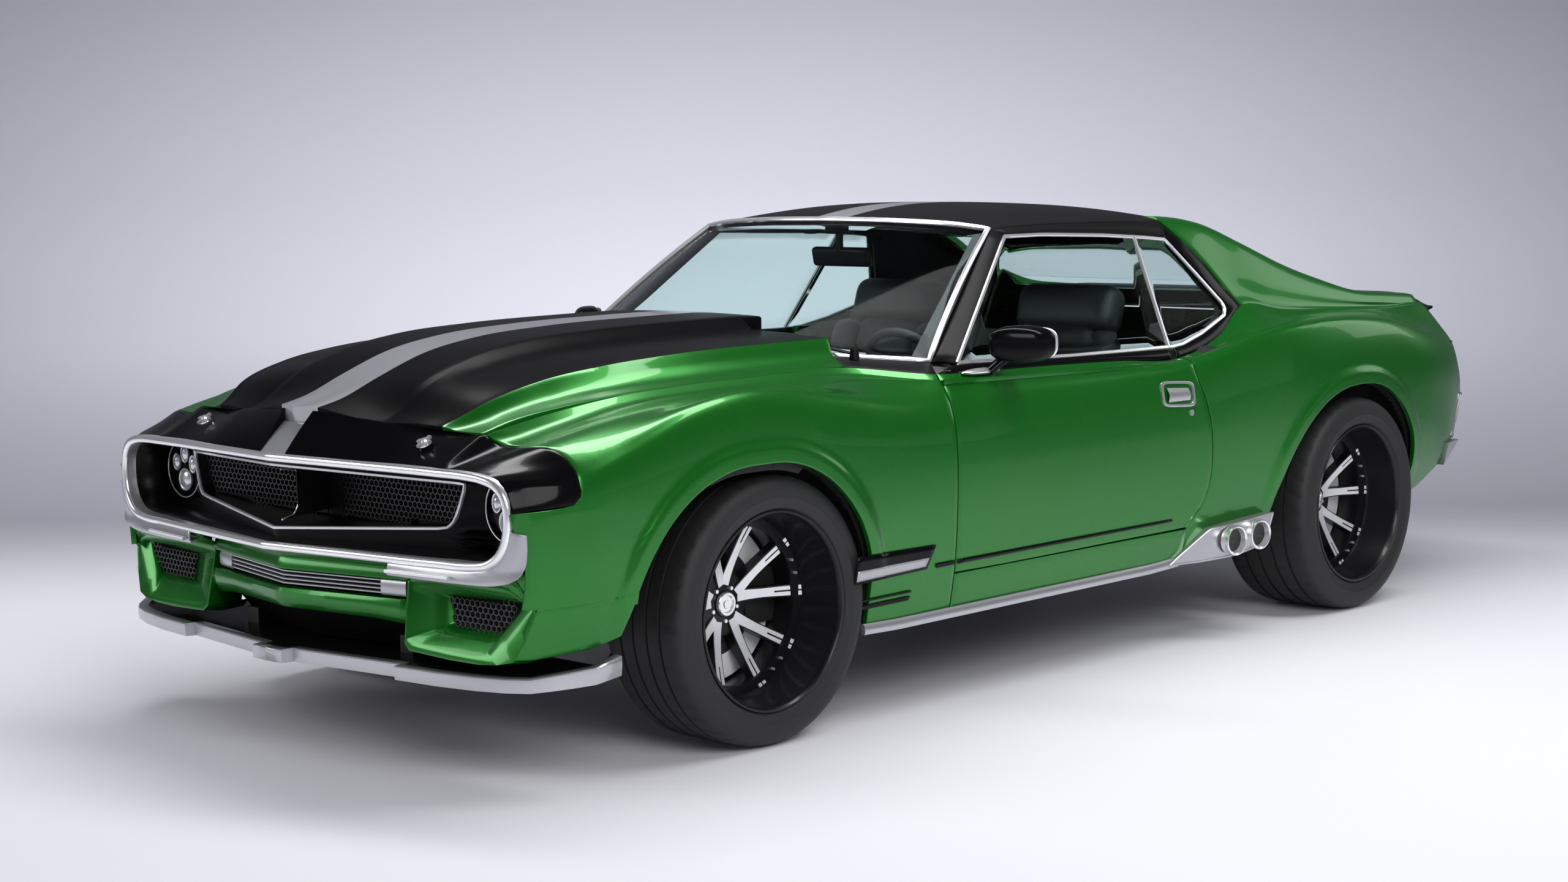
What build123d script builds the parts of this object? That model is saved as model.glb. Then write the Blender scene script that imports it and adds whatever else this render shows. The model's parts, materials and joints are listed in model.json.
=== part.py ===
from build123d import *
import math
import os
from typing import NamedTuple

# A two-door muscle car, in millimetres. The front faces -Y, the car's left side is +X and +Z is up.
# The origin is on the ground, on the centreline, half-way between the axles.

# --- Driving dimensions: running gear ---
WHEELBASE = 2794
TYRE_RADIUS = 362
RIM_LIP_RADIUS = 266
BEAD_RADIUS = 254
RIM_WALL = 12
FRONT_LIP_X = 905
REAR_LIP_X = 985
FRONT_TYRE_WIDTH = 275
REAR_TYRE_WIDTH = 315
TYRE_BULGE = 12
TYRE_SHOULDER = 30
SPOKE_PAIRS = 5
SPOKE_SPREAD_DEG = 15
SPOKE_WIDTH = 30
SPOKE_DEPTH = 26
FRONT_DISH = 150
REAR_DISH = 150
HUB_RADIUS = 62
HUB_DEPTH = 45
DISC_RADIUS = 190
DISC_THICKNESS = 32
DISC_HAT_RADIUS = 95
DISC_SETBACK = 50
RUNNING_GAP = 6
SPINDLE_RADIUS = 30

# --- Driving dimensions: body ---
PANEL_GAP = 5
SKIN = 26
DOOR_WALL = 115
QUARTER_WALL = 50
FLOOR_THICKNESS = 35
DOOR_FRONT_Y = -662
DOOR_REAR_Y = 560
DOOR_BOTTOM_Z = 374
DOOR_CORNER_RADIUS = 60
BELT_Z = 945
HOOD_FRONT_Y = -2250
HOOD_CORNER_Y = -2125
HOOD_REAR_Y = -868
HOOD_HALF_WIDTH = 685
COWL_REAR_Y = -700
DECK_FRONT_Y = 1640
DECK_REAR_Y = 2205
DECK_HALF_WIDTH = 640
GLASS = 8
GLASS_SETBACK = 6
PILLAR_WALL = 45
ROOF_SKIN = 16
NOSE_Y = -2333
RING_JOINT_Y = -2250
RING_HALF_WIDTH = 840
RING_BOTTOM_Z = 555
RING_TOP_Z = 800
RING_BAR = 26
RING_DEPTH = 62
SPLITTER_LOW_Z = 262
SPLITTER_PLATE_Z = 284
SPLITTER_TOP_Z = 300

# --- Derived places ---
FRONT_AXLE_Y = -WHEELBASE / 2
REAR_AXLE_Y = WHEELBASE / 2
AXLE_Z = TYRE_RADIUS


class Station(NamedTuple):
    """One cross-section of the lower body: half-widths and heights along its outline."""

    y: float
    sill_x: float
    sill_z: float
    waist_x: float
    waist_z: float
    crest_x: float
    crest_z: float
    seam_x: float
    seam_z: float
    centre_z: float


# y, sill x z, waist x z, crest x z, seam x z, centre z
STATIONS = [
    Station(-2370, RING_HALF_WIDTH - 80, 330, RING_HALF_WIDTH + 10, 600, RING_HALF_WIDTH + 5, 795, 600, 810, 815),
    Station(-2200, RING_HALF_WIDTH + 25, 330, RING_HALF_WIDTH + 65, 620, RING_HALF_WIDTH + 45, 805, 610, 866, 872),
    Station(-2000, RING_HALF_WIDTH + 55, 325, RING_HALF_WIDTH + 82, 620, RING_HALF_WIDTH + 65, 832, 650, 908, 918),
    Station(-1750, 905, 310, 928, 630, 905, 905, 680, 941, 950),
    Station(-1400, 905, 285, 930, 640, 905, 942, 700, 958, 972),
    Station(-1050, 898, 262, 926, 630, 898, 900, 705, 964, 985),
    Station(-660, 892, 255, 922, 620, 898, 858, 740, 958, 985),
    Station(-560, 892, 255, 924, 620, 898, 858, 830, 945, 945),
    Station(0, 892, 255, 928, 620, 905, 858, 832, 945, 945),
    Station(500, 898, 255, 940, 620, 920, 880, 832, 945, 945),
    Station(950, 915, 262, 975, 625, 948, 970, 800, 985, 985),
    Station(1400, 930, 300, 1004, 650, 965, 985, 770, 1045, 1045),
    Station(1800, 920, 330, 990, 650, 945, 935, 775, 1040, 1048),
    Station(2100, 895, 365, 955, 630, 915, 885, 775, 985, 1000),
    Station(2370, 830, 400, 890, 620, 870, 800, 740, 940, 955),
]


class Level(NamedTuple):
    """One level outline of the greenhouse, made of four arcs."""

    z: float
    front_y: float
    front_corner_x: float
    front_corner_y: float
    side_x: float
    side_y: float
    rear_corner_x: float
    rear_corner_y: float
    rear_y: float


# z, front y, front corner x y, side x y, rear corner x y, rear y
LEVELS = [
    Level(900, -1015, 773, -653, 862, 300, 800, 1930, 1800),
    Level(1100, -647, 692, -397, 745, 400, 735, 1520, 1420),
    Level(1325, -233, 600, -110, 622, 350, 600, 760, 800),
]
ROOF_Z = LEVELS[-1].z
# y and height of the roof's crown on the centreline
ROOF_CROWN = [(-300, 1342), (-178, 1355), (40, 1388), (260, 1400), (500, 1388), (850, 1338)]

# Side view of the body's two ends and its underside (y, z)
NOSE_PROFILE = [(-2372, 560), (-2350, 600), (-2336, 800), (-2200, 873)]
TAIL_PROFILE = [(2205, 985), (2372, 690), (2372, 640), (2262, 503), (2165, 443), (1978, 345)]
# Plan view of the body's corners (x, y)
NOSE_PLAN = [(0, -2375), (RING_HALF_WIDTH - 340, -2325), (RING_HALF_WIDTH - 40, -2285), (RING_HALF_WIDTH + 40, -2220),
             (RING_HALF_WIDTH + 120, -1900)]
TAIL_PLAN = [(0, 2372), (650, 2362), (830, 2330), (900, 2240), (1030, 1500)]

# Wheel arch openings: circles (y, z, radius)
FRONT_ARCH = [(-1430, 350, 410), (-1500, 330, 430)]
REAR_ARCH = [(1420, 360, 410), (1370, 330, 440)]
WHEELHOUSE_RADIUS = 472
FRONT_WHEELHOUSE_X = 425
REAR_WHEELHOUSE_X = 640
WHEELHOUSE_WALL = 12

# Side window outline (y, z), chrome edge
SIDE_WINDOW = [(-543, 950), (-80, 1300), (632, 1278), (731, 1270), (891, 1046), (867, 1018), (693, 971), (575, 950)]
DIVIDER_TOP_Y = 570
DIVIDER_BOTTOM_Y = 500
DIVIDER_GAP = 14

STEER_AXIS_X = 600
DOOR_HINGE_X = 926
HINGE_CLEARANCE = 0.3


# --- Helpers ---
def box(x0, x1, y0, y1, z0, z1):
    """A block between two corners."""
    return Pos((x0 + x1) / 2, (y0 + y1) / 2, (z0 + z1) / 2) * Box(x1 - x0, y1 - y0, z1 - z0)


def side_prism(points, x0, x1):
    """A prism along X from a side outline of (y, z) points."""
    face = make_face(Polyline(*[(x0, y, z) for y, z in points], close=True))
    return Solid.extrude(face.face(), Vector(x1 - x0, 0, 0))


def front_prism(points, y0, y1):
    """A prism along Y from a front outline of (x, z) points."""
    face = make_face(Polyline(*[(x, y0, z) for x, z in points], close=True))
    return Solid.extrude(face.face(), Vector(0, y1 - y0, 0))


def plan_prism(points, z0, z1):
    """A prism along Z from a plan outline of (x, y) points."""
    face = make_face(Polyline(*[(x, y, z0) for x, y in points], close=True))
    return Solid.extrude(face.face(), Vector(0, 0, z1 - z0))


def both_sides(points):
    """Closes a half outline, given on the +X side from the centreline, with its mirror image."""
    return points + [(-x, v) for x, v in reversed(points) if x > 0]


def mirrored(shape):
    """The same piece on the car's other side."""
    return mirror(shape, about=Plane.YZ)


def x_cylinder(radius, x0, x1, y, z):
    """A cylinder along X."""
    return Pos((x0 + x1) / 2, y, z) * Rot(0, 90, 0) * Cylinder(radius, abs(x1 - x0))


def solids_of(shape):
    """The solids of any result, largest first."""
    return sorted(shape.solids(), key=lambda s: -s.volume)


def keep(shape, count=1):
    """The largest solids of a cut, without its slivers."""
    found = solids_of(shape)[:count]
    return found[0] if count == 1 else Compound(children=found)


# --- Outer forms ---
def station_at(y):
    """The body's cross-section at any place along it."""
    for a, b in zip(STATIONS, STATIONS[1:]):
        if a.y <= y <= b.y:
            t = (y - a.y) / (b.y - a.y)
            return Station(*[p + (q - p) * t for p, q in zip(a, b)])
    raise ValueError(y)


def body_section(y, side=0.0, top=0.0, floor=None):
    """A cross-section's wire, moved in by a side wall, a top skin and a floor height."""
    s = station_at(y)
    bottom = s.sill_z if floor is None else floor
    half = [
        (s.sill_x - side, bottom),
        (s.waist_x - side, max(s.waist_z, bottom + 10)),
        (s.crest_x - side, s.crest_z - top),
        (s.seam_x - side, s.seam_z - top),
        (0, s.centre_z - top),
    ]
    points = half + [(-x, z) for x, z in reversed(half[:-1])]
    return Wire.make_polygon([(x, y, z) for x, z in points], close=True)


def body_loft(y0, y1, side=0.0, top=0.0, floor=None):
    """The body's form between two places along it."""
    places = [y0] + [s.y for s in STATIONS if y0 < s.y < y1] + [y1]
    return Solid.make_loft([body_section(y, side, top, floor) for y in places], True)


def greenhouse(inset=0.0, raise_top=0.0):
    """The cabin's upper form, moved in level by the inset."""
    wires = []
    for lv in LEVELS:
        z = lv.z + (raise_top if lv is LEVELS[-1] else 0)
        z = z - (raise_top if lv is LEVELS[0] else 0)
        fy = lv.front_y + inset
        fc = (lv.front_corner_x - inset, lv.front_corner_y + inset * 0.6)
        rc = (lv.rear_corner_x - inset, lv.rear_corner_y - inset * 0.6)
        ry = lv.rear_y - inset
        sx = lv.side_x - inset
        corners = [
            ((-fc[0], fc[1], z), (0, fy, z), (fc[0], fc[1], z)),
            ((fc[0], fc[1], z), (sx, lv.side_y, z), (rc[0], rc[1], z)),
            ((rc[0], rc[1], z), (0, ry, z), (-rc[0], rc[1], z)),
            ((-rc[0], rc[1], z), (-sx, lv.side_y, z), (-fc[0], fc[1], z)),
        ]
        wires.append(Wire([Edge.make_three_point_arc(*c) for c in corners]))
    return Solid.make_loft(wires, True)


def roof_crown(drop=0.0, inset=0.0):
    """The domed cap above the greenhouse's top level."""
    lv = LEVELS[-1]
    wires = []
    for y, crown in ROOF_CROWN:
        low = ROOF_Z - 60
        x = lv.side_x + 40
        arc = Edge.make_three_point_arc((-x, y, ROOF_Z - 14 - drop), (0, y, crown - drop), (x, y, ROOF_Z - 14 - drop))
        rest = Edge.make_line((x, y, ROOF_Z - 14 - drop), (x, y, low)), Edge.make_line((x, y, low), (-x, y, low))
        last = Edge.make_line((-x, y, low), (-x, y, ROOF_Z - 14 - drop))
        wires.append(Wire([arc, *rest, last]))
    dome = Solid.make_loft(wires, True)
    fc = (lv.front_corner_x - inset, lv.front_corner_y + inset)
    rc = (lv.rear_corner_x - inset, lv.rear_corner_y - inset)
    outline = Wire([
        Edge.make_three_point_arc((-fc[0], fc[1], ROOF_Z), (0, lv.front_y + inset, ROOF_Z), (fc[0], fc[1], ROOF_Z)),
        Edge.make_three_point_arc((fc[0], fc[1], ROOF_Z), (lv.side_x - inset, lv.side_y, ROOF_Z), (rc[0], rc[1], ROOF_Z)),
        Edge.make_three_point_arc((rc[0], rc[1], ROOF_Z), (0, lv.rear_y - inset, ROOF_Z), (-rc[0], rc[1], ROOF_Z)),
        Edge.make_three_point_arc((-rc[0], rc[1], ROOF_Z), (-lv.side_x + inset, lv.side_y, ROOF_Z), (-fc[0], fc[1], ROOF_Z)),
    ])
    plug = Solid.extrude(Face(outline), Vector(0, 0, 120))
    return dome & plug


def arch_cutter(circles, x0, x1):
    """The opening of a wheel arch: two circles, the strip between their tops, and open below."""
    (ya, za, ra), (yb, zb, rb) = circles
    cut = x_cylinder(ra, x0, x1, ya, za) + x_cylinder(rb, x0, x1, yb, zb)
    top = min(za + ra, zb + rb)
    cut = cut + box(x0, x1, min(ya, yb), max(ya, yb), 200, top)
    return cut + box(x0, x1, min(ya - ra, yb - rb), max(ya + ra, yb + rb), 0, za - 20)


def end_trim():
    """The space inside the body's side view and plan view at its two ends."""
    side = side_prism(
        NOSE_PROFILE + [(-660, 1300), (1640, 1300), (1640, 1075)] + TAIL_PROFILE + [(1500, 200), (-2372, 200)],
        -1100, 1100,
    )
    plan = plan_prism(both_sides(NOSE_PLAN + [(1100, -1500), (1100, 1500)] + list(reversed(TAIL_PLAN))), 100, 1400)
    return side & plan


def v_band(y_centre, y_edge, half_width, depth, z0, z1):
    """A bar that follows the nose's V in plan."""
    front = [(0, y_centre), (half_width, y_edge)]
    back = [(half_width, y_edge + depth), (0, y_centre + depth)]
    points = front + back + [(-half_width, y_edge + depth), (-half_width, y_edge)]
    return plan_prism(points, z0, z1)


# --- Outer body and its hollows ---
outer = body_loft(-2370, 2370) & end_trim()
hull = outer + greenhouse()
front_skin = outer - body_loft(-2190, DOOR_FRONT_Y, SKIN, SKIN, 0)
rear_house = x_cylinder(WHEELHOUSE_RADIUS + WHEELHOUSE_WALL, REAR_WHEELHOUSE_X - WHEELHOUSE_WALL, 1100, REAR_AXLE_Y, AXLE_Z)
rear_houses = rear_house + mirrored(rear_house)
REAR_FLOOR_Z = 535
FLOOR_Z = 290
KICKUP_Y = 1020
BULKHEAD_Y = 1440
cabin = body_loft(DOOR_FRONT_Y, KICKUP_Y, DOOR_WALL, SKIN, FLOOR_Z)
cabin = cabin + body_loft(KICKUP_Y, BULKHEAD_Y, DOOR_WALL, SKIN, REAR_FLOOR_Z)
boot = body_loft(BULKHEAD_Y + 40, 2180, 60, SKIN, REAR_FLOOR_Z)
upper_room = greenhouse(PILLAR_WALL, 40) - box(-1000, 1000, -1200, DOOR_FRONT_Y, 700, 972)

WINDSHIELD_FRAME = both_sides([(0, 985), (700, 975), (566, 1303), (0, 1340)])
REAR_GLASS_FRAME = both_sides([(0, 1062), (590, 1062), (505, 1290), (0, 1315)])
windshield_prism = front_prism(WINDSHIELD_FRAME, -1150, -60)
rear_glass_prism = front_prism(REAR_GLASS_FRAME, 780, 1700)
side_window_prism = side_prism(SIDE_WINDOW, 560, 1000)

# Door outline in side view (y, z): the rear edge is bowed
DOOR_OUTLINE = [
    (DOOR_FRONT_Y + PANEL_GAP, DOOR_BOTTOM_Z), (470, DOOR_BOTTOM_Z), (547, 452), (577, 548),
    (562, 702), (512, 828), (500, 905), (500, 950), (DOOR_FRONT_Y + PANEL_GAP, 950),
]
DOOR_OPENING = [
    (DOOR_FRONT_Y, DOOR_BOTTOM_Z - PANEL_GAP), (473, DOOR_BOTTOM_Z - PANEL_GAP), (552, 449), (583, 548),
    (568, 704), (518, 830), (506, 905), (506, 957), (DOOR_FRONT_Y, 957),
]
DOOR_INNER_STEP = 20
DOOR_OUTER_LAYER = 40
door_prism = side_prism(DOOR_OUTLINE, 650, 1100)
door_inner_prism = side_prism([(y - (DOOR_INNER_STEP if y > 0 else 0), z) for y, z in DOOR_OUTLINE], 650, 1100)
door_opening = side_prism(DOOR_OPENING, 690, 1100)

deck_opening = box(-DECK_HALF_WIDTH - PANEL_GAP, DECK_HALF_WIDTH + PANEL_GAP, DECK_FRONT_Y - PANEL_GAP,
                   DECK_REAR_Y + 60, 945, 1300)
DECK_HINGE_Z = 1048
DECK_BOSS_RADIUS = 50
DECK_BOSS_X = (402, 438)
DECK_BRACKET = (400, 440, 1560, 1612, 985, 1022)
LAMP_LOW_Z = 548
LAMP_HIGH_Z = 662
lamp_block = box(400, 1000, 2235, 2400, LAMP_LOW_Z, LAMP_HIGH_Z)
BUMPER_HIGH_Z = 500
PLATE_HOLE_SPACING = 178
PLATE_HOLE_RADIUS = 3.5
PLATE_Z = 665
bumper_block = box(-1000, 1000, 2120, 2400, 300, BUMPER_HIGH_Z)


def make_body_shell():
    """Unit body: cowl, firewall, floor, sills, pillars, quarters and tail panel."""
    shell = hull & box(-1100, 1100, DOOR_FRONT_Y - PANEL_GAP, 2400, 200, 1330)
    cowl = hull & box(-650, 650, HOOD_REAR_Y + PANEL_GAP, DOOR_FRONT_Y, 900, 1330)
    firewall = body_loft(COWL_REAR_Y, DOOR_FRONT_Y, SKIN + 4, SKIN + 4)
    shell = shell + cowl + firewall
    shell = shell - (cabin - rear_houses) - (boot - rear_houses) - upper_room
    shell = shell - box(-640, 640, KICKUP_Y + FLOOR_THICKNESS, 2110, 0, REAR_FLOOR_Z - FLOOR_THICKNESS)
    shell = shell - windshield_prism - rear_glass_prism
    for side in (1, -1):
        flip = (lambda s: s) if side > 0 else mirrored
        shell = shell - flip(door_opening) - flip(side_window_prism)
        well = x_cylinder(WHEELHOUSE_RADIUS, REAR_WHEELHOUSE_X, 935, REAR_AXLE_Y, AXLE_Z)
        shell = shell - flip(well) - flip(arch_cutter(REAR_ARCH, REAR_WHEELHOUSE_X, 1100))
        shell = shell - flip(lamp_block)
    shell = shell - deck_opening - bumper_block
    pockets = x_cylinder(HOOD_HINGE_RADIUS + HINGE_CLEARANCE, HOOD_BRACKET[0] - 10, HOOD_BRACKET[1] + 10, HOOD_HINGE_Y,
                         HOOD_HINGE_Z)
    pockets = pockets + door_bosses(DOOR_BOSS_RADIUS + HINGE_CLEARANCE)
    pads = box(*HOOD_BRACKET) + box(*DECK_BRACKET)
    pockets = pockets + x_cylinder(DECK_BOSS_RADIUS + HINGE_CLEARANCE, DECK_BRACKET[0] - 5, DECK_BRACKET[1] + 5, DECK_FRONT_Y,
                                   DECK_HINGE_Z)
    shell = shell + pads + mirrored(pads) - pockets - mirrored(pockets)
    for side in (1, -1):
        hole = Pos(side * PLATE_HOLE_SPACING / 2, 2372 - 10, PLATE_Z) * Rot(90, 0, 0) * Cylinder(PLATE_HOLE_RADIUS, 40)
        shell = shell - hole
    return keep(shell)


def make_roof():
    """The domed roof panel above the side rails."""
    return keep(roof_crown() - roof_crown(ROOF_SKIN, PILLAR_WALL))


# Hood plan: half outline from the nose's V to the cowl (x, y)
HOOD_PLAN = [(0, HOOD_FRONT_Y), (610, HOOD_CORNER_Y), (645, -1976), (670, -1776), (HOOD_HALF_WIDTH - 5, -1552),
             (HOOD_HALF_WIDTH, HOOD_REAR_Y)]


def hood_outline(gap, rear_y):
    """The hood's plan outline, moved out by a gap and ended at the rear."""
    half = [(x + (gap if x else 0), y - gap) for x, y in HOOD_PLAN[:-1]]
    return both_sides(half + [(HOOD_HALF_WIDTH + gap, rear_y), (0, rear_y)])


# The nose cap's end on the fender in side view (y, z), and the fender's lower seam with the valance
CAP_END = [(-2400, 706), (-2237, 708), (-2090, 752), (-2098, 808), (-2118, 835), (-2118, 1000), (-2400, 1000)]
LOWER_SEAM = [(-2400, 470), (-2180, 458), (-2000, 470), (-1890, 488), (-1890, 200), (-2400, 200)]


def make_fender():
    """Left front fender with its wheelhouse liner."""
    skin = front_skin & box(500, 1100, -2400, DOOR_FRONT_Y - PANEL_GAP, 200, 1100)
    skin = skin - plan_prism(hood_outline(PANEL_GAP, DOOR_FRONT_Y), 700, 1200)
    liner = x_cylinder(WHEELHOUSE_RADIUS + WHEELHOUSE_WALL, FRONT_WHEELHOUSE_X - WHEELHOUSE_WALL, 1000, FRONT_AXLE_Y, AXLE_Z)
    liner = liner & box(0, 1000, -2200, DOOR_FRONT_Y - 60, 600, 1100) & outer
    well = x_cylinder(WHEELHOUSE_RADIUS, FRONT_WHEELHOUSE_X, 888, FRONT_AXLE_Y, AXLE_Z)
    fender = skin + liner - well - arch_cutter(FRONT_ARCH, FRONT_WHEELHOUSE_X, 1100)
    fender = fender - side_prism(CAP_END, 500, 1100) - side_prism(LOWER_SEAM, 500, 1100)
    return keep(fender - box(500, RING_HALF_WIDTH, -2400, INSERT_EDGE_Y + INSERT_THICKNESS, 200, RING_TOP_Z))


class HoodSection(NamedTuple):
    """One cross-section of the hood: fender edge, ridge, foot and edge of the scoop, and centre."""

    y: float
    edge_z: float
    ridge_x: float
    ridge_z: float
    foot_x: float
    foot_z: float
    scoop_x: float
    scoop_z: float
    centre_z: float


# y, edge z, ridge x z, foot x z, scoop x z, centre z
HOOD_SECTIONS = [
    HoodSection(-2260, 864, 478, 866, 330, 871, 290, 873, 878),
    HoodSection(-2150, 872, 480, 886, 330, 910, 290, 912, 918),
    HoodSection(-2040, 898, 530, 943, 326, 972, 286, 977, 984),
    HoodSection(-1880, 924, 560, 990, 322, 1016, 282, 1036, 1042),
    HoodSection(-1700, 944, 585, 1013, 320, 1037, 280, 1068, 1074),
    HoodSection(-1450, 954, 605, 1031, 320, 1048, 280, 1082, 1088),
    HoodSection(-1100, 961, 615, 1039, 320, 1052, 280, 1088, 1094),
    HoodSection(HOOD_REAR_Y, 964, 620, 1040, 320, 1053, 280, 1090, 1095),
]
FLANK_SHARE_X = 0.35
FLANK_SHARE_Z = 0.75
HOOD_UNDER_Z = 800
SCOOP_REAR_Y = -785
SCOOP_UNDER_Z = 1047
HOOD_HINGE_Y = -785
HOOD_HINGE_Z = 1087
HOOD_HINGE_RADIUS = 110
HOOD_STRAP_X = (575, 605)
HOOD_BRACKET = (570, 610, -828, -785, 930, 984)


def hood_section(s):
    """A cross-section's wire, from the fender edge over the flank, ridge and scoop to the other edge."""
    edge_x = HOOD_HALF_WIDTH + 40
    flank = (s.ridge_x + (edge_x - s.ridge_x) * FLANK_SHARE_X, s.ridge_z - (s.ridge_z - s.edge_z) * FLANK_SHARE_Z)
    half = [(0, s.centre_z), (s.scoop_x, s.scoop_z), (s.foot_x, s.foot_z), (s.ridge_x, s.ridge_z), flank,
            (edge_x, s.edge_z), (edge_x, HOOD_UNDER_Z)]
    return Wire.make_polygon([(x, s.y, z) for x, z in both_sides(half)], close=True)


def make_hood():
    """Hood panel: raised middle with a ridge at each side, scoop, and a hinge strap at each rear corner."""
    form = Solid.make_loft([hood_section(s) for s in HOOD_SECTIONS], True)
    below = body_loft(-2370, HOOD_REAR_Y, SKIN, SKIN, 0)
    panel = form & plan_prism(hood_outline(0, HOOD_REAR_Y), HOOD_UNDER_Z, 1200)
    last = HOOD_SECTIONS[-1]
    tail = front_prism(both_sides([(0, last.centre_z - 3), (last.scoop_x, last.scoop_z - 3), (last.scoop_x, SCOOP_UNDER_Z),
                                   (0, SCOOP_UNDER_Z)]), HOOD_REAR_Y, SCOOP_REAR_Y)
    strap = box(*HOOD_STRAP_X, HOOD_HINGE_Y - 43, HOOD_HINGE_Y - 10, HOOD_HINGE_Z - 115, HOOD_HINGE_Z - 79)
    strap = strap & x_cylinder(HOOD_HINGE_RADIUS, *HOOD_STRAP_X, HOOD_HINGE_Y, HOOD_HINGE_Z)
    strap = strap + box(*HOOD_STRAP_X, HOOD_REAR_Y - 12, HOOD_HINGE_Y - 30, HOOD_HINGE_Z - 95, HOOD_HINGE_Z - 79)
    return keep((panel - below) + tail + strap + mirrored(strap))


def make_nose_cap():
    """The gloss panel between the hood's front edge and the grille ring, wrapped on to both fenders."""
    cap = outer & box(-RING_HALF_WIDTH, RING_HALF_WIDTH, -2400, HOOD_CORNER_Y + PANEL_GAP, RING_TOP_Z, 1000)
    wrap = front_skin & side_prism(CAP_END, RING_HALF_WIDTH - 240, 1100)
    wrap = wrap - box(0, RING_HALF_WIDTH, -2400, INSERT_EDGE_Y + INSERT_THICKNESS, 200, RING_TOP_Z)
    cap = cap + wrap + mirrored(wrap)
    return keep(cap - plan_prism(hood_outline(PANEL_GAP, DOOR_FRONT_Y), 700, 1200))


RING_CENTRE_Y = NOSE_Y - 30
# Half outline of the nose opening's ring (x as a share of its half-width, z)
RING_SHAPE = [(0, RING_TOP_Z), (0.82, RING_TOP_Z), (0.93, 791), (0.98, 764), (1.0, 710), (0.98, 631), (0.92, 574),
              (0.86, RING_BOTTOM_Z), (0, RING_BOTTOM_Z)]
RING_MID_Z = (RING_TOP_Z + RING_BOTTOM_Z) / 2
RING_Z_SHRINK = 1 - 2 * RING_BAR / (RING_TOP_Z - RING_BOTTOM_Z)


def make_grille_ring():
    """The bright ring round the nose opening, in a V in plan."""
    ring = v_band(RING_CENTRE_Y, RING_JOINT_Y - 8, RING_HALF_WIDTH, RING_DEPTH, RING_BOTTOM_Z, RING_TOP_Z)
    outside = front_prism(both_sides([(x * RING_HALF_WIDTH, z) for x, z in RING_SHAPE]), -2450, -2100)
    w = RING_HALF_WIDTH - RING_BAR
    hole = [(x * w, RING_MID_Z + (z - RING_MID_Z) * RING_Z_SHRINK) for x, z in RING_SHAPE]
    return keep((ring & outside) - front_prism(both_sides(hole), -2450, -2100))


INSERT_CENTRE_Y = RING_CENTRE_Y + RING_DEPTH
INSERT_CORNER_X = 588
INSERT_CORNER_Y = -2150
INSERT_EDGE_Y = -2125
INSERT_THICKNESS = 20
SHELF_THICKNESS = 10
FRAME_BAR = 12
FRAME_PROUD = 22
# Half outline of the inner frame (x, z)
FRAME_SHAPE = [(0, 774), (INSERT_CORNER_X, 752), (536, 638), (0, 606)]
FRAME_HOLE = [(0, 762), (570, 741), (524, 649), (0, 618)]
MESH_BARS_X = range(80, 560, 40)
MESH_BARS_Z = range(640, 760, 28)
MESH_BAR = 7


def insert_plan(x_limit, front, back):
    """Half outline of a layer of the insert, between two distances behind its front face."""
    line = [(0, INSERT_CENTRE_Y), (INSERT_CORNER_X, INSERT_CORNER_Y), (RING_HALF_WIDTH, INSERT_EDGE_Y)]
    line = [p for p in line if p[0] <= x_limit]
    return [(x, y + front) for x, y in line] + [(x, y + back) for x, y in reversed(line)]


def both_halves(shape):
    """A piece on the +X side with its mirror image."""
    return shape + mirrored(shape)


def make_grille_insert():
    """The dark nose recess: back plate, shelves above and below, inner frame and bar mesh."""
    plate = plan_prism(insert_plan(RING_HALF_WIDTH, 0, INSERT_THICKNESS), RING_BOTTOM_Z, RING_TOP_Z)
    shelf_plan = [(0, INSERT_CENTRE_Y), (RING_HALF_WIDTH, RING_JOINT_Y - 8 + RING_DEPTH), (RING_HALF_WIDTH, INSERT_EDGE_Y + 5),
                  (INSERT_CORNER_X, INSERT_CORNER_Y + 5), (0, INSERT_CENTRE_Y + 5)]
    for z in (RING_BOTTOM_Z, RING_TOP_Z - SHELF_THICKNESS):
        plate = plate + plan_prism(shelf_plan, z, z + SHELF_THICKNESS)
    layer = plan_prism(insert_plan(INSERT_CORNER_X, -FRAME_PROUD, 5), 560, 790)
    frame = layer & (front_prism(FRAME_SHAPE, -2400, -2100) - front_prism(FRAME_HOLE, -2400, -2100))
    bars = box(MESH_BARS_X[0], MESH_BARS_X[0] + MESH_BAR, -2400, -2100, 600, 790)
    for x in MESH_BARS_X[1:]:
        bars = bars + box(x, x + MESH_BAR, -2400, -2100, 600, 790)
    for z in MESH_BARS_Z:
        bars = bars + box(60, INSERT_CORNER_X, -2400, -2100, z, z + MESH_BAR)
    relief = plan_prism(insert_plan(INSERT_CORNER_X, -MESH_BAR, 5), 560, 790) & front_prism(FRAME_HOLE, -2400, -2100)
    return keep(both_halves(plate + frame + (relief & bars)))


HEADLAMP_X = 682
HEADLAMP_Z = 690
HEADLAMP_WIDTH = 140
HEADLAMP_HEIGHT = 160
HEADLAMP_PROUD = 30


def make_headlamp():
    """Left headlamp: an upright oval on the insert's face."""
    share = (HEADLAMP_X - INSERT_CORNER_X) / (RING_HALF_WIDTH - INSERT_CORNER_X)
    face_y = INSERT_CORNER_Y + share * (INSERT_EDGE_Y - INSERT_CORNER_Y)
    oval = Face(Wire.make_ellipse(HEADLAMP_HEIGHT / 2, HEADLAMP_WIDTH / 2, Plane((0, 0, 0), x_dir=(0, 0, 1), z_dir=(0, 1, 0))))
    bowl = Pos(HEADLAMP_X, face_y - HEADLAMP_PROUD, HEADLAMP_Z) * Solid.extrude(oval, Vector(0, HEADLAMP_PROUD + 10, 0))
    return keep(bowl - grille_insert)


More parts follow.
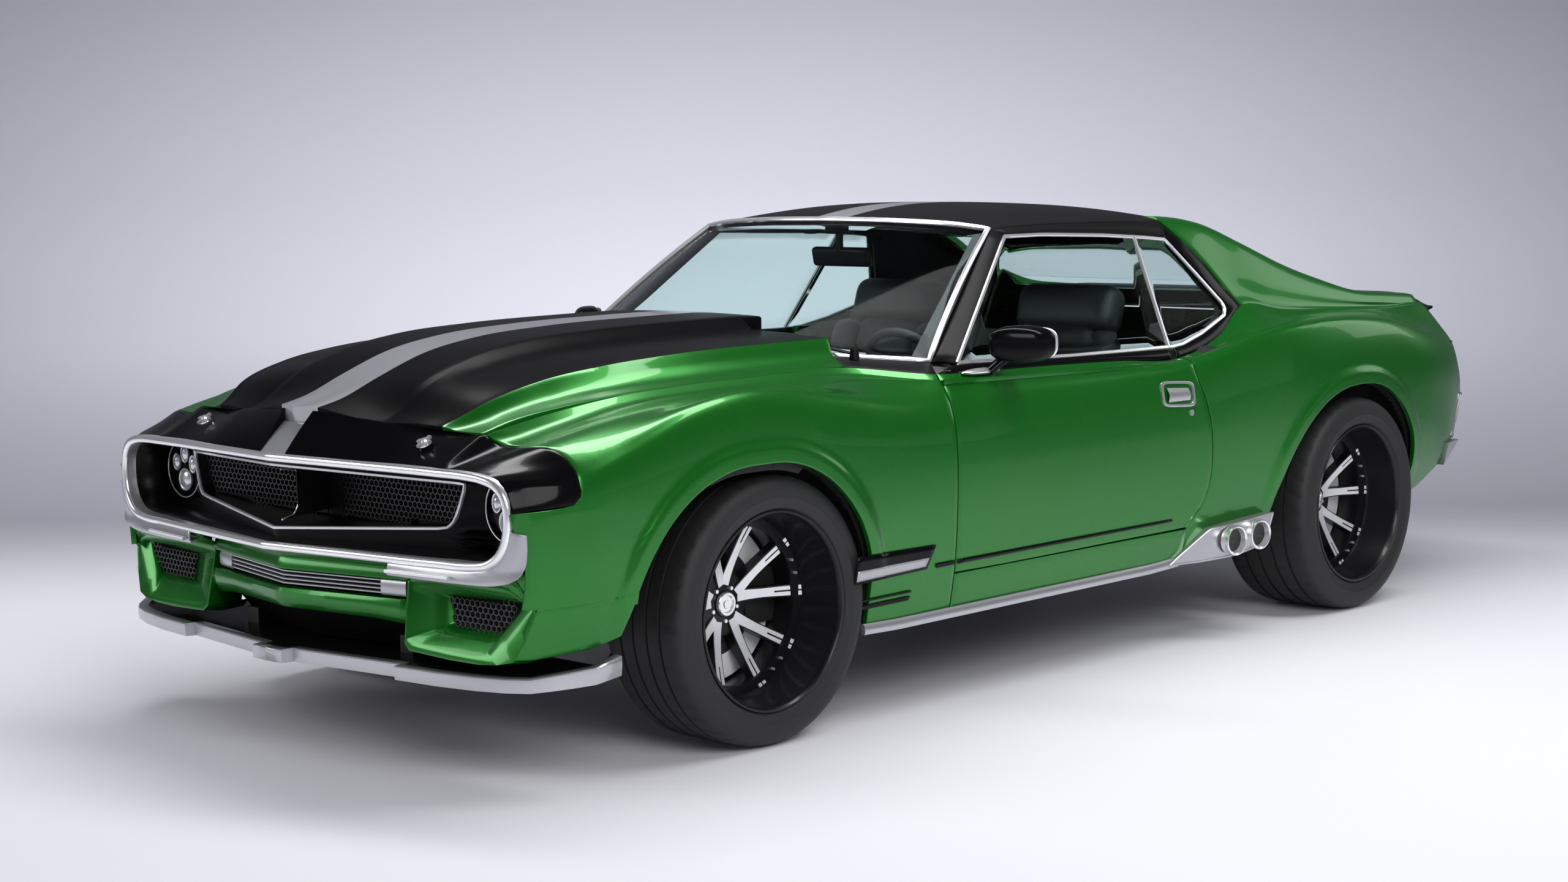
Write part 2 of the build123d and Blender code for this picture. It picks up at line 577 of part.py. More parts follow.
VALANCE_CENTRE_Y = -2300
VALANCE_EDGE_Y = -2190
VALANCE_DEPTH = 70
DUCT_FIN_X = 436
# Half outlines in front view (x, z): the valance, its duct and its centre grille
VALANCE_SHAPE = [(0, RING_BOTTOM_Z), (RING_HALF_WIDTH, RING_BOTTOM_Z), (RING_HALF_WIDTH, 372), (700, 334), (DUCT_FIN_X, 334),
                 (DUCT_FIN_X - 8, 396), (0, 402)]
DUCT = [(DUCT_FIN_X + 16, 350), (DUCT_FIN_X + 16, 484), (806, 478), (760, 398), (700, 350)]
LOWER_GRILLE = [(0, 452), (DUCT_FIN_X - 26, 450), (DUCT_FIN_X - 32, 492), (0, 498)]
DUCT_FIN = [(-2218, 483), (-2250, 336), (-2180, 336), (-2180, 500)]
GRILLE_BARS_Z = range(456, 496, 12)
DUCT_BARS_X = range(470, 800, 34)
DUCT_BARS_Z = range(376, 480, 26)


def make_front_valance():
    """The lower front panel: chin, duct fins, ducts and the corners that run back to the wheel arches."""
    band = v_band(VALANCE_CENTRE_Y, VALANCE_EDGE_Y, RING_HALF_WIDTH, VALANCE_DEPTH, SPLITTER_TOP_Z, RING_BOTTOM_Z)
    band = band & front_prism(both_sides(VALANCE_SHAPE), -2450, -2100)
    band = band - front_prism(both_sides(LOWER_GRILLE), -2450, -2100)
    corner = front_skin & side_prism([(y, z - PANEL_GAP if z > 300 else z) for y, z in LOWER_SEAM], RING_HALF_WIDTH - 90, 1100)
    corner = corner - box(0, RING_HALF_WIDTH, -2400, VALANCE_EDGE_Y, RING_BOTTOM_Z - 20, RING_BOTTOM_Z + 100)
    corner = corner - x_cylinder(WHEELHOUSE_RADIUS, FRONT_WHEELHOUSE_X, 888, FRONT_AXLE_Y, AXLE_Z)
    corner = corner - arch_cutter(FRONT_ARCH, FRONT_WHEELHOUSE_X, 1100) - lower_screen
    corner = corner + side_prism(DUCT_FIN, DUCT_FIN_X, DUCT_FIN_X + 14)
    corner = corner - front_prism(DUCT, -2450, VALANCE_EDGE_Y + VALANCE_DEPTH)
    side = band - front_prism(DUCT, -2450, -2050) - front_prism([(-x, z) for x, z in DUCT], -2450, -2050)
    return keep(side + corner + mirrored(corner))


def make_lower_grille():
    """The screen behind the valance's openings, with the bars of its centre grille and its ducts."""
    layer = v_band(VALANCE_CENTRE_Y + VALANCE_DEPTH - 12, VALANCE_EDGE_Y + VALANCE_DEPTH - 12, RING_HALF_WIDTH, 14,
                   SPLITTER_TOP_Z, RING_BOTTOM_Z)
    centre = box(-RING_HALF_WIDTH, RING_HALF_WIDTH, -2400, -2100, GRILLE_BARS_Z[0], GRILLE_BARS_Z[0] + 4)
    for z in GRILLE_BARS_Z[1:]:
        centre = centre + box(-RING_HALF_WIDTH, RING_HALF_WIDTH, -2400, -2100, z, z + 4)
    ducts = box(DUCT_BARS_X[0], DUCT_BARS_X[0] + 6, -2400, -2050, 300, 560)
    for x in DUCT_BARS_X[1:]:
        ducts = ducts + box(x, x + 6, -2400, -2050, 300, 560)
    for z in DUCT_BARS_Z:
        ducts = ducts + box(400, 900, -2400, -2050, z, z + 6)
    ducts = ducts & front_prism(DUCT, -2450, -2050) & layer
    bars = (centre & layer & front_prism(both_sides(LOWER_GRILLE), -2450, -2050)) + ducts + mirrored(ducts)
    return keep(lower_screen + bars)


def make_splitter():
    """The flat plate under the nose with its deeper front lip."""
    plan = both_sides([(0, -2372), (70, -2368), (75, -2340), (455, -2290), (460, -2310), (850, -2235), (925, -2080),
                       (940, -1970), (760, -1970), (700, -2140), (0, -2240)])
    behind = both_sides([(0, -2350), (62, -2350), (68, -2322), (446, -2272), (452, -2290), (840, -2218), (914, -2075),
                         (926, -1960), (0, -1960)])
    plate = plan_prism(plan, SPLITTER_LOW_Z, SPLITTER_TOP_Z)
    return keep(plate - plan_prism(behind, SPLITTER_LOW_Z - 10, SPLITTER_PLATE_Z))


DOOR_BOSS_RADIUS = 70
DOOR_BOSS_X = (850, 869)
DOOR_BOSS_Z = ((440, 500), (760, 820))


def door_bosses(radius):
    """The parts of the left door's hinge cylinders that reach into the firewall's edge."""
    bosses = None
    for z0, z1 in DOOR_BOSS_Z:
        round_bar = Pos(DOOR_HINGE_X, DOOR_FRONT_Y, (z0 + z1) / 2) * Cylinder(radius, z1 - z0)
        bosses = round_bar if bosses is None else bosses + round_bar
    return bosses


def make_door():
    """Left door, as thick as the whole door, open to the side window above it."""
    wall = outer - body_loft(DOOR_FRONT_Y - 20, KICKUP_Y, DOOR_WALL, -120, FLOOR_Z)
    layer = body_loft(DOOR_FRONT_Y - 20, KICKUP_Y, DOOR_OUTER_LAYER, 0, 100)
    reach = box(*DOOR_BOSS_X, COWL_REAR_Y + 5, DOOR_FRONT_Y + 15, 400, 900)
    return keep((wall & door_prism) - layer + (wall & door_inner_prism & layer) + (door_bosses(DOOR_BOSS_RADIUS) & reach))


glass_shell = greenhouse(GLASS_SETBACK) - greenhouse(GLASS_SETBACK + GLASS, 1)
DOOR_GLASS = [(-528, BELT_Z), (-82, 1292), (DIVIDER_TOP_Y - DIVIDER_GAP, 1274), (DIVIDER_BOTTOM_Y - DIVIDER_GAP, BELT_Z)]
QUARTER_GLASS_ZONE = [(DIVIDER_BOTTOM_Y, 900), (DIVIDER_TOP_Y + 4, 1320), (1100, 1320), (1100, 900)]


def make_door_glass():
    """Left door's window."""
    return keep(glass_shell & side_prism(DOOR_GLASS, 500, 1000))


def make_quarter_glass():
    """Left fixed quarter window."""
    return keep(glass_shell & side_window_prism & side_prism(QUARTER_GLASS_ZONE, 500, 1000))


def make_mirror():
    """Left door mirror on its foot."""
    head = Pos(958, -440, 1007) * Box(78, 200, 108)
    head = fillet(head.edges().filter_by(Axis.X), 30)
    foot = side_prism([(-500, 880), (-420, 880), (-440, 975), (-490, 975)], 868, 925)
    return keep((head + foot) - outer)


def make_decklid():
    """The boot lid panel with its two hinge bosses."""
    skin = outer - body_loft(BULKHEAD_Y, 2180, 60, SKIN, REAR_FLOOR_Z)
    lid = box(-DECK_HALF_WIDTH, DECK_HALF_WIDTH, DECK_FRONT_Y, DECK_REAR_Y + 60, 950, 1300)
    boss = x_cylinder(DECK_BOSS_RADIUS, *DECK_BOSS_X, DECK_FRONT_Y, DECK_HINGE_Z)
    boss = boss & box(*DECK_BOSS_X, DECK_FRONT_Y - 48, DECK_FRONT_Y, DECK_HINGE_Z - 50, DECK_HINGE_Z - 29.5)
    arm = box(*DECK_BOSS_X, DECK_FRONT_Y - 10, DECK_FRONT_Y + 60, DECK_HINGE_Z - 49, DECK_HINGE_Z - 31) - box(
        *DECK_BOSS_X, DECK_FRONT_Y - 20, DECK_FRONT_Y, 900, DECK_HINGE_Z - 51)
    foot = box(*DECK_BOSS_X, DECK_FRONT_Y + 6, DECK_FRONT_Y + 60, DECK_HINGE_Z - 49, DECK_HINGE_Z - 10)
    arms = boss + arm + foot
    panel = (skin - greenhouse()) & lid
    return keep(panel + arms + mirrored(arms))


SPOILER_PROFILE = [(1910, 960), (1930, 1022), (2120, 1040), (2250, 1034), (2318, 1008), (2312, 994), (2215, 985), (2215, 960)]
SPOILER_HALF_WIDTH = DECK_HALF_WIDTH + 160


def make_spoiler():
    """The duck-tail spoiler's middle, on the boot lid."""
    return keep(side_prism(SPOILER_PROFILE, -DECK_HALF_WIDTH, DECK_HALF_WIDTH) - outer)


def make_spoiler_end():
    """Left end of the spoiler, on the quarter."""
    return keep(side_prism(SPOILER_PROFILE, DECK_HALF_WIDTH + PANEL_GAP, SPOILER_HALF_WIDTH) - outer)


EXHAUST_BEZEL = [(339, 274), (609, 360), (885, 383), (868, 291), (750, 266), (575, 264)]


def make_side_exhaust():
    """Left side exhaust: a bezel with two oval outlets."""
    bezel = side_prism(EXHAUST_BEZEL, 860, 972)
    for y in (700, 800):
        oval = Face(Wire.make_ellipse(44, 26, Plane((930, y, 322), x_dir=(0, 1, 0), z_dir=(1, 0, 0))))
        bezel = bezel - Solid.extrude(oval, Vector(100, 0, 0))
    return keep(bezel - outer)


# --- Cabin ---
SEAT_X = 365
SEAT_WIDTH = 500


def make_seat():
    """Left front seat: base, cushion and back in one piece."""
    shape = [(-60, FLOOR_Z), (-80, 500), (-60, 540), (380, 500), (560, 1000), (575, 1120), (650, 1120), (640, 980),
             (480, 470), (430, FLOOR_Z)]
    return side_prism(shape, SEAT_X - SEAT_WIDTH / 2, SEAT_X + SEAT_WIDTH / 2)


def make_rear_bench():
    """Rear seat across the cabin."""
    shape = [(800, FLOOR_Z), (790, 560), (1130, 545), (1290, 900), (BULKHEAD_Y, 900), (BULKHEAD_Y, REAR_FLOOR_Z),
             (KICKUP_Y, REAR_FLOOR_Z), (KICKUP_Y, FLOOR_Z)]
    return side_prism(shape, -600, 600)


def make_dashboard():
    """Dashboard with the console that runs back between the seats."""
    dash = side_prism([(DOOR_FRONT_Y, 700), (-400, 700), (-360, 860), (-420, 935), (DOOR_FRONT_Y, 950)], -680, 680)
    console = side_prism([(DOOR_FRONT_Y, FLOOR_Z), (DOOR_FRONT_Y, 720), (-420, 720), (-250, 480), (380, 460), (400, FLOOR_Z)],
                         -100, 100)
    return keep(dash + console - body_shell)


def make_steering_wheel():
    """Steering wheel with its column."""
    place = Plane((SEAT_X, -215, 850), x_dir=(1, 0, 0), z_dir=(0, 1, 0.42))
    rim = place * Torus(178, 14)
    spokes = place * (Box(350, 36, 14) + Pos(0, -85, 0) * Box(36, 170, 14) + Cylinder(45, 30))
    column = place * Pos(0, 0, -110) * Cylinder(26, 200)
    return keep((rim + spokes + column) - dashboard)


def make_inside_mirror():
    """Inside mirror hung from the roof header."""
    head = Pos(0, -120, 1232) * Box(240, 24, 60)
    stem = Pos(0, -120, 1300) * Box(20, 20, 110)
    return keep((head + stem) - roof_panel)


# --- Running gear ---
ENGINE_HALF_WIDTH = 300
RAIL_X = 335
RAIL_FRONT_Y = -2168


def make_engine():
    """Engine as one plain block on the crossmember."""
    return box(-ENGINE_HALF_WIDTH, ENGINE_HALF_WIDTH, -1800, -1050, 300, 820)


ARM_EYE_RADIUS = 22
KINGPIN_RADIUS = 12
PIN_CLEARANCE = 0.05


def make_front_subframe():
    """Rails, crossmember and the arms that hold the kingpins."""
    frame = box(-RAIL_X - 60, RAIL_X + 60, FRONT_AXLE_Y - 60, FRONT_AXLE_Y + 60, 215, 300)
    for side in (1, -1):
        rail = box(side * RAIL_X - 25, side * RAIL_X + 25, RAIL_FRONT_Y, COWL_REAR_Y, 262, 340)
        frame = frame + rail
        for z in (205, 545):
            arm = box(min(side * 300, side * STEER_AXIS_X), max(side * 300, side * STEER_AXIS_X),
                      FRONT_AXLE_Y - 28, FRONT_AXLE_Y + 28, z, z + 22)
            eye = Pos(side * STEER_AXIS_X, FRONT_AXLE_Y, z + 11) * Cylinder(ARM_EYE_RADIUS, 22)
            hole = Pos(side * STEER_AXIS_X, FRONT_AXLE_Y, z + 11) * Cylinder(KINGPIN_RADIUS + PIN_CLEARANCE, 40)
            frame = frame + arm + eye - hole
        tower = box(min(side * 335, side * 375), max(side * 335, side * 375), FRONT_AXLE_Y - 50, FRONT_AXLE_Y + 50, 262, 567)
        frame = frame + tower
    return keep(frame - make_engine())


class WheelPlace(NamedTuple):
    """Where a wheel is and how wide it is."""

    name: str
    side: int
    y: float
    lip_x: float
    width: float
    dish: float


WHEELS = [
    WheelPlace("front_left", 1, FRONT_AXLE_Y, FRONT_LIP_X, FRONT_TYRE_WIDTH, FRONT_DISH),
    WheelPlace("front_right", -1, FRONT_AXLE_Y, FRONT_LIP_X, FRONT_TYRE_WIDTH, FRONT_DISH),
    WheelPlace("rear_left", 1, REAR_AXLE_Y, REAR_LIP_X, REAR_TYRE_WIDTH, REAR_DISH),
    WheelPlace("rear_right", -1, REAR_AXLE_Y, REAR_LIP_X, REAR_TYRE_WIDTH, REAR_DISH),
]


def spun(profile):
    """A solid turned about the X axis from (x, radius) points."""
    face = make_face(Polyline(*[(x, 0, r) for x, r in profile], close=True))
    return Solid.revolve(face.face(), 360, Axis.X)


def disc_outer_x(w):
    """The brake disc's outboard face."""
    return w.lip_x - w.dish - HUB_DEPTH - DISC_SETBACK


def make_tyre(w):
    """Tyre with rounded shoulders, at the origin of its axle."""
    out, mid, back = w.lip_x, w.lip_x - w.width / 2, w.lip_x - w.width
    s = TYRE_SHOULDER
    return spun([(back, BEAD_RADIUS), (back - TYRE_BULGE, 300), (back, TYRE_RADIUS - s), (back + s, TYRE_RADIUS - 4),
                 (mid, TYRE_RADIUS), (out - s, TYRE_RADIUS - 4), (out, TYRE_RADIUS - s), (out + TYRE_BULGE, 300),
                 (out, BEAD_RADIUS)])


def make_rim(w):
    """Rim barrel with ten spokes in five V pairs round a hub."""
    out, back = w.lip_x - 2, w.lip_x - w.width + 2
    barrel = spun([(back, BEAD_RADIUS - RIM_WALL), (back, BEAD_RADIUS), (out, BEAD_RADIUS), (out, BEAD_RADIUS - RIM_WALL)])
    face_x = w.lip_x - w.dish
    hub = x_cylinder(HUB_RADIUS, face_x - HUB_DEPTH, face_x, 0, 0)
    length = BEAD_RADIUS - RIM_WALL / 2
    for i in range(SPOKE_PAIRS):
        for lean in (-SPOKE_SPREAD_DEG, SPOKE_SPREAD_DEG):
            arm = Pos(face_x - SPOKE_DEPTH / 2, 0, length / 2) * Box(SPOKE_DEPTH, SPOKE_WIDTH, length)
            hub = hub + Rot(360 * i / SPOKE_PAIRS + lean, 0, 0) * arm
    return barrel + hub


def make_disc(w):
    """Brake disc with its hat and stub shaft."""
    x = disc_outer_x(w)
    disc = x_cylinder(DISC_RADIUS, x - DISC_THICKNESS, x, 0, 0)
    hat = x_cylinder(DISC_HAT_RADIUS, x, w.lip_x - w.dish - HUB_DEPTH, 0, 0)
    shaft = x_cylinder(SPINDLE_RADIUS, x - DISC_THICKNESS - 90, x, 0, 0)
    return disc + hat + shaft


def make_caliper_block(w):
    """Brake caliper round the disc's rear edge, with a slot for the disc."""
    x = disc_outer_x(w)
    block = box(x - DISC_THICKNESS - 45, x + 34, 105, 222, -75, 75)
    block = block & x_cylinder(225, 0, 1200, 0, 0)
    slot = x_cylinder(DISC_RADIUS + RUNNING_GAP, x - DISC_THICKNESS - RUNNING_GAP, x + RUNNING_GAP, 0, 0)
    return block - slot


def make_knuckle(w):
    """Front knuckle: upright with kingpin, spindle bore and caliper."""
    inner = disc_outer_x(w) - DISC_THICKNESS - RUNNING_GAP
    upright = Pos(0, 0, 0) * box(STEER_AXIS_X - 26, inner, -45, 45, -125, 160)
    bridge = box(STEER_AXIS_X - 26, inner, 0, 160, -40, 40)
    pin = Pos(STEER_AXIS_X, 0, 20) * Cylinder(KINGPIN_RADIUS, 400)
    body = upright + bridge + pin + make_caliper_block(w)
    return keep(body - x_cylinder(SPINDLE_RADIUS + PIN_CLEARANCE, 400, 900, 0, 0))


def placed(shape, w):
    """Puts a wheel piece on its side and axle."""
    shape = shape if w.side > 0 else mirrored(shape)
    return Pos(0, w.y, AXLE_Z) * shape


def make_rear_axle():
    """Rear axle housing with its calipers and leaf springs."""
    w = WHEELS[2]
    inner = disc_outer_x(w) - DISC_THICKNESS - RUNNING_GAP
    axle = x_cylinder(48, -inner, inner, 0, 0) + Sphere(125)
    for side in (1, -1):
        bracket = box(inner - 25, inner, 0, 150, -40, 40)
        unit = bracket + make_caliper_block(w)
        axle = axle + (unit if side > 0 else mirrored(unit))
        axle = axle - x_cylinder(SPINDLE_RADIUS + PIN_CLEARANCE, side * 540, side * 900, 0, 0)
        axle = axle + box(side * 480 - 30, side * 480 + 30, -335, 620, -62, -48)
        axle = axle + box(side * 480 - 30, side * 480 + 30, -60, 60, -62, 0)
        for y in (-335, 590):
            axle = axle + box(side * 480 - 30, side * 480 + 30, y, y + 30, -62, REAR_FLOOR_Z - FLOOR_THICKNESS - AXLE_Z)
    return keep(Pos(0, REAR_AXLE_Y, AXLE_Z) * axle)


def make_fuel_tank():
    """Fuel tank under the boot floor."""
    return box(-400, 400, 1790, 2090, 310, REAR_FLOOR_Z - FLOOR_THICKNESS)


# --- Nodes ---
os.makedirs("parts", exist_ok=True)
nodes = {}


def add(name, shape):
    """Keeps a piece under its node name."""
    nodes[name] = shape


def add_pair(name, shape):
    """Keeps a piece and its mirror image as two nodes."""
    add(f"{name}_left", shape)
    add(f"{name}_right", mirrored(shape))


def add_both(name, shape):
    """Keeps a piece and its mirror image as one node of two solids."""
    add(name, Compound(children=solids_of(shape) + solids_of(mirrored(shape))))


body_shell = make_body_shell()
add("body_shell", body_shell)
roof_panel = make_roof()
add("roof_panel", roof_panel)
add_pair("front_fender", make_fender())
add("hood", make_hood())
add("nose_cap", make_nose_cap())
add("grille_ring", make_grille_ring())
grille_insert = make_grille_insert()
add("grille_insert", grille_insert)
add_both("headlamps", make_headlamp())
lower_screen = v_band(VALANCE_CENTRE_Y + VALANCE_DEPTH, VALANCE_EDGE_Y + VALANCE_DEPTH, RING_HALF_WIDTH, 14,
                      SPLITTER_TOP_Z, RING_BOTTOM_Z)
add("front_valance", make_front_valance())
add("lower_grille", make_lower_grille())
add("front_splitter", make_splitter())
add_pair("door", make_door())
add_pair("door_glass", make_door_glass())
add_pair("door_mirror", make_mirror())
add("windshield", keep(glass_shell & windshield_prism))
add("rear_glass", keep(glass_shell & rear_glass_prism))
add_both("quarter_glass", make_quarter_glass())
add("decklid", make_decklid())
add("spoiler", make_spoiler())
add_both("spoiler_ends", make_spoiler_end())
add_both("tail_lamps", keep(outer & lamp_block))
add("rear_bumper", keep((outer & bumper_block) - box(-800, 800, 2000, 2180, 200, BUMPER_HIGH_Z)))
add_both("side_exhausts", make_side_exhaust())
add_both("front_seats", make_seat())
add("rear_bench", make_rear_bench())
dashboard = make_dashboard()
add("dashboard", dashboard)
add("steering_wheel", make_steering_wheel())
add("inside_mirror", make_inside_mirror())
add("engine", make_engine())
add("front_subframe", make_front_subframe())
add("rear_axle", make_rear_axle())
add("fuel_tank", make_fuel_tank())
for wheel in WHEELS:
    add(f"tyre_{wheel.name}", placed(make_tyre(wheel), wheel))
    add(f"rim_{wheel.name}", placed(make_rim(wheel), wheel))
    add(f"brake_disc_{wheel.name}", placed(make_disc(wheel), wheel))
    if wheel.y < 0:
        add(f"knuckle_{wheel.name}", placed(make_knuckle(wheel), wheel))

for name, shape in nodes.items():
    export_step(shape, f"parts/{name}.step")
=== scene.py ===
"""Looks of a two-door muscle car: painted skins, bright trim, glass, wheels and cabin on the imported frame."""

import json
import logging
import math
from dataclasses import dataclass, field
from enum import Enum
from typing import Callable, Sequence

import bmesh
import bpy
import numpy as np
from mathutils import Matrix, Vector

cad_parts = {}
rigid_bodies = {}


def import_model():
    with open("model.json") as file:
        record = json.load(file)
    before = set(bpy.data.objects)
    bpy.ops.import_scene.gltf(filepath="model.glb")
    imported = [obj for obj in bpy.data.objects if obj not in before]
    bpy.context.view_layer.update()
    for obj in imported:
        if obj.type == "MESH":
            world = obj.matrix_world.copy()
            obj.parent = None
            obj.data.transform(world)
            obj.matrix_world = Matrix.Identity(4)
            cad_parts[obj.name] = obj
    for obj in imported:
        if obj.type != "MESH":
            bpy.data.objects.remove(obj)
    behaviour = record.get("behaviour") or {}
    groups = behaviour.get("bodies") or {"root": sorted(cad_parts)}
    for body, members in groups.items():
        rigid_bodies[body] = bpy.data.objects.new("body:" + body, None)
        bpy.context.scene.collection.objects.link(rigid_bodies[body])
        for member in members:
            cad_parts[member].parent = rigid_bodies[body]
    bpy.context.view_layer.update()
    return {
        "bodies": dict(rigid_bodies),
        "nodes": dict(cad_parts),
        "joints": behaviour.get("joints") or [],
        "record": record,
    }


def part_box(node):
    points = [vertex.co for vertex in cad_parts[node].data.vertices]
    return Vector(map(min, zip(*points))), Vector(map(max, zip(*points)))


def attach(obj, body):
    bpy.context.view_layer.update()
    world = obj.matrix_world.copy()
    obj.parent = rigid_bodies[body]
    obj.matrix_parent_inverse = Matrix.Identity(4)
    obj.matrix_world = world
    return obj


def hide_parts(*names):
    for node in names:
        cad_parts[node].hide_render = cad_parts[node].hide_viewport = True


log = logging.getLogger("muscle_car")

Row = tuple[float, ...]
Color = tuple[float, float, float]
Points = np.ndarray
Paint = int | Callable[[int, int], int]
Sheet = Points | tuple[Points, Paint]


def metres(*rows: Sequence[float]) -> tuple[Row, ...]:
    """Rows of sizes given in millimetres, as metres."""
    return tuple(tuple(size / 1000 for size in row) for row in rows)


# Running gear, in metres as all single sizes are
AXLE_Z = 0.362
FRONT_AXLE_Y = -1.397
REAR_AXLE_Y = 1.397
# Walls of the painted skins, of trim and of paint on a panel, and the rounding of a skin's rim
SKIN = 0.016
THIN = 0.004
PAINT_FILM = 0.001
SEAM_ROUND = 0.0022
# Angle in degrees past which a rim is rounded
RIM_ANGLE = 50
# Distance within which vertices are one
SAME_PLACE = 1e-5
FORWARD = (0, -1, 0)


class Side(Enum):
    """A side of the car, with the sign of its x."""

    LEFT = 1
    RIGHT = -1

    @property
    def word(self) -> str:
        """The side's word in the names of pieces."""
        return self.name.lower()

    @property
    def door(self) -> str:
        """The body of this side's door."""
        return f"door_{self.word}"

    def turn(self, points: Points) -> Points:
        """Places of the left side, moved to this side."""
        return points * np.array([self.value, 1.0, 1.0])


SIDES = tuple(Side)


# ---------------------------------------------------------------------------
# Finishes
# ---------------------------------------------------------------------------


@dataclass(frozen=True)
class Finish:
    """A surface finish and the material slot it belongs to.

    Args:
        name: The material's name.
        slot: The record's slot.
        color: Base colour, linear RGB.
        metallic: Metal share.
        roughness: Middle roughness.
        coat: Clear coat weight.
        grain: Strength of fine grain in the height.
        grain_scale: Size of the grain per metre.
        transmission: Share of light let through.
        wear: Strength of broad, soft changes of roughness.
        shine: Strength of the surface's own reflection.
    """

    name: str
    slot: str
    color: tuple[float, float, float]
    metallic: float = 0.0
    roughness: float = 0.4
    coat: float = 0.0
    grain: float = 0.0
    grain_scale: float = 900.0
    transmission: float = 0.0
    wear: float = 0.04
    shine: float = 0.5


GREEN = Finish("green_paint", "green_paint", (0.008, 0.168, 0.012), metallic=0.55, roughness=0.27, coat=0.40)
BLACK_PAINT = Finish("black_paint", "black_paint", (0.004, 0.004, 0.0045), roughness=0.32, shine=0.05)
GLOSS_BLACK = Finish("gloss_black", "gloss_black", (0.003, 0.003, 0.0035), roughness=0.17, shine=0.08,
                     coat=0.10)
WALL_BLACK = Finish("wall_black", "gloss_black", (0.003, 0.003, 0.0035), roughness=0.30, shine=0.12)
ROOF_BLACK = Finish("roof_black", "roof_black", (0.006, 0.006, 0.0065), roughness=0.46, shine=0.16,
                    grain=0.2, grain_scale=600)
CHROME = Finish("bright_trim", "bright_trim", (0.93, 0.93, 0.95), metallic=0.80, roughness=0.20)
SILVER = Finish("satin_silver", "satin_silver", (0.50, 0.50, 0.53), metallic=0.75, roughness=0.32, coat=0.3)
STRIPE = Finish("stripe_silver", "satin_silver", (0.42, 0.42, 0.45), metallic=0.55, roughness=0.36, coat=0.5)
PLASTIC = Finish("black_plastic", "black_plastic", (0.006, 0.006, 0.0065), roughness=0.45, shine=0.15,
                 grain=0.15)
MESH = Finish("mesh_black", "black_plastic", (0.030, 0.030, 0.032), metallic=0.3, roughness=0.35)
LAMP = Finish("lamp_bright", "lamp_lens", (0.80, 0.82, 0.86), metallic=0.6, roughness=0.16, coat=1.0)
GLASS = Finish("tinted_glass", "tinted_glass", (0.82, 0.93, 0.915), roughness=0.02, transmission=1.0)
SIDE_GLASS = Finish("side_tinted_glass", "tinted_glass", (0.75, 0.87, 0.84), roughness=0.02, transmission=1.0)
LENS = Finish("lamp_lens", "lamp_lens", (0.95, 0.97, 1.0), roughness=0.03, transmission=1.0)
RED_LENS = Finish("red_lens", "red_lens", (0.30, 0.004, 0.004), roughness=0.12, coat=1.0)
LEATHER = Finish("seat_leather", "seat_leather", (0.018, 0.018, 0.019), roughness=0.5, grain=0.3,
                 grain_scale=350)
CABIN = Finish("cabin_plastic", "cabin_plastic", (0.016, 0.016, 0.017), roughness=0.6, grain=0.3,
               grain_scale=500)
WHEEL_BLACK = Finish("wheel_black", "wheel_black", (0.005, 0.005, 0.006), roughness=0.34, shine=0.3, coat=0.15)
MACHINED = Finish("machined_face", "wheel_black", (0.90, 0.90, 0.92), metallic=0.55, roughness=0.30)
STEEL = Finish("disc_steel", "disc_steel", (0.86, 0.86, 0.88), metallic=0.10, roughness=0.45)
DARK_STEEL = Finish("disc_dark", "disc_steel", (0.10, 0.10, 0.105), metallic=0.8, roughness=0.40)
RUBBER = Finish("tyre_rubber", "tyre_rubber", (0.012, 0.012, 0.0125), roughness=0.62, grain=0.2,
                grain_scale=300)
CHASSIS = Finish("chassis_black", "chassis_black", (0.012, 0.012, 0.012), roughness=0.5)
IRON = Finish("engine_iron", "engine_iron", (0.06, 0.06, 0.062), metallic=0.4, roughness=0.55, grain=0.4)

# Size of the broad changes of roughness per metre, depth of the grain, and the panes' and the coat's shine
WEAR_SCALE = 5.0
GRAIN_DEPTH = 0.0006
PANE_IOR = 1.06
COAT_ROUGHNESS = 0.03


def new_group(name: str, inputs: Sequence[tuple[str, str, float]],
              outputs: Sequence[tuple[str, str]]) -> bpy.types.NodeTree:
    """Starts a shader node group of numbers with named sockets.

    Args:
        name: The group's name.
        inputs: Name, socket type and default of each input.
        outputs: Name and socket type of each output.

    Returns:
        The group, with its input and output nodes as nodes "in" and "out".
    """
    tree = bpy.data.node_groups.new(name, "ShaderNodeTree")
    for label, kind, default in inputs:
        tree.interface.new_socket(name=label, in_out="INPUT", socket_type=kind).default_value = default
    for label, kind in outputs:
        tree.interface.new_socket(name=label, in_out="OUTPUT", socket_type=kind)
    tree.nodes.new("NodeGroupInput").name = "in"
    tree.nodes.new("NodeGroupOutput").name = "out"
    return tree


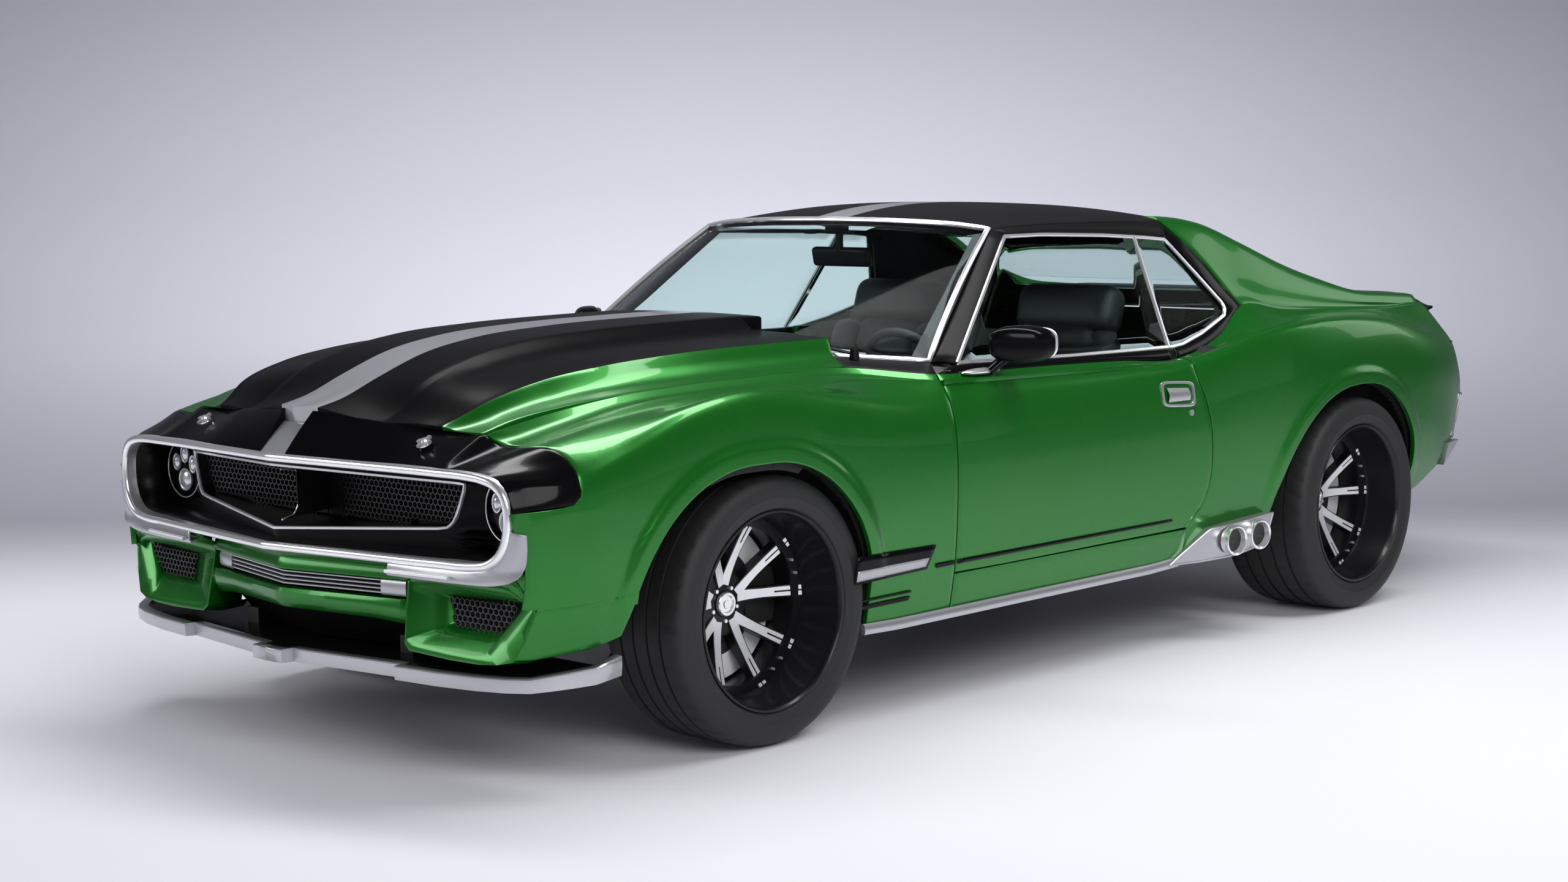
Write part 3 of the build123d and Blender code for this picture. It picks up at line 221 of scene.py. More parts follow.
class Workshop:
    """Makes the materials once, hands them out and finishes the pieces."""

    def __init__(self) -> None:
        """Builds the shared node groups."""
        self._made: dict[str, bpy.types.Material] = {}
        self.surface = self._surface_group()

    @staticmethod
    def _surface_group() -> bpy.types.NodeTree:
        """Soft changes of roughness and a fine grain in the height."""
        number = "NodeSocketFloat"
        inputs = [("Roughness", number, 0.4), ("Wear", number, 0.05), ("Grain", number, 0.0),
                  ("Grain Scale", number, 900.0)]
        tree = new_group("surface_wear", inputs, [("Roughness", number), ("Height", number)])
        nodes, links = tree.nodes, tree.links
        coords = nodes.new("ShaderNodeTexCoord")
        broad = nodes.new("ShaderNodeTexNoise")
        broad.inputs["Scale"].default_value = WEAR_SCALE
        fine = nodes.new("ShaderNodeTexNoise")
        shift, scale, height = (nodes.new("ShaderNodeMath") for _ in range(3))
        shift.operation, scale.operation, height.operation = "SUBTRACT", "MULTIPLY_ADD", "MULTIPLY"
        shift.inputs[1].default_value = 0.5
        given, made = nodes["in"].outputs, nodes["out"].inputs
        for source, target in (
            (coords.outputs["Object"], broad.inputs["Vector"]),
            (coords.outputs["Object"], fine.inputs["Vector"]),
            (given["Grain Scale"], fine.inputs["Scale"]), (broad.outputs["Fac"], shift.inputs[0]),
            (shift.outputs[0], scale.inputs[0]), (given["Wear"], scale.inputs[1]),
            (given["Roughness"], scale.inputs[2]),
            (fine.outputs["Fac"], height.inputs[0]), (given["Grain"], height.inputs[1]),
            (scale.outputs[0], made["Roughness"]), (height.outputs[0], made["Height"]),
        ):
            links.new(source, target)
        return tree

    def get(self, finish: Finish) -> bpy.types.Material:
        """The material of a finish, made on first use."""
        if finish.name not in self._made:
            self._made[finish.name] = self._make(finish)
        return self._made[finish.name]

    def _make(self, finish: Finish) -> bpy.types.Material:
        """Builds one material from its finish."""
        material = bpy.data.materials.new(finish.name)
        material.use_nodes = True
        nodes, links = material.node_tree.nodes, material.node_tree.links
        shader = nodes["Principled BSDF"]
        for socket, value in (
            ("Base Color", (*finish.color, 1.0)), ("Metallic", finish.metallic),
            ("Roughness", finish.roughness),
            ("Coat Weight", finish.coat), ("Coat Roughness", COAT_ROUGHNESS),
            ("Transmission Weight", finish.transmission), ("Specular IOR Level", finish.shine),
        ):
            shader.inputs[socket].default_value = value
        if finish.transmission:
            shader.inputs["IOR"].default_value = PANE_IOR
            return material
        surface = nodes.new("ShaderNodeGroup")
        surface.node_tree = self.surface
        for socket, value in (("Roughness", finish.roughness), ("Wear", finish.wear), ("Grain", finish.grain),
                              ("Grain Scale", finish.grain_scale)):
            surface.inputs[socket].default_value = value
        links.new(surface.outputs["Roughness"], shader.inputs["Roughness"])
        if finish.grain:
            bump = nodes.new("ShaderNodeBump")
            bump.inputs["Distance"].default_value = GRAIN_DEPTH
            links.new(surface.outputs["Height"], bump.inputs["Height"])
            links.new(bump.outputs["Normal"], shader.inputs["Normal"])
        return material

    def piece(self, name: str, bm: bmesh.types.BMesh, finish: Finish | Sequence[Finish],
              stands_for: Sequence[str] = (), body: str = "body", sharp: float = 40.0, slot: str = "",
              closed: bool = True) -> bpy.types.Object:
        """Turns a bmesh into a piece of the car.

        Args:
            name: The piece's name.
            bm: Its mesh, which is freed.
            finish: Its finish, or its finishes in slot order.
            stands_for: CAD nodes that it replaces.
            body: The body it rides on.
            sharp: Angle in degrees past which an edge stays sharp.
            slot: The record's material slot, where it isn't the first finish's own; not used.
            closed: Turns the faces outwards.

        Returns:
            The object.
        """
        finishes = [finish] if isinstance(finish, Finish) else list(finish)
        slot = slot or finishes[0].slot
        if closed:
            bmesh.ops.recalc_face_normals(bm, faces=bm.faces[:])
        mesh = bpy.data.meshes.new(name)
        bm.to_mesh(mesh)
        bm.free()
        for one in finishes:
            mesh.materials.append(self.get(one))
        mesh.polygons.foreach_set("use_smooth", [True] * len(mesh.polygons))
        mesh.set_sharp_from_angle(angle=math.radians(sharp))
        obj = bpy.data.objects.new(name, mesh)
        bpy.context.scene.collection.objects.link(obj)
        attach(obj, body)
        if stands_for:
            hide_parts(*stands_for)
        return obj

    def skin(self, name: str, sheets: Sequence[Sheet], finish: Finish | Sequence[Finish],
             facing: Sequence[float] = (), thickness: float = THIN, rounding: float = 0.0, inner: int = 0,
             **tags: object) -> bpy.types.Object:
        """Makes a thin piece from open sheets.

        Args:
            name: The piece's name.
            sheets: Its grids of places, each alone or with its paint.
            finish: Its finish, or its finishes in slot order.
            facing: Direction that its outside looks in.
            thickness: Depth inwards of its wall.
            rounding: Radius of its rim's outer edge.
            inner: Steps in the list of finishes from the outside to the underside.
            **tags: What piece() takes besides.

        Returns:
            The object.
        """
        bm = bmesh.new()
        for sheet in sheets:
            grid, paint = sheet if isinstance(sheet, tuple) else (sheet, 0)
            add_patch(bm, grid, paint)
        merge(bm)
        bmesh.ops.recalc_face_normals(bm, faces=bm.faces[:])
        if facing:
            face_towards(bm, facing)
        obj = self.piece(name, bm, finish, closed=False, **tags)
        solid = obj.modifiers.new("thickness", "SOLIDIFY")
        solid.thickness = thickness
        solid.offset = -1.0
        solid.material_offset = inner
        if rounding:
            bevel = obj.modifiers.new("rim", "BEVEL")
            bevel.width = rounding
            bevel.segments = 2
            bevel.limit_method = "ANGLE"
            bevel.angle_limit = math.radians(RIM_ANGLE)
        return obj


# ---------------------------------------------------------------------------
# Curves, surfaces and meshes
# ---------------------------------------------------------------------------

# Section of a bar, in shares of its width and height
BAR_SECTION = ((-0.5, -0.3), (-0.5, 0.2), (-0.3, 0.5), (0.3, 0.5), (0.5, 0.2), (0.5, -0.3), (0.3, -0.5),
               (-0.3, -0.5))


def smoothstep(low: float, high: float, value: Points) -> Points:
    """A soft step from 0 at low to 1 at high."""
    t = np.clip((value - low) / (high - low), 0.0, 1.0)
    return t * t * (3 - 2 * t)


def slopes(knots: Points, values: Points) -> Points:
    """Slopes of a smooth curve at its knots."""
    step = np.diff(knots)
    rise = np.diff(values, axis=0) / step[:, None]
    inner = (rise[:-1] * step[1:, None] + rise[1:] * step[:-1, None]) / (step[:-1] + step[1:])[:, None]
    return np.vstack([rise[:1], inner, rise[-1:]])


def hermite(t: Points, start: Points, leave: Points, end: Points, arrive: Points) -> Points:
    """A smooth step from start to end with given slopes, at shares t of the way."""
    return (start * (2 * t**3 - 3 * t**2 + 1) + leave * (t**3 - 2 * t**2 + t)
            + end * (-2 * t**3 + 3 * t**2) + arrive * (t**3 - t**2))


def smooth_curve(knots: Sequence[float], values: Sequence[Sequence[float]], at: Points) -> Points:
    """A smooth curve through knots.

    Args:
        knots: Rising places of the knots.
        values: One row of values per knot.
        at: Places to read it at.

    Returns:
        One row of values per place.
    """
    k = np.asarray(knots, float)
    v = np.asarray(values, float)
    v = v[:, None] if v.ndim == 1 else v
    m = slopes(k, v)
    at = np.clip(np.asarray(at, float), k[0], k[-1])
    i = np.clip(np.searchsorted(k, at, side="right") - 1, 0, len(k) - 2)
    h = (k[i + 1] - k[i])[:, None]
    t = (at - k[i])[:, None] / h
    return hermite(t, v[i], m[i] * h, v[i + 1], m[i + 1] * h)


def polyline(points: Sequence[Sequence[float]], count: int, smooth: bool = False) -> Points:
    """Evenly spaced places along a line of points.

    Args:
        points: The corners.
        count: Number of steps.
        smooth: Rounds the line through its points.

    Returns:
        count + 1 rows.
    """
    p = np.asarray(points, float)
    length = np.concatenate([[0.0], np.cumsum(np.linalg.norm(np.diff(p, axis=0), axis=1))])
    at = np.linspace(0.0, length[-1], count + 1)
    if smooth:
        return smooth_curve(length, p, at)
    return np.stack([np.interp(at, length, p[:, c]) for c in range(p.shape[1])], 1)


def legs(*parts: Points) -> Points:
    """Joins lines end to end, each later one without its first place."""
    return np.vstack([parts[0], *[part[1:] for part in parts[1:]]])


def merge(bm: bmesh.types.BMesh, distance: float = SAME_PLACE) -> None:
    """Merges vertices that share a place."""
    bmesh.ops.remove_doubles(bm, verts=bm.verts[:], dist=distance)


def face_towards(bm: bmesh.types.BMesh, direction: Sequence[float]) -> None:
    """Turns an open sheet round where it looks away from a direction."""
    towards = Vector(direction)
    if sum(face.normal.dot(towards) * face.calc_area() for face in bm.faces) < 0:
        bmesh.ops.reverse_faces(bm, faces=bm.faces[:])


def add_patch(bm: bmesh.types.BMesh, points: Points, paint: Paint = 0) -> None:
    """Adds a sheet of quads through a grid of places.

    Args:
        bm: The mesh to add to.
        points: Array of (rows, columns, 3) places.
        paint: Material index, or a function of row and column that gives it.
    """
    rows, cols = points.shape[0] - 1, points.shape[1] - 1
    made = bmesh.ops.create_grid(bm, x_segments=rows, y_segments=cols, size=1.0)["verts"]
    index = {vert: (round((vert.co.x + 1) / 2 * rows), round((vert.co.y + 1) / 2 * cols)) for vert in made}
    faces = {face for vert in made for face in vert.link_faces}
    for vert, key in index.items():
        vert.co = points[key]
    for face in faces:
        row, col = (min(places) for places in zip(*(index[vert] for vert in face.verts)))
        face.material_index = paint if isinstance(paint, int) else paint(row, col)


def ring_faces(bm: bmesh.types.BMesh, loops: Sequence[Sequence[bmesh.types.BMVert]],
               closed: bool = False) -> None:
    """Joins loops of vertices in order with quads.

    Args:
        bm: The mesh to add to.
        loops: The loops, all of one length.
        closed: Joins the last loop to the first; otherwise both are capped.
    """
    for front, back in zip(loops, [*loops[1:], loops[0]] if closed else loops[1:]):
        for k, vert in enumerate(front):
            n = (k + 1) % len(front)
            bm.faces.new((vert, front[n], back[n], back[k]))
    if not closed:
        bm.faces.new(loops[0])
        bm.faces.new(loops[-1])


def mirrored(points: Points) -> Points:
    """The same places on the car's other side."""
    return Side.RIGHT.turn(points)


def both(*sheets: Sheet) -> list[Sheet]:
    """Sheets of the left half, followed by the same ones of the right half."""
    parts = [sheet if isinstance(sheet, tuple) else (sheet, 0) for sheet in sheets]
    return parts + [(mirrored(grid), paint) for grid, paint in parts]


def looped(line: Points) -> Points:
    """A line with its first place once more at its end."""
    return np.vstack([line, line[:1]])


def between(a: Points, b: Points, shares: Points) -> Points:
    """A sheet at some shares of the way from one line to another: (places, shares, coordinates)."""
    t = shares[None, :, None]
    return a[:, None, :] * (1 - t) + b[:, None, :] * t


def across(a: Points, b: Points, steps: int, bulge: Sequence[float] = (0, 0, 0)) -> Points:
    """A sheet between two lines.

    Args:
        a: First line.
        b: Second line.
        steps: Rows between them.
        bulge: How far the middle stands out.

    Returns:
        Array of (len(a), steps + 1, 3) places.
    """
    t = np.linspace(0, 1, steps + 1)
    return between(a, b, t) + 4 * (t * (1 - t))[None, :, None] * np.asarray(bulge, float)


def tube(bm: bmesh.types.BMesh, line: Points, width: float, height: float, normal: Sequence[float],
         closed: bool = False) -> None:
    """Adds a bar of rounded section along a line.

    Args:
        bm: The mesh to add to.
        line: Places along its middle.
        width: Size across the line, in the surface.
        height: Size along the normal.
        normal: The surface's direction.
        closed: Joins the ends.
    """
    line = np.asarray(line, float)
    along = np.roll(line, -1, 0) - np.roll(line, 1, 0) if closed else np.gradient(line, axis=0)
    along /= np.maximum(np.linalg.norm(along, axis=1, keepdims=True), 1e-9)
    side = np.cross(along, np.broadcast_to(np.asarray(normal, float), line.shape))
    side /= np.maximum(np.linalg.norm(side, axis=1, keepdims=True), 1e-9)
    up = np.cross(side, along)
    loops = [[bm.verts.new(p + s * a * width + u * b * height) for a, b in BAR_SECTION] for p, s,
             u in zip(line, side, up)]
    ring_faces(bm, loops, closed)


def add_cone(bm: bmesh.types.BMesh, segments: int, low: float, high: float, depth: float,
             place: Matrix) -> None:
    """Adds a capped round bar, straight or tapered.

    Args:
        bm: The mesh to add to.
        segments: Flats round it.
        low: Radius at its foot.
        high: Radius at its head.
        depth: Its length.
        place: Its middle and direction.
    """
    bmesh.ops.create_cone(bm, cap_ends=True, segments=segments, radius1=low, radius2=high, depth=depth,
                          matrix=place)


def add_block(bm: bmesh.types.BMesh, place: Sequence[float], size: Sequence[float], tilt: float,
              rounding: float,
              segments: int = 4) -> None:
    """Adds a rounded block.

    Args:
        bm: The mesh to add to.
        place: Its middle.
        size: Its size on each axis.
        tilt: Turn about the cross axis, in degrees.
        rounding: Radius of its edges.
        segments: Steps in each rounded edge.
    """
    turned = Matrix.Translation(place) @ Matrix.Rotation(math.radians(tilt), 4,
                                                         "X") @ Matrix.Diagonal((*size, 1))
    made = bmesh.ops.create_cube(bm, size=1, matrix=turned)["verts"]
    edges = list({edge for vert in made for edge in vert.link_edges})
    bmesh.ops.bevel(bm, geom=edges, offset=rounding, segments=segments, profile=0.5, affect="EDGES",
                    material=-1)


# ---------------------------------------------------------------------------
# Body side surface
# ---------------------------------------------------------------------------

# Rails of the left body side by place along the car. Columns: y, then x and z of the sill, lower crease,
# tuck, waist crease, upper side, crest, shoulder and panel seam.
SIDE_ROWS = metres(
    (-2250, 790, 345, 822, 440, 836, 560, 841, 690, 839, 728, 826, 764, 740, 802, 610, 822),
    (-2200, 828, 342, 856, 440, 872, 560, 876, 694, 871, 740, 853, 776, 768, 820, 612, 847),
    (-2100, 868, 338, 892, 435, 908, 560, 911, 700, 906, 752, 884, 798, 800, 842, 622, 878),
    (-1900, 885, 332, 908, 430, 922, 555, 925, 702, 920, 782, 897, 850, 812, 886, 662, 920),
    (-1700, 889, 320, 914, 420, 928, 550, 930, 695, 925, 821, 896, 915, 812, 919, 676, 944),
    (-1500, 890, 300, 916, 410, 930, 550, 932, 690, 927, 840, 894, 946, 806, 932, 683, 953),
    (-1300, 890, 285, 915, 405, 929, 550, 931, 687, 925, 832, 893, 936, 802, 930, 688, 958),
    (-1100, 889, 268, 914, 400, 927, 550, 928, 685, 921, 808, 893, 905, 802, 928, 690, 961),
    (-900, 888, 258, 912, 395, 924, 550, 925, 683, 918, 788, 893, 872, 812, 928, 700, 962),
    (-660, 886, 255, 910, 390, 921, 550, 923, 680, 916, 782, 894, 860, 862, 915, 845, 934),
    (-500, 886, 255, 910, 388, 921, 550, 924, 678, 917, 782, 896, 866, 866, 914, 848, 930),
    (-200, 886, 255, 911, 388, 922, 550, 925, 677, 918, 784, 898, 868, 868, 910, 850, 926),
    (200, 887, 255, 913, 390, 925, 550, 929, 681, 922, 788, 902, 872, 872, 905, 854, 917),
    (500, 890, 256, 918, 392, 933, 550, 940, 684, 934, 795, 914, 888, 880, 905, 856, 905),
    (800, 896, 260, 928, 396, 950, 550, 962, 688, 960, 820, 934, 948, 885, 952, 822, 965),
    (1000, 904, 270, 938, 405, 966, 552, 979, 690, 977, 840, 946, 976, 884, 988, 775, 1050),
    (1200, 910, 290, 946, 420, 974, 555, 986, 695, 983, 850, 950, 985, 884, 1000, 793, 1026),
    (1450, 912, 310, 948, 435, 976, 560, 987, 702, 982, 845, 949, 980, 882, 1000, 800, 1014),
    (1700, 908, 330, 944, 450, 970, 570, 980, 712, 973, 835, 942, 956, 874, 984, 800, 1004),
    (1950, 895, 352, 930, 465, 954, 580, 963, 735, 955, 825, 925, 906, 858, 944, 790, 996),
    (2150, 868, 385, 898, 485, 915, 590, 922, 735, 914, 805, 890, 872, 842, 928, 788, 998),
    (2250, 838, 420, 862, 505, 878, 600, 885, 735, 877, 795, 862, 850, 826, 912, 784, 992),
    (2372, 795, 460, 816, 530, 828, 610, 834, 725, 828, 775, 818, 818, 796, 880, 770, 980),
)
# Rails of the sail panel behind the side window. Columns: y, then x and z of its middle, crest, inner edge
# and foot.
SAIL_ROWS = metres(
    (500, 700, 1150, 606, 1352, 540, 1362, 520, 1330), (725, 700, 1170, 612, 1332, 545, 1345, 525, 1310),
    (885, 692, 1196, 620, 1322, 550, 1335, 530, 1298), (1000, 706, 1172, 628, 1302, 556, 1314, 535, 1276),
    (1168, 736, 1128, 664, 1239, 585, 1250, 565, 1212), (1365, 764, 1084, 709, 1160, 628, 1170, 608, 1138),
    (1551, 780, 1053, 740, 1105, 656, 1114, 640, 1086), (1700, 786, 1034, 760, 1068, 672, 1076, 660, 1050),
    (1950, 782, 1013, 764, 1044, 690, 1048, 680, 1020), (2150, 776, 1000, 760, 1030, 700, 1034, 690, 1000),
)
# How sharp each rail is as a crease, from 0, smooth, to 1
RAIL_SHARP = (0.0, 0.75, 0.0, 0.55, 0.0, 0.35, 0.0, 0.0, 0.0, 0.25, 0.3, 0.0)
# Height numbers of the waist crease, the crest, the panel seam and the sail panel's end
V_WAIST, V_CREST, V_SEAM, V_SAIL_END = 3.0, 5.0, 7.0, 11.0
# Wheel arch circles: y, z, radius of the rear and of the front one
FRONT_ARCH = metres((-1430, 350, 410), (-1500, 330, 430))
REAR_ARCH = metres((1420, 360, 410), (1370, 330, 440))
# Lips of the wheel arches: width, width of the fade, and height in front and at the rear
FLARE_WIDTH = 0.036
FLARE_SOFT = 0.026
FLARE_FRONT = 0.01
FLARE_REAR = 0.009


class BodySide:
    """The left body side as one smooth surface over y and a height number v."""

    def __init__(self) -> None:
        """Reads the rails."""
        rows = np.array(SIDE_ROWS)
        sail = np.array(SAIL_ROWS)
        self._y = rows[:, 0]
        self._rails = [rows[:, 1 + 2 * k : 3 + 2 * k] for k in range(8)]
        self._sail_y = sail[:, 0]
        self._sails = [sail[:, 1 + 2 * k : 3 + 2 * k] for k in range(4)]

    def rails(self, y: Points) -> Points:
        """Every rail's x and z at places along the car: (rails, places, 2)."""
        low = [smooth_curve(self._y, rail, y) for rail in self._rails]
        high = [smooth_curve(self._sail_y, rail, y) for rail in self._sails]
        return np.stack(low + high)

    @staticmethod
    def arch_distance(y: Points, z: Points, arch: Sequence[Row]) -> Points:
        """How far places lie outside a wheel arch in side view."""
        (ya, za, ra), (yb, zb, rb) = arch
        rear = np.hypot(y - ya, z - za) - ra
        front = np.hypot(y - yb, z - zb) - rb
        middle = z - (za + ra)
        return np.where(y > ya, rear, np.where(y < yb, front, middle))

    def raw(self, y: Points, v: Points) -> Points:
        """The surface without its flares: one (x, y, z) row per place."""
        y = np.asarray(y, float).ravel()
        v = np.clip(np.asarray(v, float).ravel(), 0.0, V_SAIL_END - 1e-6)
        rails = self.rails(y)
        pick = np.arange(len(y))
        i = v.astype(int)
        t = (v - i)[:, None]
        last = len(rails) - 1
        p0, p1 = rails[i, pick], rails[np.minimum(i + 1, last), pick]
        before = rails[np.maximum(i - 1, 0), pick]
        after = rails[np.minimum(i + 2, last), pick]
        sharp = np.array(RAIL_SHARP)
        s0, s1 = sharp[i][:, None], sharp[np.minimum(i + 1, last)][:, None]
        chord = p1 - p0
        m0 = np.where(i[:, None] == 0, chord, (1 - s0) * 0.5 * (p1 - before) + s0 * chord)
        m1 = np.where(i[:, None] == last - 1, chord, (1 - s1) * 0.5 * (after - p0) + s1 * chord)
        xz = hermite(t, p0, m0, p1, m1)
        return np.stack([xz[:, 0], y, xz[:, 1]], 1)

    def at(self, y: Points, v: Points, lift: float = 0.0) -> Points:
        """The surface with its wheel arch flares.

        Args:
            y: Places along the car.
            v: Height numbers.
            lift: Extra distance outwards.

        Returns:
            One (x, y, z) row per place.
        """
        shape = np.shape(y)
        points = self.raw(y, v)
        number = np.asarray(v, float).ravel()
        fade = smoothstep(0.36, 0.50, points[:, 2]) * (1 - smoothstep(V_CREST - 0.6, V_CREST, number))
        for arch, height in ((FRONT_ARCH, FLARE_FRONT), (REAR_ARCH, FLARE_REAR)):
            far = self.arch_distance(points[:, 1], points[:, 2], arch)
            points[:, 0] += height * fade * (1 - smoothstep(FLARE_WIDTH, FLARE_WIDTH + FLARE_SOFT, far))
        points[:, 0] += lift
        return points.reshape(*shape, 3)

    def v_at(self, y: Points, z: Points) -> Points:
        """The height number at which the side, below its crest, has a height z."""
        y = np.asarray(y, float).ravel()
        z = np.asarray(z, float).ravel()
        steps = np.linspace(0, V_CREST, 161)
        heights = self.raw(np.repeat(y, len(steps)), np.tile(steps, len(y)))[:, 2].reshape(len(y), -1)
        return np.array([np.interp(height, row, steps) for height, row in zip(z, heights)])

    def yv(self, yz: Points) -> Points:
        """Turns side-view places (y, z) into surface places (y, v)."""
        yz = np.asarray(yz, float)
        return np.stack([yz[..., 0], self.v_at(yz[..., 0], yz[..., 1]).reshape(yz.shape[:-1])], -1)

    def sheet(self, grid: Points, lift: float = 0.0) -> Points:
        """Surface places of a grid of (y, v)."""
        return self.at(grid[..., 0], grid[..., 1], lift)

    def on(self, yz: Points, lift: float = 0.0) -> Points:
        """Surface places of side-view places (y, z)."""
        return self.sheet(self.yv(yz), lift)


def arch_line(arch: Sequence[Row], low_rear: float, low_front: float, front_stop: float = 180.0) -> Points:
    """A wheel arch's lip from its rear foot over the top to its front foot, as (y, z) places.

    Args:
        arch: The arch's two circles.
        low_rear: Height of the rear foot.
        low_front: Height of the front foot.
        front_stop: Angle in degrees at which the front circle ends.

    Returns:
        85 places.
    """
    (ya, za, ra), (yb, zb, rb) = arch
    up = np.stack([np.full(7, ya + ra), np.linspace(low_rear, za, 7)], 1)
    a = np.radians(np.linspace(0, 90, 37))
    rear = np.stack([ya + ra * np.cos(a), za + ra * np.sin(a)], 1)
    top = polyline([(ya, za + ra), (yb, zb + rb)], 4)
    b = np.radians(np.linspace(90, front_stop, 33))
    front = np.stack([yb + rb * np.cos(b), zb + rb * np.sin(b)], 1)
    down = polyline([front[-1], (front[-1][0], min(low_front, front[-1][1]))], 5)
    return legs(up, rear, top, front, down)


# ---------------------------------------------------------------------------
# Body panels
# ---------------------------------------------------------------------------

# Gap along a seam, to each side
GAP = 0.0022
# Rear end of the gloss nose cap on the fender: as (y, v) down to the crest, then in side view (y, z)
CAP_REAR_TOP = ((-2.125, 7.0), (-2.1, 6.5), (-2.078, 6.0), (-2.074, 5.5), (-2.078, 5.0))
CAP_REAR = metres((-2079, 772), (-2078, 748), (-2083, 730), (-2100, 718))
CAP_FRONT_Z = 0.707
RING_JOINT_Y = -2.246
HOOD_CORNER_Y = -2.125
NOSE_Y = -2.25
# Side views (y, z) of the panels' edges
LOWER_SEAM = metres((-2188, 470.5), (-2050, 476.5), (-1900, 483.5))
FENDER_NOSE = metres((-2238, 660), (-2222, 610), (-2214, 550), (-2218, 470))
CORNER_FOOT = metres((-1935, 372), (-2020, 354), (-2218, 338))
DOOR_REAR = metres(
    (475, 374), (552, 450), (574, 500), (583, 550), (578, 630), (568, 704), (546, 770), (520, 832), (508, 870),
)
TAIL_PROFILE = metres(
    (2228, 990), (2212, 960), (2208, 925), (2220, 865), (2238, 810), (2258, 757), (2310, 680), (2317, 662),
    (2316, 615), (2284, 560), (2218, 508), (2108, 440), (1995, 390), (1930, 362),
)
DOOR_FRONT_Y = -0.662
DOOR_BOTTOM_Z = 0.374
SILL_Z = 0.262
BELT_REAR_Y = 2.15
# Front edge of the sail panel as (y, v)
SAIL_FRONT = ((0.985, 7.0), (0.945, 7.5), (0.885, 8.0), (0.815, 8.5), (0.752, 9.0))


def cap_edge(side: BodySide, gap: float = 0.0) -> Points:
    """The nose cap's rear edge on the fender as (y, v), moved back by a gap."""
    low = side.yv([(y + gap, z) for y, z in CAP_REAR])
    return polyline(np.vstack([np.array(CAP_REAR_TOP) + (gap, 0.0), low]), 24)


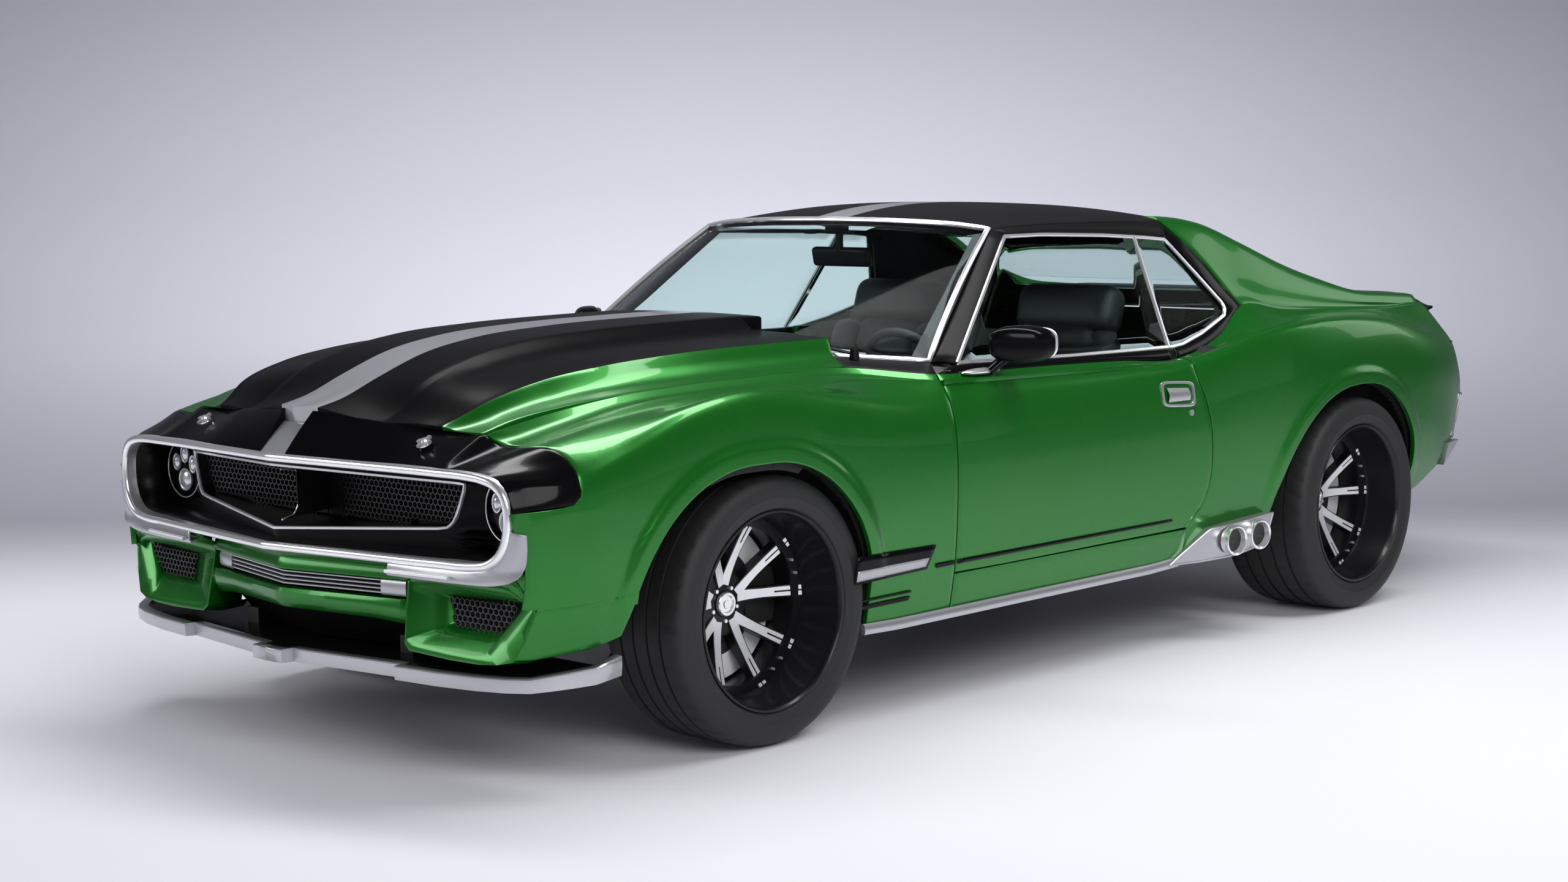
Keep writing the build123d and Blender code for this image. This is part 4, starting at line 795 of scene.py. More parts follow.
@dataclass
class SidePanels:
    """The painted panels of both body sides: fenders, doors and quarters.

    Args:
        side: The body side surface.
        shop: The materials.
        shares: Ways from a wheel arch's lip out to the seams, closer together at the lip.
    """

    side: BodySide
    shop: Workshop
    shares: Points = field(default_factory=lambda: np.linspace(0, 1, 33) ** 1.35)

    def fender_grid(self) -> Points:
        """The fender's (y, v) grid, from the arch lip out to its seams."""
        lip = arch_line(FRONT_ARCH, SILL_Z, 0.40, 159.0)[:81]
        inner = self.side.yv(polyline(lip, 84))
        door = np.stack([np.full(25, DOOR_FRONT_Y - GAP), np.linspace(0, V_SEAM, 25)], 1)
        hood = np.stack([np.linspace(DOOR_FRONT_Y - GAP, HOOD_CORNER_Y + GAP, 37), np.full(37, V_SEAM)], 1)
        cap = polyline(cap_edge(self.side, GAP), 12)
        foot = (RING_JOINT_Y, CAP_FRONT_Z - GAP)
        lower = self.side.yv(polyline([(CAP_REAR[-1][0] + GAP, CAP_REAR[-1][1] - GAP), foot], 5))
        front = self.side.yv(polyline([foot, *FENDER_NOSE], 7))
        return between(inner, legs(door, hood, cap, lower, front), self.shares)

    def corner_grid(self) -> Points:
        """The valance's corner below the fender's lower seam, as (y, v)."""
        top = polyline([(y, z - GAP) for y, z in reversed(LOWER_SEAM)], 24)
        return self.side.yv(between(top, polyline(CORNER_FOOT, 24), np.linspace(0, 1, 9)))

    def door_grid(self) -> Points:
        """The door's (y, v) grid."""
        low = float(self.side.v_at([-0.2], [DOOR_BOTTOM_Z])[0])
        v = np.concatenate([np.linspace(low, V_WAIST, 15), np.linspace(V_WAIST, V_SEAM, 25)[1:]])
        edge = self.side.yv(DOOR_REAR)
        rear = np.interp(v, np.append(edge[:, 1], V_SEAM), np.append(edge[:, 0], 0.506))
        u = np.linspace(0, 1, 61)[:, None]
        y = (DOOR_FRONT_Y + GAP) * (1 - u) + (rear[None, :] - GAP) * u
        return np.stack([y, np.broadcast_to(v[None, :], y.shape)], -1)

    def quarter_grid(self) -> Points:
        """The quarter's (y, v) grid from the arch lip out to its seams."""
        inner = self.side.yv(polyline(arch_line(REAR_ARCH, 0.335, SILL_Z)[::-1], 84))
        door_y = DOOR_REAR[0][0]
        low = np.stack([np.full(5, door_y), np.linspace(0, self.side.v_at([door_y], [DOOR_BOTTOM_Z])[0], 5)], 1)
        edge = self.side.yv([(y + GAP, z) for y, z in DOOR_REAR])
        edge = polyline(np.vstack([edge, [(DOOR_REAR[-1][0] + GAP, V_SEAM)]]), 18)
        belt = np.stack([np.linspace(DOOR_REAR[-1][0] + GAP, BELT_REAR_Y, 43), np.full(43, V_SEAM)], 1)
        tail = polyline(np.vstack([[(BELT_REAR_Y, V_SEAM)], self.side.yv(TAIL_PROFILE)]), 20)
        outer = legs(low, edge, belt, tail)
        return between(polyline(inner, len(outer) - 1), outer, self.shares)

    def rocker_grid(self) -> Points:
        """The sill below the door as (y, v)."""
        y = np.linspace(DOOR_FRONT_Y + GAP, DOOR_REAR[0][0], 41)
        top = self.side.v_at(y, np.full(41, DOOR_BOTTOM_Z - 2 * GAP))[:, None]
        return np.stack([np.broadcast_to(y[:, None], (41, 5)), top * np.linspace(0, 1, 5)], -1)

    def sail_grid(self) -> Points:
        """The sail panel behind the side window as (y, v)."""
        v = np.linspace(V_SEAM, V_SAIL_END - 0.001, 29)
        front_y, front_v = np.array(SAIL_FRONT + ((0.760, V_SAIL_END),)).T
        front = np.interp(v, front_v, front_y)
        rear = np.interp(v, (V_SEAM, 9, V_SAIL_END), (BELT_REAR_Y, 2.120, 2.100))
        t = np.linspace(0, 1, 49)[:, None]
        y = front[None, :] * (1 - t) + rear[None, :] * t
        return np.stack([y, np.broadcast_to(v[None, :], y.shape)], -1)

    def build(self) -> None:
        """Makes the skins of both sides."""
        panels = {"front_fender": [self.fender_grid()], "door": [self.door_grid()],
                  "quarter": [self.quarter_grid(), self.rocker_grid(), self.sail_grid()],
                  "valance_corner": [self.corner_grid()]}
        for name, grids in panels.items():
            for side in SIDES:
                self.shop.skin(f"{name}_skin_{side.word}", [side.turn(self.side.sheet(grid)) for grid in grids],
                               GREEN,
                               (side.value, 0, 0), SKIN, SEAM_ROUND,
                               body=side.door if name == "door" else "body",
                               stands_for=[f"{name}_{side.word}"] if name in ("front_fender", "door") else [])
            log.info("%s skins made", name)


# Rails of the hood by place along the car. Columns: y, edge x z, ridge x z, foot x z, scoop x z, centre z.
HOOD_ROWS = metres(
    (-2260, 600, 862, 470, 862, 330, 862, 290, 866, 912), (-2150, 606, 870, 482, 888, 330, 903, 290, 908, 938),
    (-2040, 630, 903, 530, 943, 328, 970, 288, 977, 982),
    (-1880, 660, 929, 560, 988, 324, 1010, 284, 1034, 1038),
    (-1700, 672, 945, 585, 1013, 322, 1034, 282, 1066, 1070),
    (-1450, 680, 954, 603, 1030, 322, 1047, 282, 1082, 1087),
    (-1100, 684, 961, 613, 1038, 322, 1052, 282, 1089, 1094),
    (-868, 685, 963, 618, 1040, 322, 1053, 282, 1090, 1095),
)
HOOD_REAR_Y = -0.868
SCOOP_REAR_Y = -0.787
STRIPE_HALF = 0.078
CHANNEL_Z = 0.876
# Steps between the hood's rails, from the centre out
HOOD_STEPS = (3, 5, 3, 3, 4, 6, 2, 4, 5)
# How sharp each of them is as a crease
HOOD_SHARP = (0.0, 0.0, 0.0, 0.6, 0.7, 0.0, 0.3, 0.8, 0.0, 0.0)


@dataclass
class Hood:
    """The hood: a raised black middle with a scoop, green flanks and a silver centre stripe."""

    shop: Workshop
    rows: int = 96
    skirt: float = 0.008
    thickness: float = 0.018
    # Distance of each rail from the centre where the front edge is drawn
    spread: Row = (0.0, 0.078, 0.26, 0.29, 0.33, 0.40, 0.465, 0.48, 0.53, 0.610)
    scoop_foot_z: float = 1.047

    def rails(self, y: Points) -> Points:
        """The rails' (x, z) at places along the car: (rails, places, 2)."""
        table = np.array(HOOD_ROWS)
        value = smooth_curve(table[:, 0], table[:, 1:], y)
        edge_x, edge_z, ridge_x, ridge_z, foot_x, foot_z, scoop_x, scoop_z, centre = value.T
        flank_x = ridge_x + (edge_x - ridge_x) * 0.35
        flank_z = ridge_z - (ridge_z - edge_z) * 0.70
        stripe = np.full_like(centre, STRIPE_HALF)
        rails = [(0 * centre, centre), (stripe, centre - 0.0005), (scoop_x - 0.030, scoop_z + 0.001),
                 (scoop_x, scoop_z - 0.004), (foot_x, foot_z),
                 ((foot_x + ridge_x) / 2, (foot_z + ridge_z) / 2 + 0.002), (ridge_x - 0.016, ridge_z + 0.001),
                 (ridge_x, ridge_z), (flank_x, flank_z), (edge_x, edge_z)]
        return np.stack([np.stack(rail, 1) for rail in rails])

    def columns(self) -> Points:
        """Rail numbers of the sheet's columns."""
        return np.concatenate([[0.0]] + [k + np.arange(1, n + 1) / n for k, n in enumerate(HOOD_STEPS)])

    def half(self) -> Points:
        """The left half of the hood's top: (columns, rows, 3)."""
        columns = self.columns()
        t = np.linspace(0, 1, self.rows + 1) ** 1.15
        sheet = np.zeros((len(columns), self.rows + 1, 3))
        sharp = np.array(HOOD_SHARP)
        for c, number in enumerate(columns):
            front = -2.250 + 0.205 * np.interp(number, range(10), self.spread)
            y = front + (HOOD_REAR_Y - front) * t
            rails = self.rails(y)
            i = min(int(number), 8)
            f = number - i
            p0, p1 = rails[i], rails[i + 1]
            before = rails[i - 1] if i else rails[1] * np.array([-1, 1])
            after = rails[min(i + 2, 9)]
            m0 = (1 - sharp[i]) * 0.5 * (p1 - before) + sharp[i] * (p1 - p0)
            m1 = (1 - sharp[i + 1]) * 0.5 * (after - p0) + sharp[i + 1] * (p1 - p0)
            xz = hermite(f, p0, m0, p1, m1)
            sheet[c, :, 0], sheet[c, :, 1], sheet[c, :, 2] = xz[:, 0], y, xz[:, 1]
        skirt = sheet[:, :1].copy()
        low = np.array([hood_front(x)[1] for x in skirt[:, 0, 0]]) - self.skirt
        low[skirt[:, 0, 0] < STRIPE_HALF + 0.002] = CHANNEL_Z - 0.006
        skirt[:, 0, 2] = np.minimum(skirt[:, 0, 2] - 0.004, low)
        skirt[:, 0, 1] += 0.003
        return np.concatenate([skirt, sheet], 1)

    def build(self) -> None:
        """Makes the hood's skin and its scoop's tail."""
        sheet = self.half()
        stripe, scoop, ridge = (int(np.argmin(np.abs(self.columns() - rail))) for rail in (1, 3, 7))

        def paint(column: int, _row: int) -> int:
            """Material of a column: stripe, black or green."""
            return 2 if column < stripe else 1 if column < ridge else 0

        tail = sheet[: scoop + 1, -1]
        drop = tail[-1] * (1, 1, 0) + (0, 0, self.scoop_foot_z)
        section = np.vstack([tail, [drop]])
        back = section.copy()
        back[:, 1] = SCOOP_REAR_Y
        back[:-1, 2] -= 0.004
        under = back.copy()
        under[:, 2] = self.scoop_foot_z
        strips = np.stack([section, (section + back) / 2, back, under], 1)
        self.shop.skin("hood_skin", both((sheet, paint), (strips, paint)),
                       (GREEN, BLACK_PAINT, STRIPE, CHASSIS),
                       (0, 0, 1), self.thickness, SEAM_ROUND, inner=3, body="hood", stands_for=["hood"],
                       sharp=50)
        log.info("hood made")


# The roof's side edge: y, x, z
ROOF_EDGE = metres(
    (-200, 588, 1322), (-110, 598, 1329), (100, 612, 1337), (400, 616, 1337), (700, 613, 1333),
    (800, 600, 1331), (960, 560, 1318),
)
# The roof's centre line: y, z
ROOF_CROWN = metres(
    (-250, 1342), (-178, 1357), (-50, 1378), (100, 1393), (260, 1398.5), (500, 1394), (770, 1374), (960, 1338),
)


@dataclass
class Roof:
    """The domed roof: black in front, painted behind the side windows."""

    shop: Workshop
    front_corner_y: float = -0.112
    front_centre_y: float = -0.185
    border_y: float = 0.765
    rear_y: float = 0.955
    thickness: float = 0.012

    def edge(self, y: Points) -> Points:
        """The roof's side edge: x and z at places along the car."""
        table = np.array(ROOF_EDGE)
        return smooth_curve(table[:, 0], table[:, 1:], y)

    def crown(self, y: Points) -> Points:
        """The roof's centreline height."""
        return smooth_curve(*np.array(ROOF_CROWN).T, y)[:, 0]

    def sheet(self, columns: int = 56, rows: int = 60) -> Points:
        """The roof's top: (columns, rows, 3)."""
        q = np.sin(np.linspace(-1, 1, columns + 1) * np.pi / 2)
        t = np.linspace(0, 1, rows + 1)
        points = np.zeros((columns + 1, rows + 1, 3))
        for c, share in enumerate(q):
            front = self.front_centre_y + (self.front_corner_y - self.front_centre_y) * share**2
            y = front + (self.rear_y - front) * t
            edge = self.edge(y)
            dome = 1 - np.abs(share) ** 3.0
            points[c] = np.column_stack([share * edge[:, 0], y,
                                         edge[:, 1] + (self.crown(y) - edge[:, 1]) * dome])
        return points

    def build(self) -> None:
        """Makes the roof skin with its stripe."""
        sheet = self.sheet()

        def paint(column: int, row: int) -> int:
            """Material by place: green behind the border, silver in the stripe, else black."""
            if sheet[column, row, 1] > self.border_y:
                return 1
            return 2 if abs((sheet[column, row, 0] + sheet[column + 1, row, 0]) / 2) < STRIPE_HALF else 0

        self.shop.skin("roof_skin", [(sheet, paint)], (ROOF_BLACK, GREEN, STRIPE), (0, 0, 1), self.thickness,
                       stands_for=["roof_panel"])
        log.info("roof made")


# ---------------------------------------------------------------------------
# Nose
# ---------------------------------------------------------------------------

# Half outline of the nose ring's outer edge (x, z), from the centre's top round to the centre's bottom
RING_OUTLINE = metres(
    (0, 802), (300, 801), (600, 799), (700, 797), (752, 792), (795, 779), (822, 756), (836, 722), (839, 690),
    (835, 650), (822, 614), (798, 584), (762, 564), (715, 557), (600, 555), (300, 554.5), (0, 554.5),
)
RING_HALF = 0.839
RING_FACE = 0.021
RING_MIDDLE = (0.0, 0.68)
# Half outline of the bright inner frame (x, z), from the centre's top round to the centre's bottom
FRAME_OUTLINE = metres(
    (0, 772), (200, 765), (400, 758), (560, 753), (586, 751), (582, 733), (571, 700), (559, 670), (548, 650),
    (532, 639), (505, 635), (400, 629), (200, 618), (0, 607),
)
FRAME_MIDDLE = (0.0, 0.69)
FRAME_TIP_Y = -2.322
FRAME_END_X = 0.59
FRAME_SLOPE = 0.267
WALL_Y = -2.114
MESH_Y = -2.15
MESH_BACK_Y = -2.136
# A honeycomb cell across and a row of cells
CELL_WIDTH = 0.0185
CELL_HEIGHT = 0.0142


def ring_y(x: Points, z: Points) -> Points:
    """Plan of the nose ring: a V that leans forward at its foot."""
    centre = np.interp(z, (0.553, 0.803), (-2.366, -2.342))
    return centre + (-2.250 - centre) * np.abs(x) / RING_HALF


def insert_y(x: Points) -> Points:
    """Plan of the grille's frame and of the black panel round it."""
    x = np.abs(x)
    end = FRAME_TIP_Y + FRAME_SLOPE * FRAME_END_X
    return np.where(x < FRAME_END_X, FRAME_TIP_Y + FRAME_SLOPE * x,
                    np.interp(x, (FRAME_END_X, 0.622), (end, WALL_Y)))


def inset(line: Points, by: float, centre: Sequence[float]) -> Points:
    """Moves a flat outline inwards.

    Args:
        line: (x, z) places in order.
        by: Distance.
        centre: A place inside the outline.

    Returns:
        The moved outline, with its ends still on the centreline.
    """
    along = np.gradient(line, axis=0)
    along[0], along[-1] = (1, 0), (-1, 0)
    along /= np.linalg.norm(along, axis=1, keepdims=True)
    normal = np.stack([-along[:, 1], along[:, 0]], 1)
    inward = np.sign(np.sum(normal * (np.asarray(centre) - line), axis=1, keepdims=True))
    moved = line + normal * inward * by
    moved[[0, -1], 0] = 0.0
    return moved


def honeycomb(bm: bmesh.types.BMesh, inside: Callable[[float, float], bool], place: Callable[[Points], Points],
              span: Sequence[float], depth: float = 0.012) -> None:
    """Adds an openwork of six-sided cells.

    Args:
        bm: The mesh to add to.
        inside: Tells whether a cell with this middle belongs to the panel.
        place: Maps flat (across, up, depth) rows to places.
        span: Lowest and highest place across, then up.
        depth: Depth of the cell walls.
    """
    angles = np.radians(np.arange(30, 390, 60))
    outer = np.stack([np.cos(angles) * CELL_WIDTH / math.sqrt(3), np.sin(angles) * CELL_HEIGHT / 1.5], 1)
    low_a, high_a, low_b, high_b = span
    for row in range(int((high_b - low_b) / CELL_HEIGHT) + 2):
        for col in range(int((high_a - low_a) / CELL_WIDTH) + 2):
            a = low_a + CELL_WIDTH * (col + 0.5 * (row % 2))
            b = low_b + CELL_HEIGHT * row
            if not inside(a, b):
                continue
            loops = []
            for scale, back in ((1.0, 0.0), (0.80, 0.0), (0.76, depth)):
                flat = np.column_stack([a + outer[:, 0] * scale, b + outer[:, 1] * scale, np.full(6, back)])
                loops.append([bm.verts.new(p) for p in place(flat)])
            for front, rear in zip(loops, loops[1:]):
                for k in range(6):
                    n = (k + 1) % 6
                    bm.faces.new((front[k], front[n], rear[n], rear[k]))
    merge(bm, 2e-4)


def hood_front(x: float) -> tuple[float, float]:
    """Place (y, z) of the hood's front edge on the nose cap at a distance from the centre."""
    xs = (0.0, 0.30, 0.48, 0.56, 0.615)
    return (float(np.interp(x, xs, (-2.250, -2.187, -2.150, -2.135, -2.124))),
            float(np.interp(x, xs, (0.914, 0.890, 0.884, 0.880, 0.873))))


@dataclass
class NoseCap:
    """The gloss black panel between the hood and the nose ring, with its ends on the fenders."""

    side: BodySide
    shop: Workshop
    stripe_front: float = 0.052
    stripe_rear: float = 0.062
    top_half: float = 0.612
    thickness: float = 0.012
    pin: tuple[float, float, float] = (0.478, -2.207, 0.853)
    pin_tilt: float = 30.0

    def rows(self) -> Points:
        """Shares of the way from the ring to the cap's rear edge."""
        return np.concatenate([[0.0], np.linspace(0.06, 1, 17)])

    def settle(self, ring: Points, line: Points) -> Points:
        """Bends surface lines so that they start on the ring.

        Args:
            ring: Their places on the ring, (lines, 3).
            line: The lines on the body side, (lines, rows, 3).

        Returns:
            The bent lines.
        """
        fade = 1 - smoothstep(0.0, 0.75, self.rows())
        return line + (ring - line[:, 0])[:, None, :] * fade[None, :, None]

    def ring_places(self, line: Points) -> Points:
        """Places just inside the ring's edge for (x, z) rows."""
        return np.column_stack([line[:, 0], ring_y(line[:, 0], line[:, 1]) + 0.010, line[:, 1] - 0.003])

    def end(self) -> Points:
        """The left end on the fender: (rows, columns, 3)."""
        low = self.side.yv([(RING_JOINT_Y, CAP_FRONT_Z)])
        edge = polyline([(self.top_half, 0.7985), *RING_OUTLINE[3:8], (0.8395, 0.708)], 24)
        v = np.linspace(V_SEAM, low[0, 1], 97)
        section = self.side.raw(np.full(97, NOSE_Y), v)
        run = np.concatenate([[0.0], np.cumsum(np.linalg.norm(np.diff(section, axis=0), axis=1))])
        front = np.stack([np.full(25, NOSE_Y), np.interp(np.linspace(0, run[-1], 25), run, v)], 1)
        surface = self.side.sheet(between(front, cap_edge(self.side), self.rows()))
        ring = self.ring_places(edge)
        straight = between(ring, surface[:, -1], self.rows())
        over = smoothstep(V_CREST, V_CREST + 1.6, front[:, 1])[:, None, None]
        return self.settle(ring, surface) * (1 - over) + straight * over

    def top(self) -> Points:
        """The left half of the top: (columns, rows, 3)."""
        shares = np.concatenate([[-1.0, 0.0, 1.0], 1 + np.arange(1, 25) / 4])
        seam = self.end()[0]
        t = self.rows()
        sheet = np.zeros((len(shares), len(t), 3))
        for c, share in enumerate(shares):
            u = max(share - 1, 0) / 6
            xf = 0.0 if share < 0 else self.stripe_front + (self.top_half - self.stripe_front) * u
            xr = 0.0 if share < 0 else self.stripe_rear + (self.top_half + 0.002 - self.stripe_rear) * u
            zf = float(np.interp(xf, *np.array(RING_OUTLINE[:5]).T)) - 0.003
            front = np.array([xf, float(ring_y(xf, zf)) + 0.010, zf])
            rear = np.array([xr, *hood_front(xr)])
            rear[2] = CHANNEL_Z if share < 1 else rear[2]
            line = front + (rear - front) * t[:, None]
            line[:, 2] += 0.003 * np.sin(np.pi * t)
            blend = float(smoothstep(0.45, 1.0, np.array(u)))
            sheet[c] = line
            sheet[c, :, 1:] = line[:, 1:] * (1 - blend) + seam[:, 1:] * blend
            sheet[c, :, 0] = line[:, 0] * (1 - blend) + (seam[:, 0] + (xf - self.top_half)) * blend
        sheet[-1] = seam
        return sheet

    def build(self) -> None:
        """Makes the cap and its pins."""
        def paint(column: int, _row: int) -> int:
            """Material of a column: the stripe beside the centre line, else black."""
            return int(column == 0)

        self.shop.skin("nose_cap_skin", both((self.top(), paint), self.end()), (GLOSS_BLACK, STRIPE), (0, 0, 1),
                       self.thickness, SEAM_ROUND, stands_for=["nose_cap"], sharp=50)
        self.pins()
        log.info("nose cap made")

    def pins(self) -> None:
        """Makes the two bright cross-shaped hood pins."""
        bm = bmesh.new()
        for side in SIDES:
            place = Matrix.Translation(side.turn(self.pin)) @ Matrix.Rotation(math.radians(self.pin_tilt), 4,
                                                                              "X")
            for size in ((0.046, 0.011, 0.007), (0.011, 0.046, 0.007)):
                bmesh.ops.create_cube(bm, size=1, matrix=place @ Matrix.Diagonal((*size, 1)))
            add_cone(bm, 16, 0.008, 0.007, 0.016, place)
            add_cone(bm, 20, 0.017, 0.016, 0.003, place @ Matrix.Translation((0, 0, -0.006)))
        self.shop.piece("hood_pins", bm, CHROME)


@dataclass
class NoseOpening:
    """The bright ring, the black walls behind it and the grille with its bright frame."""

    shop: Workshop
    steps: int = 96
    # Section of the ring: how far inwards and back
    ring_section: tuple[Row, ...] = (
        (0.000, 0.045), (-0.001, 0.008), (0.002, 0.002), (0.007, 0.0), (RING_FACE - 0.006, 0.0),
        (RING_FACE - 0.001, 0.003), (RING_FACE, 0.010), (RING_FACE, 0.045))
    # Side view (y, z) of the fin in the grille's middle
    fin: tuple[Row, ...] = ((-2.298, 0.757), (-2.252, 0.752), (-2.250, 0.652), (-2.262, 0.636), (-2.298, 0.625),
                            (-2.140, 0.64), (-2.140, 0.745))
    fin_edge: tuple[Row, ...] = ((0, -2.300, 0.757), (0, -2.252, 0.752), (0, -2.248, 0.70), (0, -2.250, 0.652),
                                 (0, -2.262, 0.636), (0, -2.300, 0.625))

    def outline(self) -> Points:
        """The ring's outer edge as (x, z)."""
        return polyline(RING_OUTLINE, self.steps, smooth=True)

    def loop(self, by: float, back: float) -> Points:
        """The ring's edge moved inwards and back."""
        edge = self.outline()
        line = inset(edge, by, RING_MIDDLE)
        return np.stack([line[:, 0], ring_y(edge[:, 0], edge[:, 1]) + back, line[:, 1]], 1)

    def wall_edge(self) -> Points:
        """Where the black walls meet the panel at the back."""
        line = inset(self.outline(), RING_FACE + 0.008, RING_MIDDLE)
        y = np.maximum(insert_y(line[:, 0]), ring_y(line[:, 0], line[:, 1]) + 0.016)
        return np.stack([line[:, 0], y, line[:, 1]], 1)

    def frame(self, by: float = 0.0, back: float = 0.0) -> Points:
        """The inner frame's line, moved inwards and back."""
        line = inset(polyline(FRAME_OUTLINE, self.steps), by, FRAME_MIDDLE)
        return np.stack([line[:, 0], insert_y(line[:, 0]) + back, line[:, 1]], 1)

    def ring(self) -> None:
        """Makes the bright ring."""
        rails = [self.loop(by, back) for by, back in self.ring_section]
        rails[0][:, 0] = np.minimum(rails[0][:, 0], RING_HALF)
        bm = bmesh.new()
        for sheet, _paint in both(np.stack(rails + rails[:1], 1)):
            add_patch(bm, sheet)
        merge(bm)
        self.shop.piece("nose_ring", bm, CHROME, ["grille_ring"], sharp=60)

    def walls(self) -> None:
        """Makes the gloss black walls and the panels behind the mesh."""
        edge, frame = self.wall_edge(), self.frame()
        mesh = self.frame(0.004, 0.0)
        mesh[:, 0] *= 0.965
        mesh[:, 1] = MESH_BACK_Y
        mesh[:, 2] = np.where(mesh[:, 2] > 0.7, np.minimum(mesh[:, 2], 0.750), np.maximum(mesh[:, 2], 0.622))
        middle = mesh * np.array([0.0, 1.0, 0.0]) + np.array([0.0, 0.0, FRAME_MIDDLE[1]])
        steps = [edge + (frame - edge) * share for share in (0.2, 0.4, 0.6, 0.8, 0.92, 0.97)]
        for row in steps:
            row[:, 1] = insert_y(row[:, 0])
        sheet = np.stack([self.loop(RING_FACE - 0.002, 0.012), edge, *steps, frame, mesh, middle], 1)
        self.shop.skin("nose_walls", both(sheet), WALL_BLACK, FORWARD, stands_for=["grille_insert"], sharp=35)

    def trim(self) -> None:
        """Makes the bright frame round the grille and the fin in its middle."""
        line = self.frame(0.0, -0.002)
        bm = bmesh.new()
        tube(bm, np.vstack([line, mirrored(line)[-2:0:-1]]), 0.009, 0.009, FORWARD, closed=True)
        tube(bm, polyline(self.fin_edge, 30, smooth=True), 0.005, 0.004, (1, 0, 0))
        self.shop.piece("grille_frame", bm, CHROME)
        bm = bmesh.new()
        face = bm.faces.new([bm.verts.new((-0.002, y, z)) for y, z in self.fin])
        extra = bmesh.ops.extrude_face_region(bm, geom=[face])["geom"]
        bmesh.ops.translate(bm, vec=(0.004, 0, 0),
                            verts=[v for v in extra if isinstance(v, bmesh.types.BMVert)])
        for side in SIDES[::-1]:
            place = Matrix.Translation((side.value * 0.034, -2.146, FRAME_MIDDLE[1]))
            bmesh.ops.create_cube(bm, size=1, matrix=place @ Matrix.Diagonal((0.062, 0.012, 0.128, 1)))
        self.shop.piece("grille_fin", bm, PLASTIC)

    def mesh(self) -> None:
        """Makes the honeycomb on both sides of the fin."""
        def inside(x: float, z: float) -> bool:
            """True within the grille's opening."""
            top = 0.752 - 0.012 * (x - 0.066) / 0.5
            low = 0.621 + 0.028 * (x - 0.066) / 0.5
            edge = 0.562 + (z - 0.745) * 0.42
            return 0.064 < x < edge and low < z < top

        for side in SIDES:
            bm = bmesh.new()
            honeycomb(bm, inside, lambda p,
                      side=side: side.turn(np.column_stack([p[:, 0], MESH_Y + p[:, 2], p[:, 1]])),
                      (0.066, 0.560, 0.622, 0.756))
            self.shop.piece(f"grille_mesh_{side.word}", bm, MESH)

    def build(self) -> None:
        """Makes the whole opening."""
        self.ring()
        self.walls()
        self.trim()
        self.mesh()
        log.info("nose opening made")


@dataclass
class Headlamps:
    """Two oval headlamps, each with four bright elements in a black bowl."""

    shop: Workshop
    x: float = 0.699
    y: float = WALL_Y - 0.004
    z: float = 0.690
    width: float = 0.158
    height: float = 0.162
    # Elements: across, up, width, height
    elements: tuple[Row, ...] = ((0.0, 0.044, 0.034, 0.052), (-0.040, 0.016, 0.032, 0.048),
                                 (0.040, 0.018, 0.032, 0.048), (0.0, -0.030, 0.060, 0.062))
    # Bowl's section: how much smaller than the lamp, and how far behind its plane
    bowl: tuple[Row, ...] = ((0.0, 0.004), (0.0, -0.012), (0.008, -0.014), (0.014, -0.004))
    # Lens's dome: share of the element's size, and how far it stands out
    dome: tuple[Row, ...] = ((1.0, 0.0), (0.86, 0.006), (0.55, 0.010), (0.2, 0.012))

    def oval(self, side: Side, size: Sequence[float], y: float, shift: Sequence[float] = (0.0, 0.0),
             count: int = 40) -> Points:
        """An oval loop in a plane across the car.

        Args:
            side: The lamp's side.
            size: Its width and height.
            y: Its plane.
            shift: Distance across and up from the lamp's middle.
            count: Its places.

        Returns:
            One row per place.
        """
        a = np.linspace(0, 2 * np.pi, count, endpoint=False)
        x = shift[0] + np.cos(a) * size[0] / 2 + self.x
        return side.turn(np.stack([x, np.full(count, y), self.z + shift[1] + np.sin(a) * size[1] / 2], 1))

    def build(self) -> None:
        """Makes both lamps."""
        for side in SIDES:
            bowl, bright, lens = bmesh.new(), bmesh.new(), bmesh.new()
            loops = [self.oval(side, (self.width - less, self.height - less), self.y + back) for less,
                     back in self.bowl]
            ring_faces(bowl, [[bowl.verts.new(p) for p in loop] for loop in loops])
            rim = self.oval(side, (self.width - 0.002, self.height - 0.002), self.y - 0.014)
            tube(bright, rim, 0.004, 0.004, FORWARD, closed=True)
            for across_, up, width, height in self.elements:
                ring = self.oval(side, (width, height), self.y - 0.010, (across_, up), 28)
                tube(bright, ring, 0.0035, 0.006, FORWARD, closed=True)
                loops = [self.oval(side, (width * share, height * share), self.y - 0.006 - out, (across_, up),
                                   28)
                         for share, out in self.dome]
                ring_faces(lens, [[lens.verts.new(p) for p in loop] for loop in loops])
            self.shop.piece(f"headlamp_bowl_{side.word}", bowl, GLOSS_BLACK, ["headlamps"])
            self.shop.piece(f"headlamp_trim_{side.word}", bright, CHROME)
            self.shop.piece(f"headlamp_lens_{side.word}", lens, LAMP)
        log.info("headlamps made")


